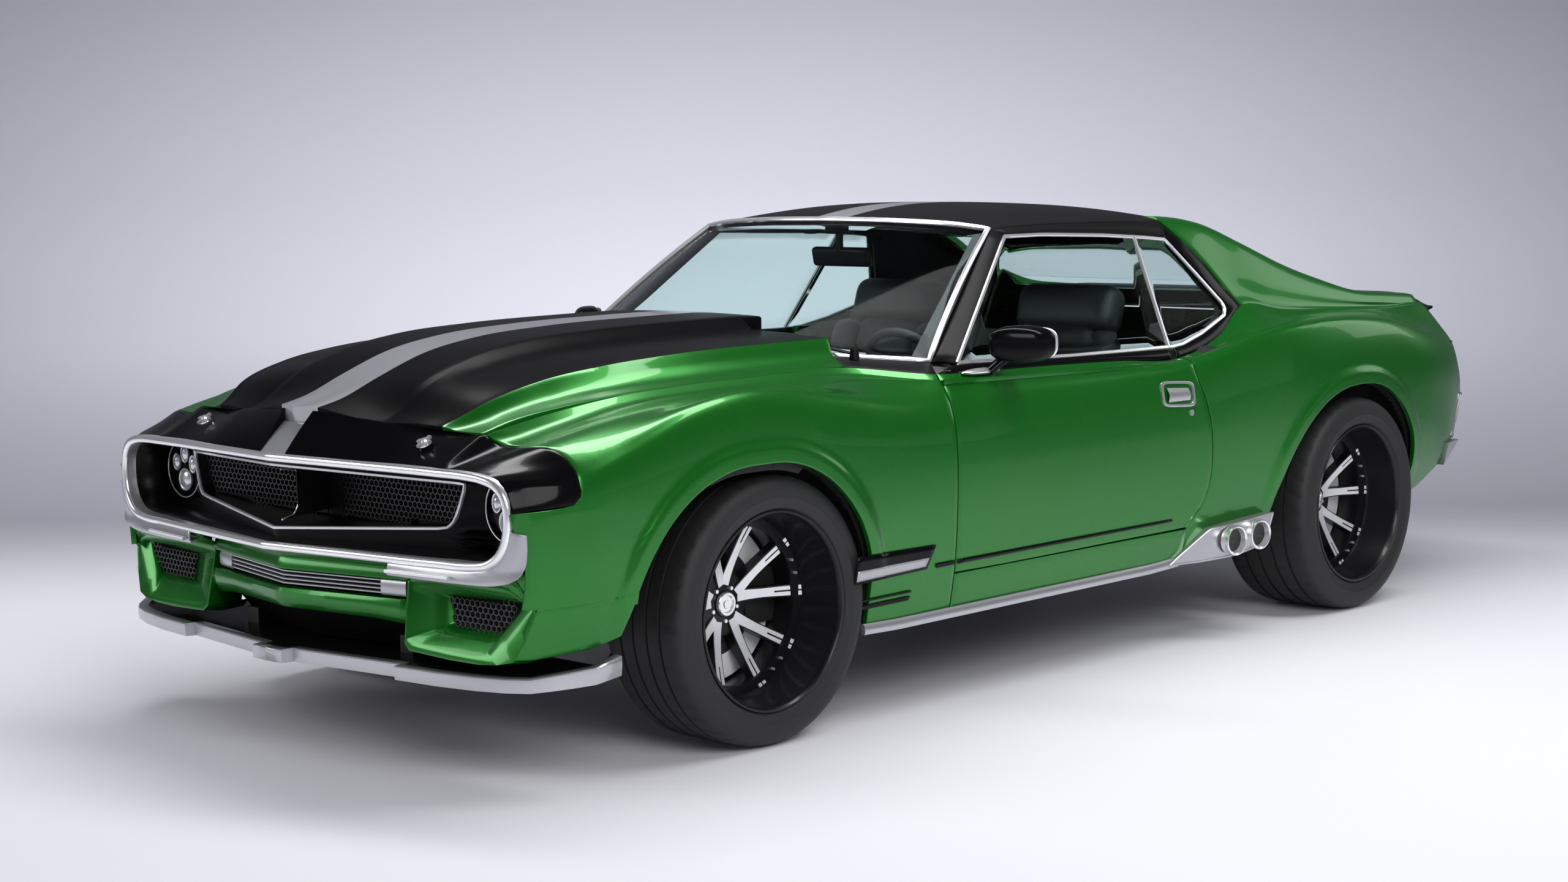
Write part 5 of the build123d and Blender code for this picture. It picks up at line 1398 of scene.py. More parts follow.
@dataclass
class BumperCorners:
    """The satin corners under the ring's ends, each with a thin bright bar."""

    shop: Workshop
    # Outer edge from the top at the side round to the front's middle: share of the way, x, y, z
    edge: tuple[Row, ...] = (
        (0.00, 0.873, -2.218, 0.654), (0.15, 0.874, -2.219, 0.610), (0.30, 0.867, -2.224, 0.570),
        (0.42, 0.845, -2.238, 0.543), (0.55, 0.790, -2.250, 0.527), (0.75, 0.650, -2.272, 0.522),
        (1.00, 0.430, -2.297, 0.522))
    thickness: float = 0.006
    steps: int = 48

    def build(self) -> None:
        """Makes both corners."""
        ring = polyline(RING_OUTLINE, 192, smooth=True)
        start = int(np.argmin(np.hypot(ring[:, 0] - RING_HALF, ring[:, 1] - 0.660)))
        stop = int(np.argmin(np.hypot(ring[:, 0] - 0.430, ring[:, 1] - 0.555)))
        line = polyline(ring[start:stop], self.steps)
        inner = np.stack([line[:, 0] - 0.002, ring_y(line[:, 0], line[:, 1]) + 0.008, line[:, 1] + 0.001], 1)
        way = np.linspace(0, 1, self.steps + 1)
        table = np.array(self.edge)
        outer = smooth_curve(table[:, 0], table[:, 1:], way)
        at_side = np.interp(way, (0, 0.25, 0.45), (1, 1, 0))[:, None]
        bulge = np.array([0.006, -0.006, 0]) * at_side + np.array([0, -0.004, -0.007]) * (1 - at_side)
        under = outer + np.array([-0.020, 0.004, 0]) * at_side + np.array([0, 0.030, 0.006]) * (1 - at_side)
        rows = [inner * (1 - t) + outer * t + bulge * math.sin(math.pi * t)
                for t in (0, 0.15, 0.4, 0.65, 0.88, 1)]
        self.shop.skin("bumper_corners", both(np.stack(rows + [under], 1)), SILVER, FORWARD, self.thickness,
                       SEAM_ROUND)
        bm = bmesh.new()
        x = np.linspace(0.440, 0.650, 12)
        bar = np.stack([x, ring_y(x, np.full(12, 0.53)) - 0.004, np.full(12, 0.536)], 1)
        for side in SIDES[::-1]:
            tube(bm, side.turn(bar), 0.010, 0.012, FORWARD)
        self.shop.piece("bumper_bars", bm, CHROME)
        log.info("bumper corners made")


# ---------------------------------------------------------------------------
# Windows and lining
# ---------------------------------------------------------------------------

# Left side window opening (x, y, z), leg by leg
WINDOW_FRONT = metres((823, -543, 957), (628, -80, 1303))
WINDOW_TOP = metres((628, -80, 1303), (628, 102, 1304), (634, 411, 1293), (642, 632, 1279), (647, 731, 1270))
WINDOW_REAR = metres(
    (647, 731, 1270), (709, 813, 1161), (765, 885, 1062), (774, 892, 1044), (788, 867, 1020), (815, 693, 971),
    (830, 569, 946), (833, 506, 941),
)
WINDOW_BELT = metres((833, 506, 941), (830, -10, 945), (823, -543, 957))
DIVIDER = metres((643, 568, 1280), (835, 488, 939))
# Windshield: its corners at the top and the foot, from the centre out, and its middle (y, z)
SCREEN_TOP = metres((0, -186, 1352), (300, -172, 1347), (500, -142, 1336), (595, -116, 1324))
SCREEN_FOOT = metres((0, -850, 985), (300, -812, 981), (550, -715, 972), (749, -577, 960))
SCREEN_MIDDLE = np.array([-0.49, 1.16])
COWL_FRONT = metres((0, -862, 955), (350, -862, 955), (660, -862, 957))
# Pivot and tip of each wiper arm
WIPERS = (metres((600, -735, 985), (100, -735, 1052)), metres((-20, -880, 998), (-500, -700, 1035)))


@dataclass
class Windows:
    """Side windows, windshield, pillars and their bright frames."""

    side: BodySide
    roof: Roof
    shop: Workshop
    frame_width: float = 0.0125
    frame_depth: float = 0.009
    screen_tilt: tuple[float, float, float] = (0, -0.62, 0.78)

    def surround(self, side: Side) -> None:
        """Makes the black surround of one side, fixed and on the door."""
        roof_y = np.linspace(-0.113, 0.752, 25)
        edge = self.roof.edge(roof_y)
        rail = np.stack([edge[:, 0] + 0.002, roof_y, edge[:, 1] - 0.004], 1)
        post = polyline((SCREEN_FOOT[-1], SCREEN_TOP[-1]), 16)
        pillar = across(polyline(WINDOW_FRONT, 16), post, 6, (0.006, -0.008, 0.004))
        top = across(polyline(WINDOW_TOP, 24), rail, 4, (0.008, 0, 0.004))
        belt_y = np.linspace(SAIL_FRONT[0][0], DOOR_REAR[-1][0], 24)
        belt = self.side.at(belt_y, np.full(24, V_SEAM))
        rear_line = np.vstack([rail[-1:], self.side.sheet(np.array(SAIL_FRONT)[::-1])[1:], belt[1:]])
        rear = across(polyline(WINDOW_REAR, 48), polyline(rear_line, 48), 4, (0.002, 0, 0.001))
        sheets = [(side.turn(sheet), paint) for sheet, paint in ((pillar, 1), (top, 1), (rear, 0))]
        outwards = (side.value, 0, 0)
        self.shop.skin(f"window_surround_{side.word}", sheets, (GLOSS_BLACK, PLASTIC), outwards, 0.010,
                       sharp=50)
        seam = self.side.at(np.linspace(0.504, DOOR_FRONT_Y + 0.004, 30), np.full(30, V_SEAM))
        belt = across(polyline(WINDOW_BELT, 29), seam, 3, (0.003, 0, 0.003))
        self.shop.skin(f"door_belt_{side.word}", [side.turn(belt)], GLOSS_BLACK, outwards, 0.008,
                       body=side.door, sharp=50)

    def frames(self, side: Side) -> None:
        """Makes the bright frames of one side."""
        normal = (side.value * 0.871, 0, 0.491)
        bm = bmesh.new()
        fixed = legs(polyline(WINDOW_FRONT, 16), polyline(WINDOW_TOP, 24), polyline(WINDOW_REAR, 48))
        tube(bm, side.turn(fixed), self.frame_width, self.frame_depth, normal)
        tube(bm, side.turn(polyline(DIVIDER, 8)), self.frame_width, 0.011, normal)
        self.shop.piece(f"window_frame_{side.word}", bm, CHROME)
        bm = bmesh.new()
        tube(bm, side.turn(polyline(WINDOW_BELT, 24)), self.frame_width, self.frame_depth, normal)
        self.shop.piece(f"belt_trim_{side.word}", bm, CHROME, body=side.door)

    def side_glass(self, side: Side) -> None:
        """Makes the panes of one side, a little inside their frames."""
        back = np.array([-0.006, 0, -0.003])
        head, foot = DIVIDER
        door = ((*WINDOW_TOP[:3], head), (WINDOW_BELT[2], WINDOW_BELT[1], foot))
        quarter = ((head, *WINDOW_TOP[3:], *WINDOW_REAR[1:3]), (foot, *WINDOW_REAR[:2:-1][1:]))
        fixed = ["quarter_glass"] if side is Side.LEFT else []
        for name, (top, low), body, nodes in (("door_pane", door, side.door, [f"door_glass_{side.word}"]),
                                              ("quarter_pane", quarter, "body", fixed)):
            sheet = side.turn(across(polyline(top, 12), polyline(low, 12), 6) + back)
            self.shop.skin(f"{name}_{side.word}", [sheet], SIDE_GLASS, (side.value, 0, 0), body=body,
                           stands_for=nodes)

    @staticmethod
    def screen_line(corners: Sequence[Row], steps: int) -> Points:
        """A smooth edge of the windshield's left half, from the centre out."""
        table = np.array(corners)
        x = np.linspace(0, table[-1, 0], steps + 1)
        return np.column_stack([x, smooth_curve(table[:, 0], table[:, 1:], x)])

    def windshield(self) -> None:
        """Makes the windshield with its bright frame and black border."""
        top, low = self.screen_line(SCREEN_TOP, 24), self.screen_line(SCREEN_FOOT, 24)
        sheet = across(top, low, 12, (0, -0.012, 0.008))
        self.shop.skin("windshield_pane", both(sheet), GLASS, FORWARD, 0.005, stands_for=["windshield"])
        edge = legs(top, sheet[-1], low[::-1])
        bm = bmesh.new()
        whole = np.vstack([edge, mirrored(edge)[-2:0:-1]]) + np.array([0, -0.004, 0.003])
        tube(bm, whole, 0.018, 0.011, self.screen_tilt, closed=True)
        self.shop.piece("windshield_frame", bm, CHROME)
        inner = edge.copy()
        inner[:, 1:] += (SCREEN_MIDDLE - inner[:, 1:]) * 0.085
        inner[:, 0] *= 0.945
        band = np.stack([edge, inner], 1) + np.array([0, 0.007, -0.004])
        self.shop.skin("windshield_border", both(band), GLOSS_BLACK, thickness=PAINT_FILM)

    def cowl(self) -> None:
        """Makes the black panel at the windshield's foot, with the wiper arms."""
        foot = self.screen_line(SCREEN_FOOT, 32)
        seam = self.side.at(np.linspace(-0.860, DOOR_FRONT_Y, 8), np.full(8, V_SEAM))
        front = polyline(np.vstack([COWL_FRONT, seam]), 32)
        self.shop.skin("cowl_panel", both(across(front, foot, 4)), PLASTIC, (0, 0, 1))
        bm = bmesh.new()
        for pivot, tip in np.array(WIPERS):
            reach = tip - pivot
            tube(bm, polyline((pivot, pivot + reach * 0.5, tip), 10), 0.010, 0.006, self.screen_tilt)
            blade = polyline((pivot + reach * 0.45, tip + reach * 0.1), 6) + np.array([0, -0.004, -0.008])
            tube(bm, blade, 0.012, 0.008, self.screen_tilt)
            add_cone(bm, 20, 0.016, 0.012, 0.030, Matrix.Translation(pivot))
        self.shop.piece("wipers", bm, PLASTIC)

    def build(self) -> None:
        """Makes all windows."""
        for side in SIDES:
            self.surround(side)
            self.frames(side)
            self.side_glass(side)
        self.windshield()
        self.cowl()
        log.info("windows made")


@dataclass
class Lining:
    """Inner panels: the frame's shells, drawn in under the painted skins."""

    side: BodySide
    roof: Roof
    shop: Workshop
    margin: float = 0.023
    longest_edge: float = 0.16
    nose_drop: float = 0.022
    fender_plate: tuple[float, float, float] = (0.006, 0.400, 0.430)
    fender_place: tuple[float, float, float] = (0.440, -1.900, 0.525)

    def __post_init__(self) -> None:
        """Measures the room inside the body side: half width by place along the car and height."""
        at_y, at_z, v = np.linspace(-2.372, 2.372, 297), np.linspace(0.22, 1.40, 237), np.linspace(0, 9.6, 97)
        places = self.side.raw(np.repeat(at_y, 97), np.tile(v, 297)).reshape(297, 97, 3)
        rows = [np.interp(at_z, np.maximum.accumulate(row[:, 2]) + np.arange(97) * 1e-7, row[:, 0])
                for row in places]
        self.room = (at_y, at_z, np.array(rows))

    def half_width(self, y: Points, z: Points) -> Points:
        """The room inside the body side at places along the car and heights."""
        at_y, at_z, table = self.room
        i = np.clip(np.searchsorted(at_y, y) - 1, 0, len(at_y) - 2)
        j = np.clip(np.searchsorted(at_z, z) - 1, 0, len(at_z) - 2)
        u = np.clip((y - at_y[i]) / (at_y[i + 1] - at_y[i]), 0, 1)
        w = np.clip((z - at_z[j]) / (at_z[j + 1] - at_z[j]), 0, 1)
        near = table[i, j] * (1 - w) + table[i, j + 1] * w
        room = near * (1 - u) + (table[i + 1, j] * (1 - w) + table[i + 1, j + 1] * w) * u
        window = (z > 0.93) & (y > -0.62) & (y < 0.99)
        return np.where(window, np.minimum(room, 0.83 - 0.563 * (z - 0.945)), room) - self.margin

    def limit(self, points: Points) -> Points:
        """Draws places in so that they stay under the skins.

        Args:
            points: One (x, y, z) row per place.

        Returns:
            The moved places.
        """
        x, y, z = np.abs(points[:, 0]), points[:, 1], points[:, 2]
        out = points.copy()
        tail = np.array(TAIL_PROFILE)[::-1]
        out[:, 1] = np.clip(y, -2.150, np.interp(z, tail[:, 1], tail[:, 0]) - self.margin)
        deck = (x > 0.72) & (y > 1.30) & (z < 1.08)
        out[:, 2] = np.where(deck, np.minimum(z, 0.950), z)
        room = self.half_width(y, z)
        out[:, 0] = np.where(x > room, np.sign(points[:, 0]) * room, out[:, 0])
        top = z > 1.20
        if top.any():
            edge = self.roof.edge(y[top])
            share = np.clip(np.abs(out[top, 0]) / edge[:, 0], 0, 1)
            skin = edge[:, 1] + (self.roof.crown(y[top]) - edge[:, 1]) * (1 - share**3)
            out[top, 2] = np.minimum(z[top], skin - 0.020)
        return out

    def line(self, node: bpy.types.Object, name: str, body: str, paint: Callable[[Vector], int]) -> None:
        """Makes one lining from a copy of a frame node.

        Args:
            node: The frame's node.
            name: The lining's name.
            body: The body it rides on.
            paint: Gives a face's material by its middle, 0 black or 1 green.
        """
        bm = bmesh.new()
        bm.from_mesh(node.data)
        bm.transform(node.matrix_world)
        merge(bm)
        for _ in range(2):
            long = [edge for edge in bm.edges if edge.calc_length() > self.longest_edge]
            bmesh.ops.subdivide_edges(bm, edges=long, cuts=1)
            bmesh.ops.triangulate(bm, faces=[f for f in bm.faces if len(f.verts) > 4])
        places = self.limit(np.array([v.co for v in bm.verts]))
        for vert, place in zip(bm.verts, places):
            vert.co = place
            if place[1] < -0.66 and place[2] > 0.74:
                vert.co.z -= self.nose_drop
        bmesh.ops.dissolve_degenerate(bm, edges=bm.edges[:], dist=SAME_PLACE)
        post = [v for v in bm.verts if abs(v.co.x) > 0.52 and 0.38 < v.co.y < 0.74 and 0.965 < v.co.z < 1.27]
        if name.startswith("door"):
            post = [v for v in bm.verts if v.co.z > 0.955]
        bmesh.ops.delete(bm, geom=post, context="VERTS")
        for face in bm.faces:
            face.material_index = paint(face.calc_center_median())
        self.shop.piece(name, bm, (CHASSIS, GREEN), [node.name], body, sharp=30)

    def inner_fender(self, side: Side) -> None:
        """Makes the dark sheet between the front wheel's house and the radiator."""
        bm = bmesh.new()
        place = Matrix.Translation(side.turn(self.fender_place)) @ Matrix.Diagonal((*self.fender_plate, 1))
        bmesh.ops.create_cube(bm, size=1.0, matrix=place)
        self.shop.piece(f"inner_fender_{side.word}", bm, CHASSIS)

    def build(self, nodes: dict[str, bpy.types.Object]) -> None:
        """Makes the linings of the body shell, the doors and the front fenders."""
        def jambs(place: Vector) -> int:
            """Green round the door openings and at the back."""
            at_door = abs(place.x) > 0.78 and -0.70 < place.y < 0.62 and place.z < 0.95
            return int(at_door or (place.y > 1.50 and place.z > 0.80))

        def door(place: Vector) -> int:
            """Green at the door's outside, below its glass."""
            return int(abs(place.x) > 0.80 and place.z < 0.86)

        self.line(nodes["body_shell"], "body_lining", "body", jambs)
        for side in SIDES:
            self.line(nodes[side.door], f"door_lining_{side.word}", side.door, door)
            self.line(nodes[f"front_fender_{side.word}"], f"fender_lining_{side.word}", "body",
                      lambda _place: 0)
            self.inner_fender(side)
        log.info("linings made")


# ---------------------------------------------------------------------------
# Cabin
# ---------------------------------------------------------------------------

SEAT_X = 0.365
# Seat pads: across, along, up, size across, size along, size up, tilt in degrees, rounding
SEAT_PADS: tuple[Row, ...] = (
    (0.0, 0.17, 0.478, 0.3, 0.48, 0.13, -5, 0.045), (0.2, 0.17, 0.486, 0.115, 0.5, 0.16, -5, 0.05),
    (-0.2, 0.17, 0.486, 0.115, 0.5, 0.16, -5, 0.05), (0.0, 0.5, 0.74, 0.29, 0.11, 0.52, -17, 0.045),
    (0.19, 0.492, 0.735, 0.115, 0.15, 0.5, -17, 0.05), (-0.19, 0.492, 0.735, 0.115, 0.15, 0.5, -17, 0.05),
    (0.0, 0.598, 1.04, 0.4, 0.12, 0.17, -17, 0.055), (0.0, 0.17, 0.38, 0.44, 0.44, 0.11, 0, 0.02),
)
BENCH_PADS: tuple[Row, ...] = (
    (0.31, 0.97, 0.5, 0.56, 0.4, 0.13, -4, 0.045), (-0.31, 0.97, 0.5, 0.56, 0.4, 0.13, -4, 0.045),
    (0.31, 1.215, 0.725, 0.56, 0.12, 0.38, -22, 0.045), (-0.31, 1.215, 0.725, 0.56, 0.12, 0.38, -22, 0.045),
    (0.0, 1.215, 0.72, 0.1, 0.1, 0.37, -22, 0.03), (0.0, 1.0, 0.39, 1.15, 0.42, 0.11, 0, 0.02),
)
# The dashboard's section (y, z)
DASH_SECTION = metres(
    (-655, 930), (-560, 945), (-470, 940), (-420, 922), (-388, 890), (-378, 850), (-392, 800), (-430, 760),
    (-455, 715), (-520, 700),
)


@dataclass
class Cabin:
    """Seats, dashboard, steering wheel and inside mirror."""

    shop: Workshop
    wheel_radius: float = 0.178
    wheel_place: tuple[float, float, float] = (SEAT_X, -0.215, 0.850)
    wheel_lean: float = 0.42
    grip: float = 0.026
    spokes: tuple[int, ...] = (10, 170, 270)
    dash_half: float = 0.660
    dial_hood: float = 0.020
    lever: tuple[float, float, float] = (0.02, -0.12, 0.530)

    def seats(self) -> None:
        """Makes both front seats and the rear bench from padded blocks."""
        for name, pads, shift, nodes in (("front_seat_left", SEAT_PADS, SEAT_X, ["front_seats"]),
                                         ("front_seat_right", SEAT_PADS, -SEAT_X, []),
                                         ("rear_seat", BENCH_PADS, 0.0, ["rear_bench"])):
            bm = bmesh.new()
            for x, y, z, wide, deep, high, tilt, rounding in pads:
                add_block(bm, (x + shift, y, z), (wide, deep, high), tilt, rounding)
            seat = self.shop.piece(name, bm, LEATHER, nodes, sharp=60, closed=False)

    def dashboard(self) -> None:
        """Makes the dashboard with its hood over the dials, and the console."""
        profile = polyline(DASH_SECTION, 30, smooth=True)
        x = np.linspace(-self.dash_half, self.dash_half, 41)
        sheet = np.stack([np.column_stack([np.full(31, px), profile]) for px in x])
        sheet[:, 8:20, 2] += (self.dial_hood * (1 - smoothstep(0.12, 0.24, np.abs(x - SEAT_X))))[:, None]
        self.shop.skin("dash_top", [sheet], CABIN, (0, 0, 1), 0.010, stands_for=["dashboard"])
        bm = bmesh.new()
        add_block(bm, (0, -0.02, 0.370), (0.200, 0.820, 0.180), 0, 0.025)
        add_block(bm, (0, -0.400, 0.520), (0.200, 0.240, 0.360), 20, 0.025)
        add_cone(bm, 20, 0.008, 0.006, 0.160, Matrix.Translation(self.lever))
        knob = Matrix.Translation((*self.lever[:2], 0.615))
        bmesh.ops.create_uvsphere(bm, u_segments=20, v_segments=12, radius=0.024, matrix=knob)
        self.shop.piece("console", bm, CABIN, sharp=50)

    def steering(self) -> None:
        """Makes the steering wheel with three spokes and its column."""
        bm = bmesh.new()
        centre = np.array(self.wheel_place)
        axis = np.array([0.0, 1.0, self.wheel_lean]) / math.hypot(1.0, self.wheel_lean)
        up, aside = np.array([0.0, -axis[2], axis[1]]), np.array([1.0, 0.0, 0.0])
        a = np.linspace(0, 2 * np.pi, 73)[:-1, None]
        rim = centre + self.wheel_radius * (np.cos(a) * aside + np.sin(a) * up)
        tube(bm, rim, self.grip, self.grip, axis, closed=True)
        for angle in np.radians(self.spokes):
            out = math.cos(angle) * aside + math.sin(angle) * up
            arm = polyline([centre - axis * 0.020, centre - axis * 0.006 + (self.wheel_radius - 0.006) * out],
                           6)
            tube(bm, arm, 0.030, 0.008, axis)
        turn = Matrix.Translation(centre) @ Vector(axis).to_track_quat("Z", "Y").to_matrix().to_4x4()
        add_cone(bm, 32, 0.052, 0.040, 0.040, turn)
        add_cone(bm, 24, 0.030, 0.026, 0.210, turn @ Matrix.Translation((0, 0, -0.120)))
        self.shop.piece("steering", bm, CABIN, ["steering_wheel"], sharp=50)

    def mirror(self) -> None:
        """Makes the inside mirror on its stem."""
        bm = bmesh.new()
        add_block(bm, (0, -0.120, 1.232), (0.240, 0.030, 0.062), 12, 0.013)
        add_block(bm, (0, -0.130, 1.296), (0.020, 0.020, 0.100), 0, 0.006, 2)
        add_block(bm, (0, -0.142, 1.318), (0.070, 0.046, 0.024), 0, 0.008, 2)
        self.shop.piece("cabin_mirror", bm, PLASTIC, ["inside_mirror"], sharp=50)
        bm = bmesh.new()
        add_block(bm, (0, -0.1045, 1.2285), (0.222, 0.003, 0.048), 12, 0.0013, 1)
        self.shop.piece("cabin_mirror_glass", bm, CHROME)

    def build(self) -> None:
        """Makes the cabin."""
        self.seats()
        self.dashboard()
        self.steering()
        self.mirror()
        log.info("cabin made")


# ---------------------------------------------------------------------------
# Wheels
# ---------------------------------------------------------------------------

TYRE_R = 0.362
# Outer half of the tyre's section: distance out of the lip's plane, radius
TYRE_WALL = (
    (-0.01, 0.258), (-0.004, 0.266), (0.001, 0.2725), (0.0035, 0.2735), (0.004, 0.277), (0.0075, 0.287),
    (0.0105, 0.3), (0.0112, 0.3015), (0.0105, 0.3035), (0.0112, 0.312), (0.01, 0.324), (0.0065, 0.335),
    (0.001, 0.3445), (-0.006, 0.3515), (-0.014, 0.356), (-0.024, 0.3585),
)
# Middles of the tread's grooves, and where its shoulders are notched, in shares of the width
GROOVES = (0.235, 0.41, 0.59, 0.765)
NOTCHED = ((0.03, 0.21), (0.79, 0.97), (0.27, 0.38), (0.62, 0.73))
# Turn of the first pair of spokes
PAIR_PHASE = math.radians(15)
# Rim's lip (distance out of its plane, radius), then hub and centre cap (distance out of the hub's face, radius)
RIM_LIP = ((-0.01, 0.262), (0.001, 0.2675), (0.003, 0.266), (0.003, 0.261), (0.0, 0.258), (-0.012, 0.253))
HUB_SECTION = (
    (-0.045, 0.074), (-0.006, 0.07), (-0.001, 0.064), (0.001, 0.05), (0.002, 0.036), (0.006, 0.034),
    (0.006, 0.0),
)
CAP_SECTION = (
    (0.004, 0.033), (0.014, 0.032), (0.016, 0.03), (0.016, 0.024), (0.011, 0.022), (0.011, 0.012),
    (0.014, 0.01), (0.014, 0.0),
)


@dataclass
class Wheel:
    """One wheel: grooved tyre, deep black rim with five V-spokes, and its brake disc."""

    name: str
    side: Side
    axle_y: float
    lip_x: float
    width: float
    dish: float
    shop: Workshop
    spokes: int = 5
    spoke_rows: int = 13
    # A spoke's ends: distance from the axle, and aside of the pair's middle
    spoke_foot: tuple[float, float] = (0.052, 0.004)
    spoke_tip: tuple[float, float] = (0.2385, 0.0775)
    face_depth: float = 0.004
    groove_half: float = 0.014
    groove_depth: float = 0.007
    notch: float = 0.0035
    disc_radius: float = 0.216

    def place(self, out: Points, radius: Points, angle: Points) -> Points:
        """Places given by distance out of the lip's plane, radius and angle."""
        out, radius, angle = np.broadcast_arrays(out, radius, angle)
        x = (self.lip_x + out) * self.side.value
        return np.stack([x, self.axle_y - np.cos(angle) * radius, AXLE_Z + np.sin(angle) * radius], -1)

    def spin(self, bm: bmesh.types.BMesh, profile: Sequence[Sequence[float]], steps: int = 96,
             material: int = 0) -> None:
        """Spins an open profile of (out, radius) points about the axle."""
        verts = [bm.verts.new(p) for p in self.place(*np.array(profile).T, 0.0)]
        edges = [bm.edges.new(pair) for pair in zip(verts, verts[1:])]
        before = set(bm.faces)
        bmesh.ops.spin(bm, geom=verts + edges, cent=(0, self.axle_y, AXLE_Z), axis=(1, 0, 0), angle=2 * math.pi,
                       steps=steps, use_merge=True)
        for face in set(bm.faces) - before:
            face.material_index = material

    def part(self, name: str, bm: bmesh.types.BMesh, finish: Finish | Sequence[Finish],
             stands_for: Sequence[str] = ()) -> None:
        """Finishes one piece of this wheel."""
        self.shop.piece(name, bm, finish, stands_for, f"wheel_{self.name}", sharp=35)

    def tyre(self) -> None:
        """Makes the tyre: walls, grooved tread and notched shoulders."""
        wall = np.array(TYRE_WALL)
        inner = np.column_stack([-self.width - wall[::-1, 0], wall[::-1, 1]])
        edge = (-self.groove_half - 0.004, -self.groove_half, self.groove_half, self.groove_half + 0.004)
        share = sorted([0.13, 0.17, 0.32, 0.50, 0.68, 0.83, 0.87]
                       + [groove + step for groove in GROOVES for step in edge])
        tread = np.array([[-self.width * s, TYRE_R - 0.0022 * (2 * s - 1) ** 2] for s in share])
        for row, s in zip(tread, share):
            if any(abs(s - groove) < self.groove_half + 0.002 for groove in GROOVES):
                row[1] -= self.groove_depth
        profile = np.vstack([wall, tread, inner])
        steps, cuts = 240, 6
        radius = np.tile(profile[:, 1], (steps + 1, 1))
        for j, (out, _radius) in enumerate(profile):
            s = -out / self.width
            if any(low < s < high for low, high in NOTCHED):
                lean = int(round(abs(s - 0.5) * 14))
                radius[[i for i in range(steps + 1) if (i + lean) % cuts == 0], j] -= self.notch
        radius[-1] = radius[0]
        bm = bmesh.new()
        angle = np.linspace(0, 2 * np.pi, steps + 1)
        add_patch(bm, self.place(profile[None, :, 0], radius, angle[:, None]))
        merge(bm)
        self.part(f"tyre_{self.name}_rubber", bm, RUBBER, [f"tyre_{self.name}"])

    def rim(self) -> None:
        """Makes the rim's barrel and its spokes."""
        back, seat, hub = -self.width, -self.dish + 0.056, -self.dish
        bm = bmesh.new()
        self.spin(bm, (*RIM_LIP, (seat + 0.012, 0.2475), (seat + 0.006, 0.2440), (seat, 0.2420),
                       (seat - 0.002, 0.2140),
                       (seat - 0.014, 0.2120), (back + 0.03, 0.2260), (back + 0.010, 0.2480), (back, 0.2600)),
                       120)
        self.spin(bm, [(hub + out, radius) for out, radius in HUB_SECTION], 60)
        faces = bmesh.new()
        for pair in range(self.spokes):
            for lean in (-1, 1):
                self.arm(bm, faces, PAIR_PHASE + 2 * math.pi * pair / self.spokes, lean, hub, seat)
        merge(bm)
        self.part(f"rim_{self.name}_barrel", bm, WHEEL_BLACK, [f"rim_{self.name}"])
        self.part(f"rim_{self.name}_faces", faces, MACHINED)

    def arm(self, bm: bmesh.types.BMesh, faces: bmesh.types.BMesh, centre: float, lean: int, hub: float,
            seat: float) -> None:
        """Adds one spoke: a deep black body under a bright face that splits at its tip.

        Args:
            bm: The black mesh.
            faces: The bright mesh.
            centre: Angle of the pair's middle.
            lean: Side of the pair, -1 or 1.
            hub: Level of the hub's face.
            seat: Level of the rim's seat.
        """
        t = np.linspace(0, 1, self.spoke_rows)
        start, end = (np.array(place) * (1, lean) for place in (self.spoke_foot, self.spoke_tip))
        line = start + (end - start) * t[:, None]
        along = (end - start) / np.linalg.norm(end - start)
        aside = np.array([-along[1], along[0]])
        rise = hub + 0.004 + (seat + 0.003 - hub) * t**1.6
        turn = np.array([[math.cos(centre), -math.sin(centre)], [math.sin(centre), math.cos(centre)]])

        def bar(target: bmesh.types.BMesh, offset: Points, half: Points, top: Points, low: Points,
                rows: slice) -> None:
            """Adds a closed bar over some of the arm's rows."""
            loops = []
            for i in range(self.spoke_rows)[rows]:
                ring = []
                for sign, level in ((-1, low[i]), (-1, top[i]), (1, top[i]), (1, low[i])):
                    flat = turn @ (line[i] + aside * (offset[i] + sign * half[i]))
                    x = (self.lip_x + level) * self.side.value
                    ring.append(target.verts.new((x, self.axle_y - flat[0], AXLE_Z + flat[1])))
                loops.append(ring)
            ring_faces(target, loops)

        zero = np.zeros(self.spoke_rows)
        width = np.interp(t, (0, 0.12, 0.4, 1), (0.0150, 0.0135, 0.0115, 0.0140))
        under = rise - self.face_depth
        bar(bm, zero, width + 0.0035, rise - 0.0015, rise - 0.040 + 0.010 * t, slice(0, 13))
        bar(faces, zero, width, rise, under, slice(0, 8))
        for sign in (-1, 1):
            bar(faces, sign * (width * 0.5 + 0.0012), width * 0.5 - 0.0012, rise, under, slice(7, 13))

    def small_parts(self) -> None:
        """Makes the bright centre cap and the bolts."""
        hub = -self.dish
        bm = bmesh.new()
        self.spin(bm, [(hub + out, radius) for out, radius in CAP_SECTION], 48)
        for pair in range(self.spokes):
            centre = PAIR_PHASE + 2 * math.pi * pair / self.spokes
            for lean in (-5.0, 5.0):
                self.bolt(bm, centre + math.radians(lean), 0.228, hub + 0.056, 0.0048)
            self.bolt(bm, centre + math.pi / self.spokes, 0.047, hub, 0.0065)
        merge(bm)
        self.part(f"rim_{self.name}_bolts", bm, CHROME)

    def bolt(self, bm: bmesh.types.BMesh, angle: float, radius: float, level: float, size: float) -> None:
        """Adds one bolt head."""
        centre = self.place(np.array(level + 0.003), np.array(radius), np.array(angle))
        place = Matrix.Translation(centre) @ Matrix.Rotation(math.pi / 2, 4, "Y")
        add_cone(bm, 12, size, size * 0.8, 0.008, place)

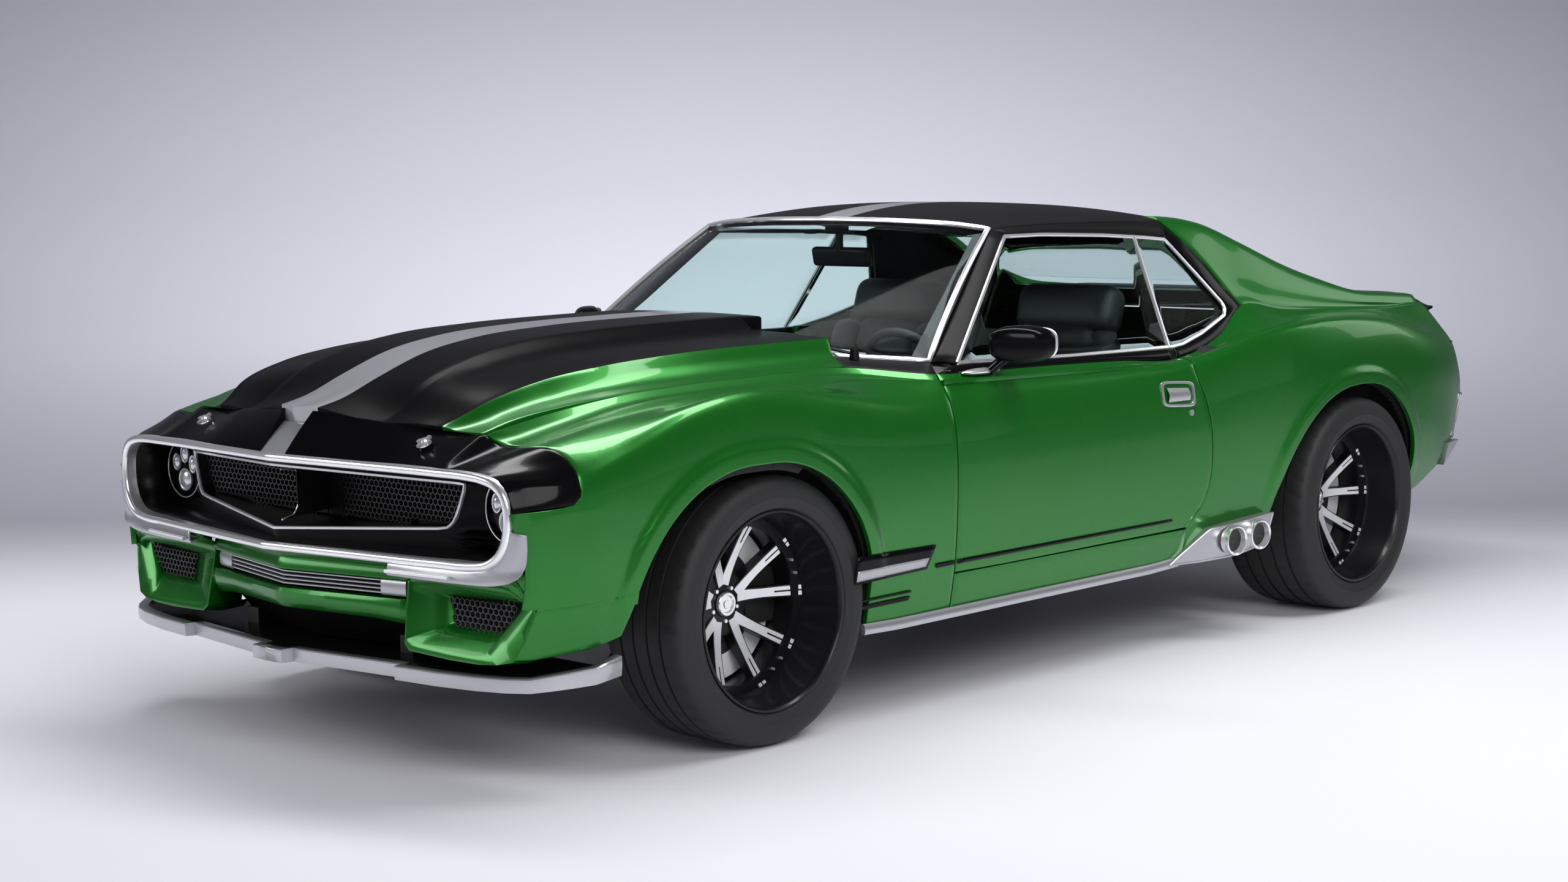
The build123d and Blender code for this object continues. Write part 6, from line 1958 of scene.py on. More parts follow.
    def disc(self) -> None:
        """Makes the brake disc with its dark hat."""
        face, rim = -self.dish - 0.034, self.disc_radius
        bm = bmesh.new()
        self.spin(bm, ((face - 0.026, 0.125), (face - 0.026, rim - 0.002), (face - 0.024, rim),
                       (face - 0.002, rim),
                       (face, rim - 0.002), (face, 0.148)))
        self.spin(bm, ((face, 0.148), (face + 0.0005, 0.120)), material=1)
        self.spin(bm, ((face + 0.0005, 0.120), (face + 0.002, 0.095), (face + 0.030, 0.088),
                       (face + 0.034, 0.080),
                       (face + 0.034, 0.0)), material=2)
        merge(bm)
        self.part(f"brake_disc_{self.name}_face", bm, (STEEL, DARK_STEEL, CHASSIS), [f"brake_disc_{self.name}"])

    def build(self) -> None:
        """Makes the wheel."""
        self.tyre()
        self.rim()
        self.small_parts()
        self.disc()
        log.info("wheel %s made", self.name)


def make_wheels(shop: Workshop) -> None:
    """Makes the four wheels from the frame's own places."""
    for end, axle_y, dish in (("front", FRONT_AXLE_Y, 0.190), ("rear", REAR_AXLE_Y, 0.175)):
        for side in SIDES:
            name = f"{end}_{side.word}"
            low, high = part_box(f"rim_{name}")
            lip = max(abs(low.x), abs(high.x)) + 0.002
            Wheel(name, side, axle_y, lip, high.x - low.x + 0.004, dish, shop).build()


# ---------------------------------------------------------------------------
# Lower front
# ---------------------------------------------------------------------------

# Duct's front rim (x, y, z) from the fin's top down, out along the foot and back along the top
DUCT_RIM = metres(
    (431, -2216, 490), (436, -2232, 420), (442, -2243, 360), (470, -2243, 350), (600, -2238, 343),
    (690, -2232, 341), (722, -2224, 350), (760, -2208, 388), (800, -2194, 432), (838, -2180, 478),
    (800, -2196, 484), (690, -2204, 487), (560, -2212, 489), (431, -2216, 490),
)
# Its back opening
DUCT_BACK = metres(
    (556, -2190, 466), (562, -2190, 435), (570, -2190, 402), (590, -2190, 400), (660, -2190, 400),
    (720, -2188, 399), (741, -2186, 402), (762, -2182, 428), (784, -2178, 452), (800, -2174, 474),
    (780, -2176, 477), (700, -2182, 474), (620, -2188, 470), (556, -2190, 466),
)
# Valance's outer edge round the duct
DUCT_FACE = metres(
    (418, -2222, 512), (424, -2236, 420), (430, -2248, 345), (450, -2250, 328), (600, -2243, 322),
    (700, -2236, 322), (765, -2230, 328), (812, -2218, 338), (846, -2202, 400), (862, -2188, 462),
    (800, -2222, 520), (690, -2232, 520), (560, -2236, 518), (418, -2222, 512),
)
# Plan (x, y) of the splitter's stepped edge
SPLIT_STEPS = metres(
    (0, -2366), (63, -2362), (68, -2330), (452, -2280), (458, -2306), (600, -2290), (720, -2264), (800, -2234),
    (850, -2200), (886, -2155), (910, -2105), (926, -2050), (936, -1975),
)
# Lines of the chin above and below the centre grille: z, distance back
CHIN_ABOVE = ((0.53, 0.01), (0.512, 0.002), (0.5, 0.002), (0.498, 0.05))
CHIN_BELOW = ((0.452, 0.05), (0.45, 0.0), (0.442, -0.006), (0.42, -0.004), (0.398, 0.014), (0.388, 0.06))


def stepped(points: Sequence[Row], steps: int = 6) -> Points:
    """A line that takes the same number of steps between each two of its points."""
    parts = [polyline(pair, steps)[:-1] for pair in zip(points, points[1:])]
    return np.vstack([*parts, points[-1:]])


@dataclass
class LowerFront:
    """The valance with its ducts and centre grille, and the splitter's bright lip."""

    side: BodySide
    shop: Workshop
    chin_half: float = 0.424
    valance_wall: float = 0.006
    lip_top: float = 0.299
    lip_foot: float = 0.263
    plate_rear_y: float = -1.965

    def chin_line(self, x: Points, z: float, back: float = 0.0) -> Points:
        """A line of the chin at one height."""
        y = -2.318 + np.abs(x) * (0.090 / 0.43) + back
        return np.stack([x, y, np.full_like(x, z)], 1)

    def under_ring(self, x: Points, back: float, z: float) -> Points:
        """A line behind the nose ring's lower edge."""
        return np.stack([x, ring_y(x, np.full(len(x), 0.556)) + back, np.full(len(x), z)], 1)

    def chin(self) -> list[Points]:
        """The left half of the chin, with the centre grille's opening."""
        x = np.linspace(0, self.chin_half, 19)
        upper = [self.under_ring(x, 0.020, 0.560)] + [self.chin_line(x, z, back) for z, back in CHIN_ABOVE]
        lower = [self.chin_line(x, z, back) for z, back in CHIN_BELOW]
        for row in lower[2:]:
            row[:, 2] -= np.interp(x, (0, 0.3, self.chin_half), (0.0, 0.004, 0.014))
        top = self.under_ring(np.linspace(self.chin_half, 0.830, 15), 0.026, 0.545)
        face = polyline((*DUCT_FACE[9:13], DUCT_FACE[0]), 14)[::-1]
        cheek = polyline(self.side.on([(-2.196, 0.575), (-2.196, 0.530), (-2.192, 0.462)], -0.0005), 6)
        corner = across(polyline([top[-1], face[-2], face[-1]], 6), cheek, 3)
        return [np.stack(upper, 1), np.stack(lower, 1), across(top, face, 3), corner]

    def duct(self) -> list[Points]:
        """The face round the left duct, its inside walls and the valance's folds."""
        rim, back, face = stepped(DUCT_RIM), stepped(DUCT_BACK), stepped(DUCT_FACE)
        walls = np.stack([face, (face + rim) / 2 + np.array([0, -0.003, 0]), rim, (rim + back) / 2, back], 1)
        foot = face[12:49]
        under = foot * np.array([1, 0, 1]) + np.array([0, -2.12, -0.004])
        fold = np.stack([foot, (foot + under) / 2 + np.array([0, 0, -0.006]), under], 1)
        inner = face[:19]
        return [walls, fold, np.stack([inner, inner + np.array([-0.012, 0.10, 0.0])], 1)]

    def valance(self) -> None:
        """Makes the green valance."""
        self.shop.skin("valance_skin", both(*self.chin(), *self.duct()), GREEN, FORWARD, self.valance_wall,
                       stands_for=["front_valance"], sharp=35)

    def grille(self) -> None:
        """Makes the silver bars and the dark panels behind the openings."""
        bars = bmesh.new()
        x = np.linspace(-0.325, 0.325, 27)
        for z in np.linspace(0.460, 0.492, 4):
            tube(bars, self.chin_line(x, z, 0.022), 0.005, 0.012, FORWARD)
        for side in SIDES[::-1]:
            block = self.chin_line(np.linspace(0.325, 0.405, 5) * side.value, 0.475, 0.018)
            tube(bars, block, 0.040, 0.012, FORWARD)
        self.shop.piece("lower_grille_bars", bars, SILVER, ["lower_grille"])
        dark = bmesh.new()
        wide = np.linspace(-self.chin_half, self.chin_half, 37)
        for top, low in (((0.505, 0.045), (0.445, 0.045)), ((0.400, 0.055), (0.302, 0.140))):
            add_patch(dark, np.stack([self.chin_line(wide, *top), self.chin_line(wide, *low)], 1))
        back = np.array(DUCT_BACK[:-1])
        sheet = np.stack([looped(back), np.tile(back.mean(0), (14, 1))], 1) + np.array([0, 0.016, 0])
        for grid, _paint in both(sheet):
            add_patch(dark, grid)
        self.shop.piece("lower_grille_back", dark, PLASTIC)

    def screens(self) -> None:
        """Makes the honeycomb screens of the ducts."""
        outline = np.array(DUCT_BACK)[:, [0, 2]]

        def inside(a: float, b: float) -> bool:
            """True within the duct's back opening."""
            p, q = outline[:-1], outline[1:]
            crossing = (p[:, 1] > b) != (q[:, 1] > b)
            at = p[:, 0] + (b - p[:, 1]) / np.where(crossing, q[:, 1] - p[:, 1], 1) * (q[:, 0] - p[:, 0])
            return bool(np.sum(crossing & (at > a)) % 2)

        def place(flat: Points) -> Points:
            """The left screen's places."""
            y = -2.196 + 0.06 * np.maximum(flat[:, 0] - 0.6, 0) + flat[:, 2]
            return np.column_stack([flat[:, 0], y, flat[:, 1]])

        for side in SIDES:
            bm = bmesh.new()
            honeycomb(bm, inside, lambda flat, side=side: side.turn(place(flat)), (0.560, 0.800, 0.405, 0.476),
                      0.010)
            self.shop.piece(f"duct_mesh_{side.word}", bm, MESH)

    def splitter(self) -> None:
        """Makes the black plate and its stepped bright lip."""
        plan = np.array(SPLIT_STEPS)
        rise = np.interp(plan[:, 0], (0, 0.85, 0.93, 0.936), (0.0, 0.0, 0.016, 0.036))
        along = np.gradient(plan, axis=0)
        along /= np.linalg.norm(along, axis=1, keepdims=True)
        inward = np.stack([-along[:, 1], along[:, 0], np.zeros(len(plan))], 1)
        top = np.column_stack([plan, self.lip_top + rise])
        low = np.column_stack([plan, self.lip_foot + rise * 0.6]) + inward * 0.003
        shelf = top + inward * 0.030
        back = np.column_stack([np.minimum(shelf[:, 0], 0.880), np.full(len(plan), self.plate_rear_y),
                                0.297 + rise])
        self.shop.skin("splitter_plate", both(across(shelf - (0, 0, 0.003), back, 6)), BLACK_PAINT, (0, 0, 1),
                       0.012,
                       SEAM_ROUND, stands_for=["front_splitter"], sharp=35)
        lip = np.stack([shelf, top + inward * 0.003, top - (0, 0, 0.003), (top + low) / 2 - inward * 0.002, low,
                        low + inward * 0.030], 1)
        self.shop.skin("splitter_lip", both(lip), SILVER, FORWARD, sharp=25)

    def build(self) -> None:
        """Makes the lower front."""
        self.valance()
        self.grille()
        self.screens()
        self.splitter()
        log.info("lower front made")


# ---------------------------------------------------------------------------
# Side details and tail
# ---------------------------------------------------------------------------

# Side views (y, z) of the painted marks, from the low front corner up and round
SIDE_MARK = metres((-1099, 394), (-1098, 472), (-756, 466), (-791, 401))
FRONT_STRIPE = metres((-749, 398), (-749, 411), (-669, 411), (-669, 399))
DOOR_STRIPE = metres((-655, 399), (-655, 411), (389, 412), (389, 404))
VENT = metres((-1085, 318), (-1085, 330), (-850, 332), (-858, 320))
SLOT = metres((-1085, 340), (-1085, 346), (-850, 348), (-850, 342))
# The door handle's paddle (y, z) and its frame's section (half length, half height, lift)
HANDLE_PADDLE = metres((352, 782), (350, 826), (455, 820), (460, 782))
HANDLE_FRAME = metres((82, 40, -2), (82, 40, 4), (78, 36, 6), (73, 32, 5), (71, 30, -4))
MIRROR_STEM = metres((868, -455, 930), (880, -430, 950), (900, -400, 975))
# The exhaust's bezel (y, z), its outlets' middles, and their sections (half length, half height, x)
EXHAUST_PLATE = metres(
    (400, 262), (480, 305), (573, 363), (740, 374), (893, 382), (866, 330), (838, 288), (700, 272), (520, 262),
)
EXHAUST_OVALS = metres((652, 321), (790, 325))
OUTLET_SECTION = metres(
    (52, 44, 960), (57, 49, 984), (56, 48, 989), (52, 44, 990), (48, 40, 987), (45, 37, 970),
)
BORE_SECTION = metres((46.5, 38.5, 972), (30, 26, 968), (0, 0, 967.5))
LAMP_LOW, LAMP_HIGH = 0.516, 0.662
# The spoiler's top and foot (y, z)
SPOILER_TOP = metres((1780, 1012), (1830, 1040), (1956, 1046), (2120, 1040), (2240, 1026), (2292, 1012))
SPOILER_FOOT = metres((1780, 1000), (1830, 998), (1956, 990), (2120, 982), (2230, 980), (2292, 990))


@dataclass
class SideDetails:
    """Mirrors, handles, exhausts, sill strips and painted marks."""

    side: BodySide
    shop: Workshop
    handle_place: tuple[float, float] = (0.406, 0.804)
    lock_place: tuple[float, float] = (0.468, 0.741)
    pod_place: tuple[float, float, float] = (0.9285, -0.372, 1.006)
    pod_glass_y: float = -0.322
    pod_sweep: float = 0.66
    pod_power: float = 0.62
    bezel_x: float = 0.905
    bezel_flare: float = 0.060

    def patch(self, outline: Sequence[Sequence[float]], lift: float, rows: int = 4, count: int = 24) -> Points:
        """A sheet on the body side between the lower and the upper half of a (y, z) outline's corners.

        Args:
            outline: Its corners: low front, high front, high rear, low rear.
            lift: Distance out of the side.
            rows: Steps upwards.
            count: Steps along.

        Returns:
            Array of (count + 1, rows + 1, 3) places.
        """
        a, b, c, d = outline
        low, high = polyline((a, d), count)[:, None], polyline((b, c), count)[:, None]
        t = np.linspace(0, 1, rows + 1)[None, :, None]
        return self.side.on(low * (1 - t) + high * t, lift)

    def marks(self, side: Side) -> None:
        """Makes the black and grey mark, the pinstripe and the side vent."""
        a, b, c, d = (np.array(p) for p in SIDE_MARK)
        grey = (a + (0.006, 0.008), a + (b - a) * 0.48 + (0.006, 0), d + (c - d) * 0.48 - (0.010, 0),
                d + (-0.008, 0.008))
        raised = PAINT_FILM if side is Side.LEFT else 0.0
        outlines = ((SIDE_MARK, 0.0045, 0), (grey, 0.0056, 1), (FRONT_STRIPE, 0.0040, 0), (VENT, 0.0035, 0),
                    (SLOT, 0.0035 + raised, 0))
        sheets = [(side.turn(self.patch(outline, lift)), paint) for outline, lift, paint in outlines]
        self.shop.skin(f"side_mark_{side.word}", sheets, (GLOSS_BLACK, STRIPE), thickness=PAINT_FILM)
        stripe = side.turn(self.patch(DOOR_STRIPE, 0.0032 + raised, 2, 40))
        self.shop.skin(f"pinstripe_{side.word}", [stripe], GLOSS_BLACK, (side.value, 0, 0), PAINT_FILM, body=side.door)

    def handle(self, side: Side) -> None:
        """Makes the recessed paddle handle and the lock."""
        cy, cz = self.handle_place
        a = np.linspace(0, 2 * np.pi, 41)[:-1]
        square_y, square_z = (np.sign(wave) * np.abs(wave) ** 0.35 for wave in (np.cos(a), np.sin(a)))

        def loop(half_y: float, half_z: float, lift: float) -> Points:
            """A rounded loop on the door."""
            y = cy + square_y * half_y
            return side.turn(self.side.on(np.column_stack([y, cz + square_z * half_z - (y - cy) * 0.06]), lift))

        bright, dark = bmesh.new(), bmesh.new()
        frame = [loop(*row) for row in HANDLE_FRAME]
        for p, q in zip(frame, frame[1:]):
            add_patch(bright, np.stack([looped(p), looped(q)], 1))
        base = loop(0.072, 0.031, -0.003)
        add_patch(dark, np.stack([looped(base), np.tile(base.mean(0), (41, 1))], 1))
        paddle = self.patch(HANDLE_PADDLE, 0.004, 4, 8)
        paddle[:, 1:4, 0] += np.array([0.004, 0.006, 0.004])
        add_patch(bright, side.turn(paddle))
        lock = side.turn(self.side.on([self.lock_place]))[0]
        add_cone(bright, 20, 0.010, 0.010, 0.006,
                 Matrix.Translation(lock) @ Matrix.Rotation(math.pi / 2, 4, "Y"))
        for name, mesh in (("door_handle", bright), ("door_handle_cup", dark)):
            merge(mesh)
            self.shop.piece(f"{name}_{side.word}", mesh, SILVER, body=side.door)

    def squared_ball(self, segments: int, rings: int) -> tuple[bmesh.types.BMesh,
                                                               list[tuple[bmesh.types.BMVert, Points]]]:
        """A ball with flattened sides: its mesh, and each vertex with its place in a box from -1 to 1."""
        bm = bmesh.new()
        bmesh.ops.create_uvsphere(bm, u_segments=segments, v_segments=rings, radius=1.0)
        places = [np.array(vert.co) for vert in bm.verts]
        return bm, [(vert, np.sign(p) * np.abs(p) ** self.pod_power) for vert, p in zip(bm.verts, places)]

    def mirror(self, side: Side) -> None:
        """Makes the door mirror: a rounded black pod on a stem, its glass and its bright foot."""
        cx, cy, cz = self.pod_place
        bm, ball = self.squared_ball(48, 28)
        for vert, p in ball:
            x = cx + 0.0665 * p[0]
            bulge = 0.050 * p[1] if p[1] > 0 else 0.062 * p[1] * (1 - 0.12 * p[0])
            z = cz + 0.054 * p[2] * (1 - 0.10 * abs(p[0])) - 0.03 * (x - 0.93)
            vert.co = (x * side.value, cy + bulge + self.pod_sweep * (x - cx), z)
        tube(bm, side.turn(polyline(MIRROR_STEM, 6)), 0.034, 0.022, (0, -0.5, 0.86))
        self.shop.piece(f"mirror_pod_{side.word}", bm, GLOSS_BLACK, [f"door_mirror_{side.word}"], side.door,
                        sharp=60)
        bm = bmesh.new()
        place = Matrix.Translation(side.turn((0.858, -0.480, 0.931))) @ Matrix.Diagonal((0.020, 0.085, 0.010,
                                                                                         1))
        bmesh.ops.create_uvsphere(bm, u_segments=32, v_segments=12, radius=1.0, matrix=place)
        self.shop.piece(f"mirror_foot_{side.word}", bm, CHROME, body=side.door)
        bm, ball = self.squared_ball(32, 16)
        for vert, p in ball:
            x = cx + 0.058 * p[0]
            vert.co = (x * side.value, self.pod_glass_y + self.pod_sweep * (x - cx) + 0.0025 * p[1],
                       cz + 0.046 * p[2])
        self.shop.piece(f"mirror_glass_{side.word}", bm, CHROME, body=side.door)

    def exhaust(self, side: Side) -> None:
        """Makes the bezel with its two oval outlets."""
        def bezel(yz: Points) -> Points:
            """Places on the bezel's face, which stands out more towards the rear."""
            return np.concatenate([self.bezel_x + self.bezel_flare * smoothstep(0.40, 0.70, yz[..., :1]), yz],
                                  -1)

        def oval(centre: Row, half_y: float, half_z: float, out: float) -> Points:
            """An upright oval loop round an outlet's centre."""
            a = np.linspace(0, 2 * np.pi, 41)
            y, z = centre
            return side.turn(np.column_stack([np.full(41, out), y + np.cos(a) * half_y,
                                              z + np.sin(a) * half_z]))

        bm, dark = bmesh.new(), bmesh.new()
        top = polyline(EXHAUST_PLATE[:5], 28)
        low = polyline((EXHAUST_PLATE[0], *EXHAUST_PLATE[:4:-1], EXHAUST_PLATE[4]), 28)
        add_patch(bm, side.turn(bezel(between(low, top, np.linspace(0, 1, 9)))))
        edge = bezel(np.vstack([low, top[::-1]]))
        back = edge - np.array([self.bezel_flare, 0, 0])
        add_patch(bm, side.turn(np.stack([looped(edge), looped(back)], 1)))
        tube(bm, side.turn(edge), 0.007, 0.006, (side.value, 0, 0), closed=True)
        for centre in EXHAUST_OVALS:
            add_patch(bm, np.stack([oval(centre, *row) for row in OUTLET_SECTION], 1), 1)
            add_patch(dark, np.stack([oval(centre, *row) for row in BORE_SECTION], 1))
        merge(bm)
        self.shop.piece(f"exhaust_bezel_{side.word}", bm, (SILVER, CHROME), ["side_exhausts"])
        merge(dark)
        self.shop.piece(f"exhaust_bores_{side.word}", dark, CHASSIS)

    def sill(self, side: Side) -> None:
        """Makes the silver strip along the sill."""
        y = np.linspace(-1.040, 0.450, 60)
        z = np.interp(y, (-1.04, -0.9, 0.3, 0.45), (0.262, 0.258, 0.262, 0.268))
        bm = bmesh.new()
        tube(bm, side.turn(np.column_stack([np.full(60, 0.896), y, z])), 0.030, 0.014, (side.value, 0, 0.2))
        self.shop.piece(f"sill_strip_{side.word}", bm, SILVER)

    def build(self) -> None:
        """Makes the details of both sides."""
        for side in SIDES:
            self.marks(side)
            self.handle(side)
            self.mirror(side)
            self.exhaust(side)
            self.sill(side)
        log.info("side details made")


@dataclass
class Tail:
    """Tail panel, lamps and spoiler."""

    side: BodySide
    shop: Workshop
    bulge: float = 0.034
    rear_limit: float = 2.366
    wall: float = 0.006
    lamp_share: float = 0.36
    wrap: float = 0.036
    deck_half: float = 0.640
    spoiler_half: float = 0.800
    spoiler_rear_limit: float = 2.340

    def panel(self) -> None:
        """Makes the tail panel across the car."""
        edge = self.side.on(polyline(TAIL_PROFILE, 44))
        share = np.sin(np.linspace(-1, 1, 49) * np.pi / 2)[:, None]
        y = np.minimum(edge[:, 1] + self.bulge * (1 - share**2), self.rear_limit)
        sheet = np.stack([share * edge[:, 0], y, np.broadcast_to(edge[:, 2], y.shape)], -1)

        def paint(column: int, row: int) -> int:
            """Red in the lamps, silver between them, green elsewhere."""
            middle = abs(share[column, 0] + share[column + 1, 0]) / 2
            z = (sheet[column, row, 2] + sheet[column, row + 1, 2]) / 2
            if LAMP_LOW < z < LAMP_HIGH:
                return 1 if middle > self.lamp_share else 2
            return 0

        self.shop.skin("tail_panel", [(sheet, paint)], (GREEN, RED_LENS, SILVER), (0, 1, 0), self.wall,
                       stands_for=["tail_lamps"], sharp=35)
        self.lamp_trim(sheet, edge)

    def lamp_trim(self, sheet: Points, edge: Points) -> None:
        """Makes the silver frames round the lamps and their wraps on the quarters.

        Args:
            sheet: The tail panel's places.
            edge: Its left edge.
        """
        rows = [int(np.argmin(np.abs(edge[:, 2] - z))) for z in (LAMP_HIGH, LAMP_LOW)]

        def on_quarter(row: int, reach: float, count: int, z: float) -> Points:
            """Surface places (y, v) from the tail's edge forwards at one height."""
            y = np.linspace(edge[row, 1], edge[row, 1] - reach, count)
            return self.side.yv(np.column_stack([y, np.full(count, z)]))

        wraps = [np.vstack([sheet[30:, row],
                            self.side.sheet(on_quarter(row, self.wrap + 0.006, 5, edge[row, 2])[1:])])
                 for row in rows]
        loop = np.vstack([wraps[0], wraps[1][::-1]])
        top, low = (on_quarter(row, self.wrap, 6, z) for row, z in zip(rows, (LAMP_HIGH, LAMP_LOW)))
        red = self.side.sheet(between(top, low, np.linspace(0.02, 0.98, 9)), 0.003)
        bm = bmesh.new()
        for side in SIDES:
            tube(bm, side.turn(loop), 0.012, 0.014, (0.3 * side.value, 0.95, 0), closed=True)
        merge(bm)
        self.shop.piece("tail_lamp_frames", bm, SILVER)
        self.shop.skin("tail_lamp_wraps", both(red), RED_LENS, thickness=0.002)

    def spoiler(self) -> None:
        """Makes the duck-tail: its middle on the boot lid and its ends on the quarters."""
        y = np.linspace(SPOILER_TOP[0][0], SPOILER_TOP[-1][0], 25)
        top, low = (smooth_curve(*np.array(line).T, y)[:, 0] for line in (SPOILER_TOP, SPOILER_FOOT))

        def section(x: float) -> Points:
            """The spoiler's closed outline at a distance from the centre."""
            end = float(smoothstep(self.deck_half, self.spoiler_half, np.array(abs(x))))
            plan = 0.030 * (1 - (x / self.spoiler_half) ** 2) if abs(x) < self.spoiler_half else 0.0
            place = np.minimum(y + plan, self.spoiler_rear_limit) - 0.17 * end * (y - y[0])
            rise = top * (1 - end) + (low + 0.004) * end
            upper, lower = (np.column_stack([np.full(25, x), place, z])
                            for z in (rise - 0.006 * end, low - 0.010 * end))
            return np.vstack([upper, lower[::-1]])

        def part(name: str, xs: Points, body: str, nodes: Sequence[str]) -> None:
            """Makes one part of it between two places."""
            bm = bmesh.new()
            add_patch(bm, np.stack([looped(section(x)) for x in xs]))
            merge(bm)
            bmesh.ops.holes_fill(bm, edges=bm.edges[:], sides=0)
            self.shop.piece(name, bm, GLOSS_BLACK, nodes, body, sharp=35, slot=BLACK_PAINT.slot)

        part("spoiler_blade", np.linspace(-self.deck_half, self.deck_half, 33), "decklid", ["spoiler"])
        end = np.linspace(self.deck_half + 0.003, self.spoiler_half, 9)
        part("spoiler_end_left", end, "body", ["spoiler_ends"])
        part("spoiler_end_right", -end, "body", [])

    def build(self) -> None:
        """Makes the tail."""
        self.panel()
        self.spoiler()
        log.info("tail made")


# ---------------------------------------------------------------------------
# Stage
# ---------------------------------------------------------------------------

# Colours of the wall behind the car: a painted pool of light, painted shade at its edges and a painted darker
# reflection of it; of the floor: painted lit near the camera and painted shade at the wall; and of the surround by
# height
WALL_PAINTED_LIGHT, WALL_EDGE_SHADE, WALL_DIMMED_REFLECTION = (0.80, 0.80, 0.87), (0.25, 0.25, 0.30), (0.12, 0.12, 0.14)
FLOOR_NEAR_LIT, FLOOR_FAR_SHADE = (0.84, 0.84, 0.88), (0.42, 0.42, 0.47)
SKY_STOPS = ((0.0, (0.52, 0.52, 0.57)), (0.165, (0.50, 0.50, 0.55)), (0.20, (0.66, 0.66, 0.71)),
             (0.30, (0.60, 0.60, 0.66)), (0.42, (0.34, 0.34, 0.39)), (1.0, (0.26, 0.26, 0.30)))
MIRRORED_SKY_STOPS = ((0.10, (0.42, 0.42, 0.46)), (0.20, (0.30, 0.30, 0.34)), (0.32, (0.08, 0.08, 0.09)),
                      (0.55, (0.025, 0.025, 0.028)))


def mirror_rays(tree: bpy.types.NodeTree) -> bpy.types.NodeSocket:
    """Adds a value that is 1 where a reflection looks, but not where one looks through glass.

    Args:
        tree: The material's or the world's nodes.

    Returns:
        The value's socket.
    """
    path = tree.nodes.new("ShaderNodeLightPath")
    only = tree.nodes.new("ShaderNodeMath")
    only.operation = "SUBTRACT"
    only.use_clamp = True
    tree.links.new(path.outputs["Is Glossy Ray"], only.inputs[0])
    tree.links.new(path.outputs["Is Transmission Ray"], only.inputs[1])
    return only.outputs[0]


def vector_math(tree: bpy.types.NodeTree, kind: str, source: bpy.types.NodeSocket, result: str,
                value: Sequence[float] = (0.0, 0.0, 0.0)) -> bpy.types.NodeSocket:
    """Adds one vector operation.

    Args:
        tree: The material's nodes.
        kind: The operation.
        source: What it works on.
        result: Name of the output that is wanted.
        value: Its fixed second value.

    Returns:
        The output's socket.
    """
    node = tree.nodes.new("ShaderNodeVectorMath")
    node.operation = kind
    node.inputs[1].default_value = tuple(value)
    tree.links.new(source, node.inputs[0])
    return node.outputs[result]


def span(tree: bpy.types.NodeTree, low: float, high: float,
         source: bpy.types.NodeSocket) -> bpy.types.NodeSocket:
    """Maps a value's range to 0 to 1, softly."""
    node = tree.nodes.new("ShaderNodeMapRange")
    node.interpolation_type = "SMOOTHSTEP"
    node.inputs["From Min"].default_value = low
    node.inputs["From Max"].default_value = high
    tree.links.new(source, node.inputs["Value"])
    return node.outputs["Result"]


def blend(tree: bpy.types.NodeTree, share: bpy.types.NodeSocket, low: Color | bpy.types.NodeSocket,
          high: Color | bpy.types.NodeSocket) -> bpy.types.NodeSocket:
    """Mixes two colours or colour sockets.

    Args:
        tree: The material's nodes.
        share: Share of the second one.
        low: First colour.
        high: Second colour.

    Returns:
        The mix's socket.
    """
    node = tree.nodes.new("ShaderNodeMix")
    node.data_type = "RGBA"
    tree.links.new(share, node.inputs["Factor"])
    for name, value in (("A", low), ("B", high)):
        if isinstance(value, bpy.types.NodeSocket):
            tree.links.new(value, node.inputs[name])
        else:
            node.inputs[name].default_value = (*value, 1.0)
    return node.outputs["Result"]


def colour_ramp(tree: bpy.types.NodeTree, stops: Sequence[tuple[float, Color]],
                source: bpy.types.NodeSocket) -> bpy.types.NodeSocket:
    """Adds a colour ramp.

    Args:
        tree: The world's nodes.
        stops: Place and colour of each stop, in order.
        source: Its factor.

    Returns:
        The colour's socket.
    """
    ramp = tree.nodes.new("ShaderNodeValToRGB")
    elements = ramp.color_ramp.elements
    for element, (place, color) in zip((elements[0], elements[1]), (stops[0], stops[-1])):
        element.position = place
        element.color = (*color, 1)
    for place, color in stops[1:-1]:
        elements.new(place).color = (*color, 1)
    tree.links.new(source, ramp.inputs["Fac"])
    return ramp.outputs["Color"]


@dataclass(frozen=True)
class StudioLamp:
    """A soft rectangular lamp: where it hangs, what it points at, its size and its power."""

    name: str
    place: tuple[float, float, float]
    aim: tuple[float, float, float]
    size: tuple[float, float]
    power: float


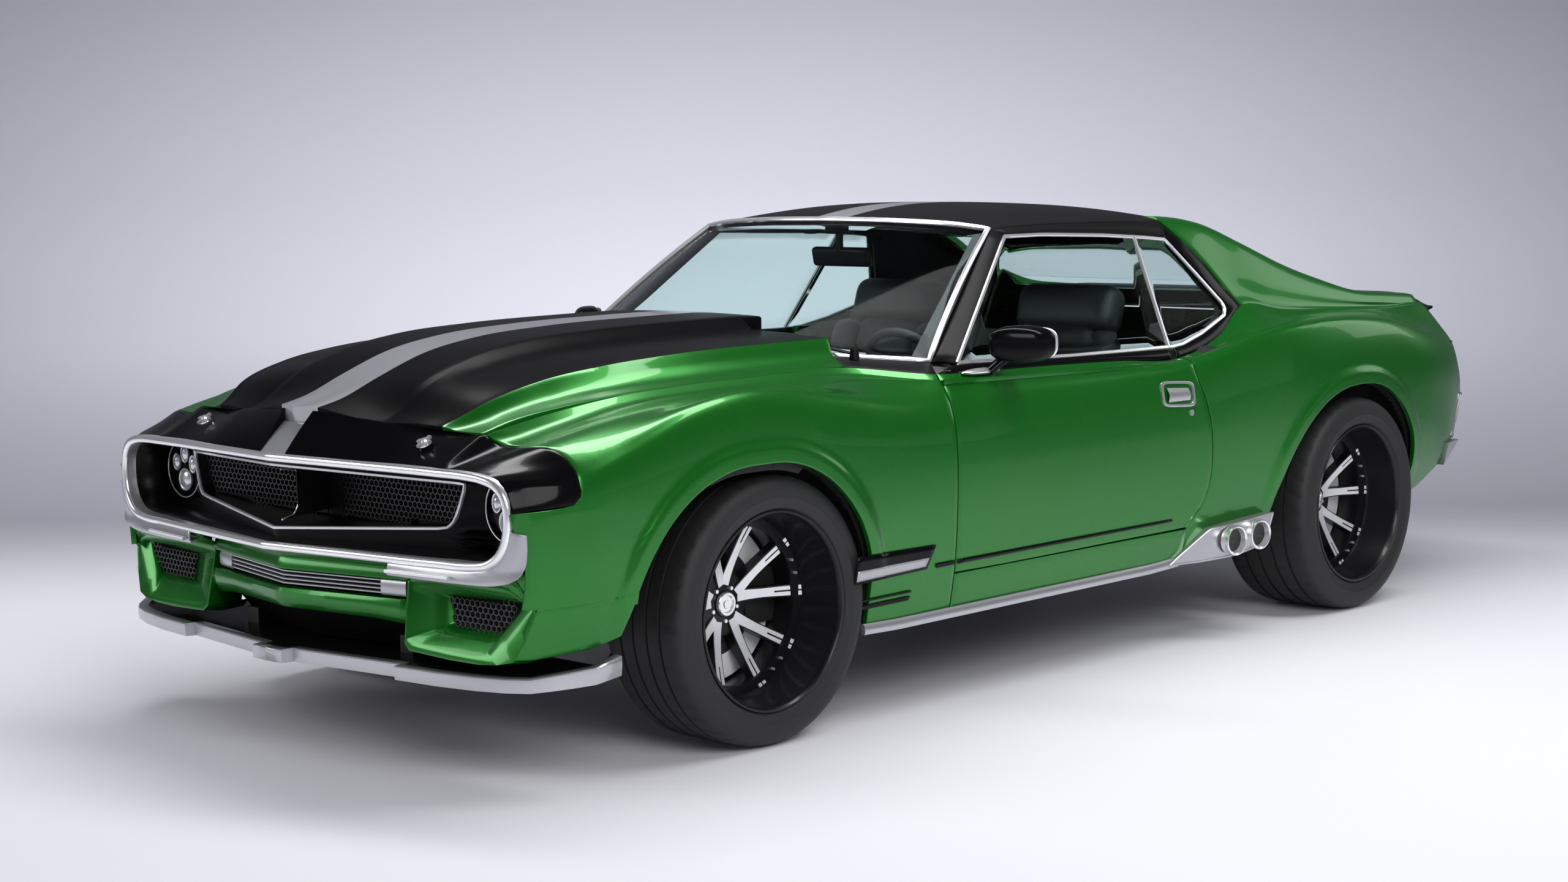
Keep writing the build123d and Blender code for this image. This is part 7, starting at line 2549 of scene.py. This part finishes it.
@dataclass
class Stage:
    """Floor, studio light and the camera."""

    lens: float = 58.563
    place: tuple[float, float, float] = (5.46431, -6.17591, 1.53222)
    yaw: float = 43.40383
    pitch: float = 6.22218
    roll: float = -0.65244
    wall_far: float = 12.6
    wall_top: float = 14.0
    cove: float = 1.4
    near_end: float = -60.0
    far_end: float = 60.0
    half_width: float = 40.0
    light: float = 0.85
    rig: tuple[StudioLamp, ...] = (
        StudioLamp("overhead", (0.6, 0.2, 4.6), (0, 0, 0), (1.0, 7.5), 260.0),
        StudioLamp("key", (6.5, -4.0, 4.2), (0, 0, 0.6), (5.0, 3.0), 260.0),
        StudioLamp("front", (-4.5, -7.0, 3.4), (0, -1, 0.6), (4.0, 3.0), 170.0),
        StudioLamp("rear", (2.0, 8.5, 3.6), (0, 1, 0.8), (5.0, 3.0), 80.0),
    )

    def ahead(self) -> Points:
        """The camera's direction on the floor."""
        yaw = math.radians(self.yaw)
        return np.array([-math.sin(yaw), math.cos(yaw), 0.0])

    def camera(self) -> None:
        """Makes the camera."""
        yaw, pitch, roll = (math.radians(a) for a in (self.yaw, self.pitch, self.roll))
        back = Vector((math.sin(yaw) * math.cos(pitch), -math.cos(yaw) * math.cos(pitch), math.sin(pitch)))
        right = (-back).cross(Vector((0, 0, 1))).normalized()
        up = right.cross(-back)
        turned = math.cos(roll) * right + math.sin(roll) * up
        upright = -math.sin(roll) * right + math.cos(roll) * up
        data = bpy.data.cameras.new("camera")
        data.lens = self.lens
        data.sensor_width = 36.0
        data.clip_end = 200.0
        camera = bpy.data.objects.new("camera", data)
        camera.matrix_world = Matrix.Translation(self.place) @ Matrix((turned, upright,
                                                                       back)).transposed().to_4x4()
        bpy.context.scene.collection.objects.link(camera)
        bpy.context.scene.camera = camera

    def floor(self) -> None:
        """Makes the pale floor that curves up into a backdrop behind the car."""
        ahead = self.ahead()
        aside = np.array([ahead[1], -ahead[0], 0.0])
        start = np.array([*self.place[:2], 0.0])
        bend = np.linspace(0, math.pi / 2, 13)
        run = np.concatenate([[self.near_end, 0.0, 8.0], self.wall_far + self.cove * (np.sin(bend) - 1),
                              [self.wall_far]])
        rise = np.concatenate([[0.0, 0.0, 0.0], self.cove * (1 - np.cos(bend)), [self.wall_top]])
        wide = aside * np.linspace(-self.half_width, self.half_width, 9)[None, :, None]
        bm = bmesh.new()
        add_patch(bm, start + ahead * run[:, None, None] + wide + np.array([0, 0, 1.0]) * rise[:, None, None])
        bmesh.ops.recalc_face_normals(bm, faces=bm.faces[:])
        face_towards(bm, (0, 0, 1))
        run = np.array([self.wall_far - self.cove, self.far_end])
        add_patch(bm, start + ahead * run[:, None, None] + wide[:, ::-1] - np.array([0, 0, 0.004]))
        mesh = bpy.data.meshes.new("floor")
        bm.to_mesh(mesh)
        bm.free()
        mesh.polygons.foreach_set("use_smooth", [True] * len(mesh.polygons))
        mesh.materials.append(self.backdrop(start + ahead * self.wall_far))
        floor = bpy.data.objects.new("floor", mesh)
        bpy.context.scene.collection.objects.link(floor)

    def backdrop(self, centre: Points) -> bpy.types.Material:
        """The floor's material: pale, with a painted pool of light on the wall behind the car that fades outwards to
        painted shade, painted shade on the floor towards the wall, and the wall painted darker where the car reflects
        it.

        Args:
            centre: Foot of the wall behind the car.

        Returns:
            The material.
        """
        material = bpy.data.materials.new("floor")
        material.use_nodes = True
        tree = material.node_tree
        nodes, links = tree.nodes, tree.links
        shader = nodes["Principled BSDF"]
        shader.inputs["Roughness"].default_value = 0.45
        shader.inputs["Specular IOR Level"].default_value = 0.3
        place = nodes.new("ShaderNodeTexCoord").outputs["Object"]
        away = vector_math(tree, "SUBTRACT", place, "Vector", (centre[0], centre[1], 0.80))
        flat = vector_math(tree, "MULTIPLY", away, "Vector", (1.0, 1.0, 2.8))
        # Painted pool of light: the wall is paler at its middle and darker outwards
        glow = blend(tree, span(tree, 0.0, 7.5, vector_math(tree, "LENGTH", flat, "Value")), WALL_PAINTED_LIGHT,
                     WALL_EDGE_SHADE)
        # Painted reflection: the wall is darker where the car's surfaces reflect it
        glow = blend(tree, mirror_rays(tree), glow, WALL_DIMMED_REFLECTION)
        along = vector_math(tree, "DOT_PRODUCT", away, "Value", self.ahead())
        # Painted shade: the floor is lit near the camera and darker towards the wall
        floor = blend(tree, span(tree, -3.9, -1.3, along), FLOOR_NEAR_LIT, FLOOR_FAR_SHADE)
        height = nodes.new("ShaderNodeSeparateXYZ")
        links.new(place, height.inputs["Vector"])
        links.new(blend(tree, span(tree, 0.0, 0.75, height.outputs["Z"]), floor, glow),
                  shader.inputs["Base Color"])
        pick = nodes.new("ShaderNodeMixShader")
        links.new(nodes.new("ShaderNodeNewGeometry").outputs["Backfacing"], pick.inputs["Fac"])
        links.new(shader.outputs["BSDF"], pick.inputs[1])
        links.new(nodes.new("ShaderNodeBsdfTransparent").outputs["BSDF"], pick.inputs[2])
        links.new(pick.outputs["Shader"], nodes["Material Output"].inputs["Surface"])
        return material

    def world(self) -> None:
        """Makes the studio surround: soft light on the car, and a darker one for its reflections."""
        world = bpy.data.worlds.new("studio")
        world.use_nodes = True
        bpy.context.scene.world = world
        tree = world.node_tree
        nodes, links = tree.nodes, tree.links
        split = nodes.new("ShaderNodeSeparateXYZ")
        links.new(nodes.new("ShaderNodeTexCoord").outputs["Generated"], split.inputs["Vector"])
        height = nodes.new("ShaderNodeMapRange")
        height.inputs["From Min"].default_value = -0.2
        height.inputs["From Max"].default_value = 1.0
        links.new(split.outputs["Z"], height.inputs["Value"])
        seen, reflected = nodes["Background"], nodes.new("ShaderNodeBackground")
        links.new(colour_ramp(tree, SKY_STOPS, height.outputs["Result"]), seen.inputs["Color"])
        seen.inputs["Strength"].default_value = self.light
        links.new(colour_ramp(tree, MIRRORED_SKY_STOPS, height.outputs["Result"]), reflected.inputs["Color"])
        pick = nodes.new("ShaderNodeMixShader")
        links.new(mirror_rays(tree), pick.inputs["Fac"])
        links.new(seen.outputs["Background"], pick.inputs[1])
        links.new(reflected.outputs["Background"], pick.inputs[2])
        links.new(pick.outputs["Shader"], nodes["World Output"].inputs["Surface"])

    def lamps(self) -> None:
        """Makes the soft lamps."""
        for lamp in self.rig:
            data = bpy.data.lights.new(lamp.name, "AREA")
            data.shape = "RECTANGLE"
            data.size, data.size_y = lamp.size
            data.energy = lamp.power
            obj = bpy.data.objects.new(lamp.name, data)
            obj.location = lamp.place
            obj.rotation_euler = (Vector(lamp.aim) - Vector(lamp.place)).to_track_quat("-Z", "Y").to_euler()
            bpy.context.scene.collection.objects.link(obj)

    def build(self) -> None:
        """Makes everything round the car."""
        self.camera()
        self.floor()
        self.world()
        self.lamps()
        bpy.context.scene.view_settings.view_transform = "Standard"


# Finishes of the CAD nodes by the start of their names
NODE_FINISHES: tuple[tuple[str, Finish], ...] = (
    ("tyre", RUBBER), ("rim", WHEEL_BLACK), ("brake_disc", STEEL), ("knuckle", CHASSIS), ("rear_axle", CHASSIS),
    ("front_subframe", CHASSIS), ("fuel_tank", CHASSIS), ("engine", IRON), ("front_seats", LEATHER),
    ("rear_bench", LEATHER), ("dashboard", CABIN), ("steering_wheel", CABIN), ("inside_mirror", PLASTIC),
    ("windshield", GLASS), ("rear_glass", GLASS), ("door_glass", GLASS), ("quarter_glass", GLASS),
    ("side_exhausts", SILVER), ("rear_bumper", SILVER), ("tail_lamps", RED_LENS), ("spoiler", BLACK_PAINT),
    ("decklid", GREEN), ("front_splitter", PLASTIC), ("lower_grille", PLASTIC), ("front_valance", GREEN),
    ("headlamps", LENS), ("grille_insert", PLASTIC), ("grille_ring", CHROME), ("nose_cap", GLOSS_BLACK),
    ("door_mirror", GLOSS_BLACK), ("body_shell", GREEN), ("roof_panel", ROOF_BLACK), ("front_fender", GREEN),
    ("door", GREEN), ("hood", GREEN),
)


def dress_nodes(nodes: dict[str, bpy.types.Object], shop: Workshop) -> None:
    """Gives every CAD node that stays in view the finish of its kind.

    Args:
        nodes: The frame's nodes by name.
        shop: The materials.
    """
    for name, node in nodes.items():
        finish = next(finish for stem, finish in NODE_FINISHES if name.startswith(stem))
        node.data.materials.clear()
        node.data.materials.append(shop.get(finish))


def main() -> None:
    """Builds the car's looks round the frame."""
    logging.basicConfig(level=logging.INFO, format="%(message)s")
    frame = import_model()
    shop = Workshop()
    dress_nodes(frame["nodes"], shop)
    side = BodySide()
    SidePanels(side, shop).build()
    Hood(shop).build()
    roof = Roof(shop)
    roof.build()
    Windows(side, roof, shop).build()
    Lining(side, roof, shop).build(frame["nodes"])
    Cabin(shop).build()
    NoseCap(side, shop).build()
    NoseOpening(shop).build()
    Headlamps(shop).build()
    BumperCorners(shop).build()
    LowerFront(side, shop).build()
    make_wheels(shop)
    SideDetails(side, shop).build()
    Tail(side, shop).build()
    Stage().build()


if __name__ == "__main__":
    main()
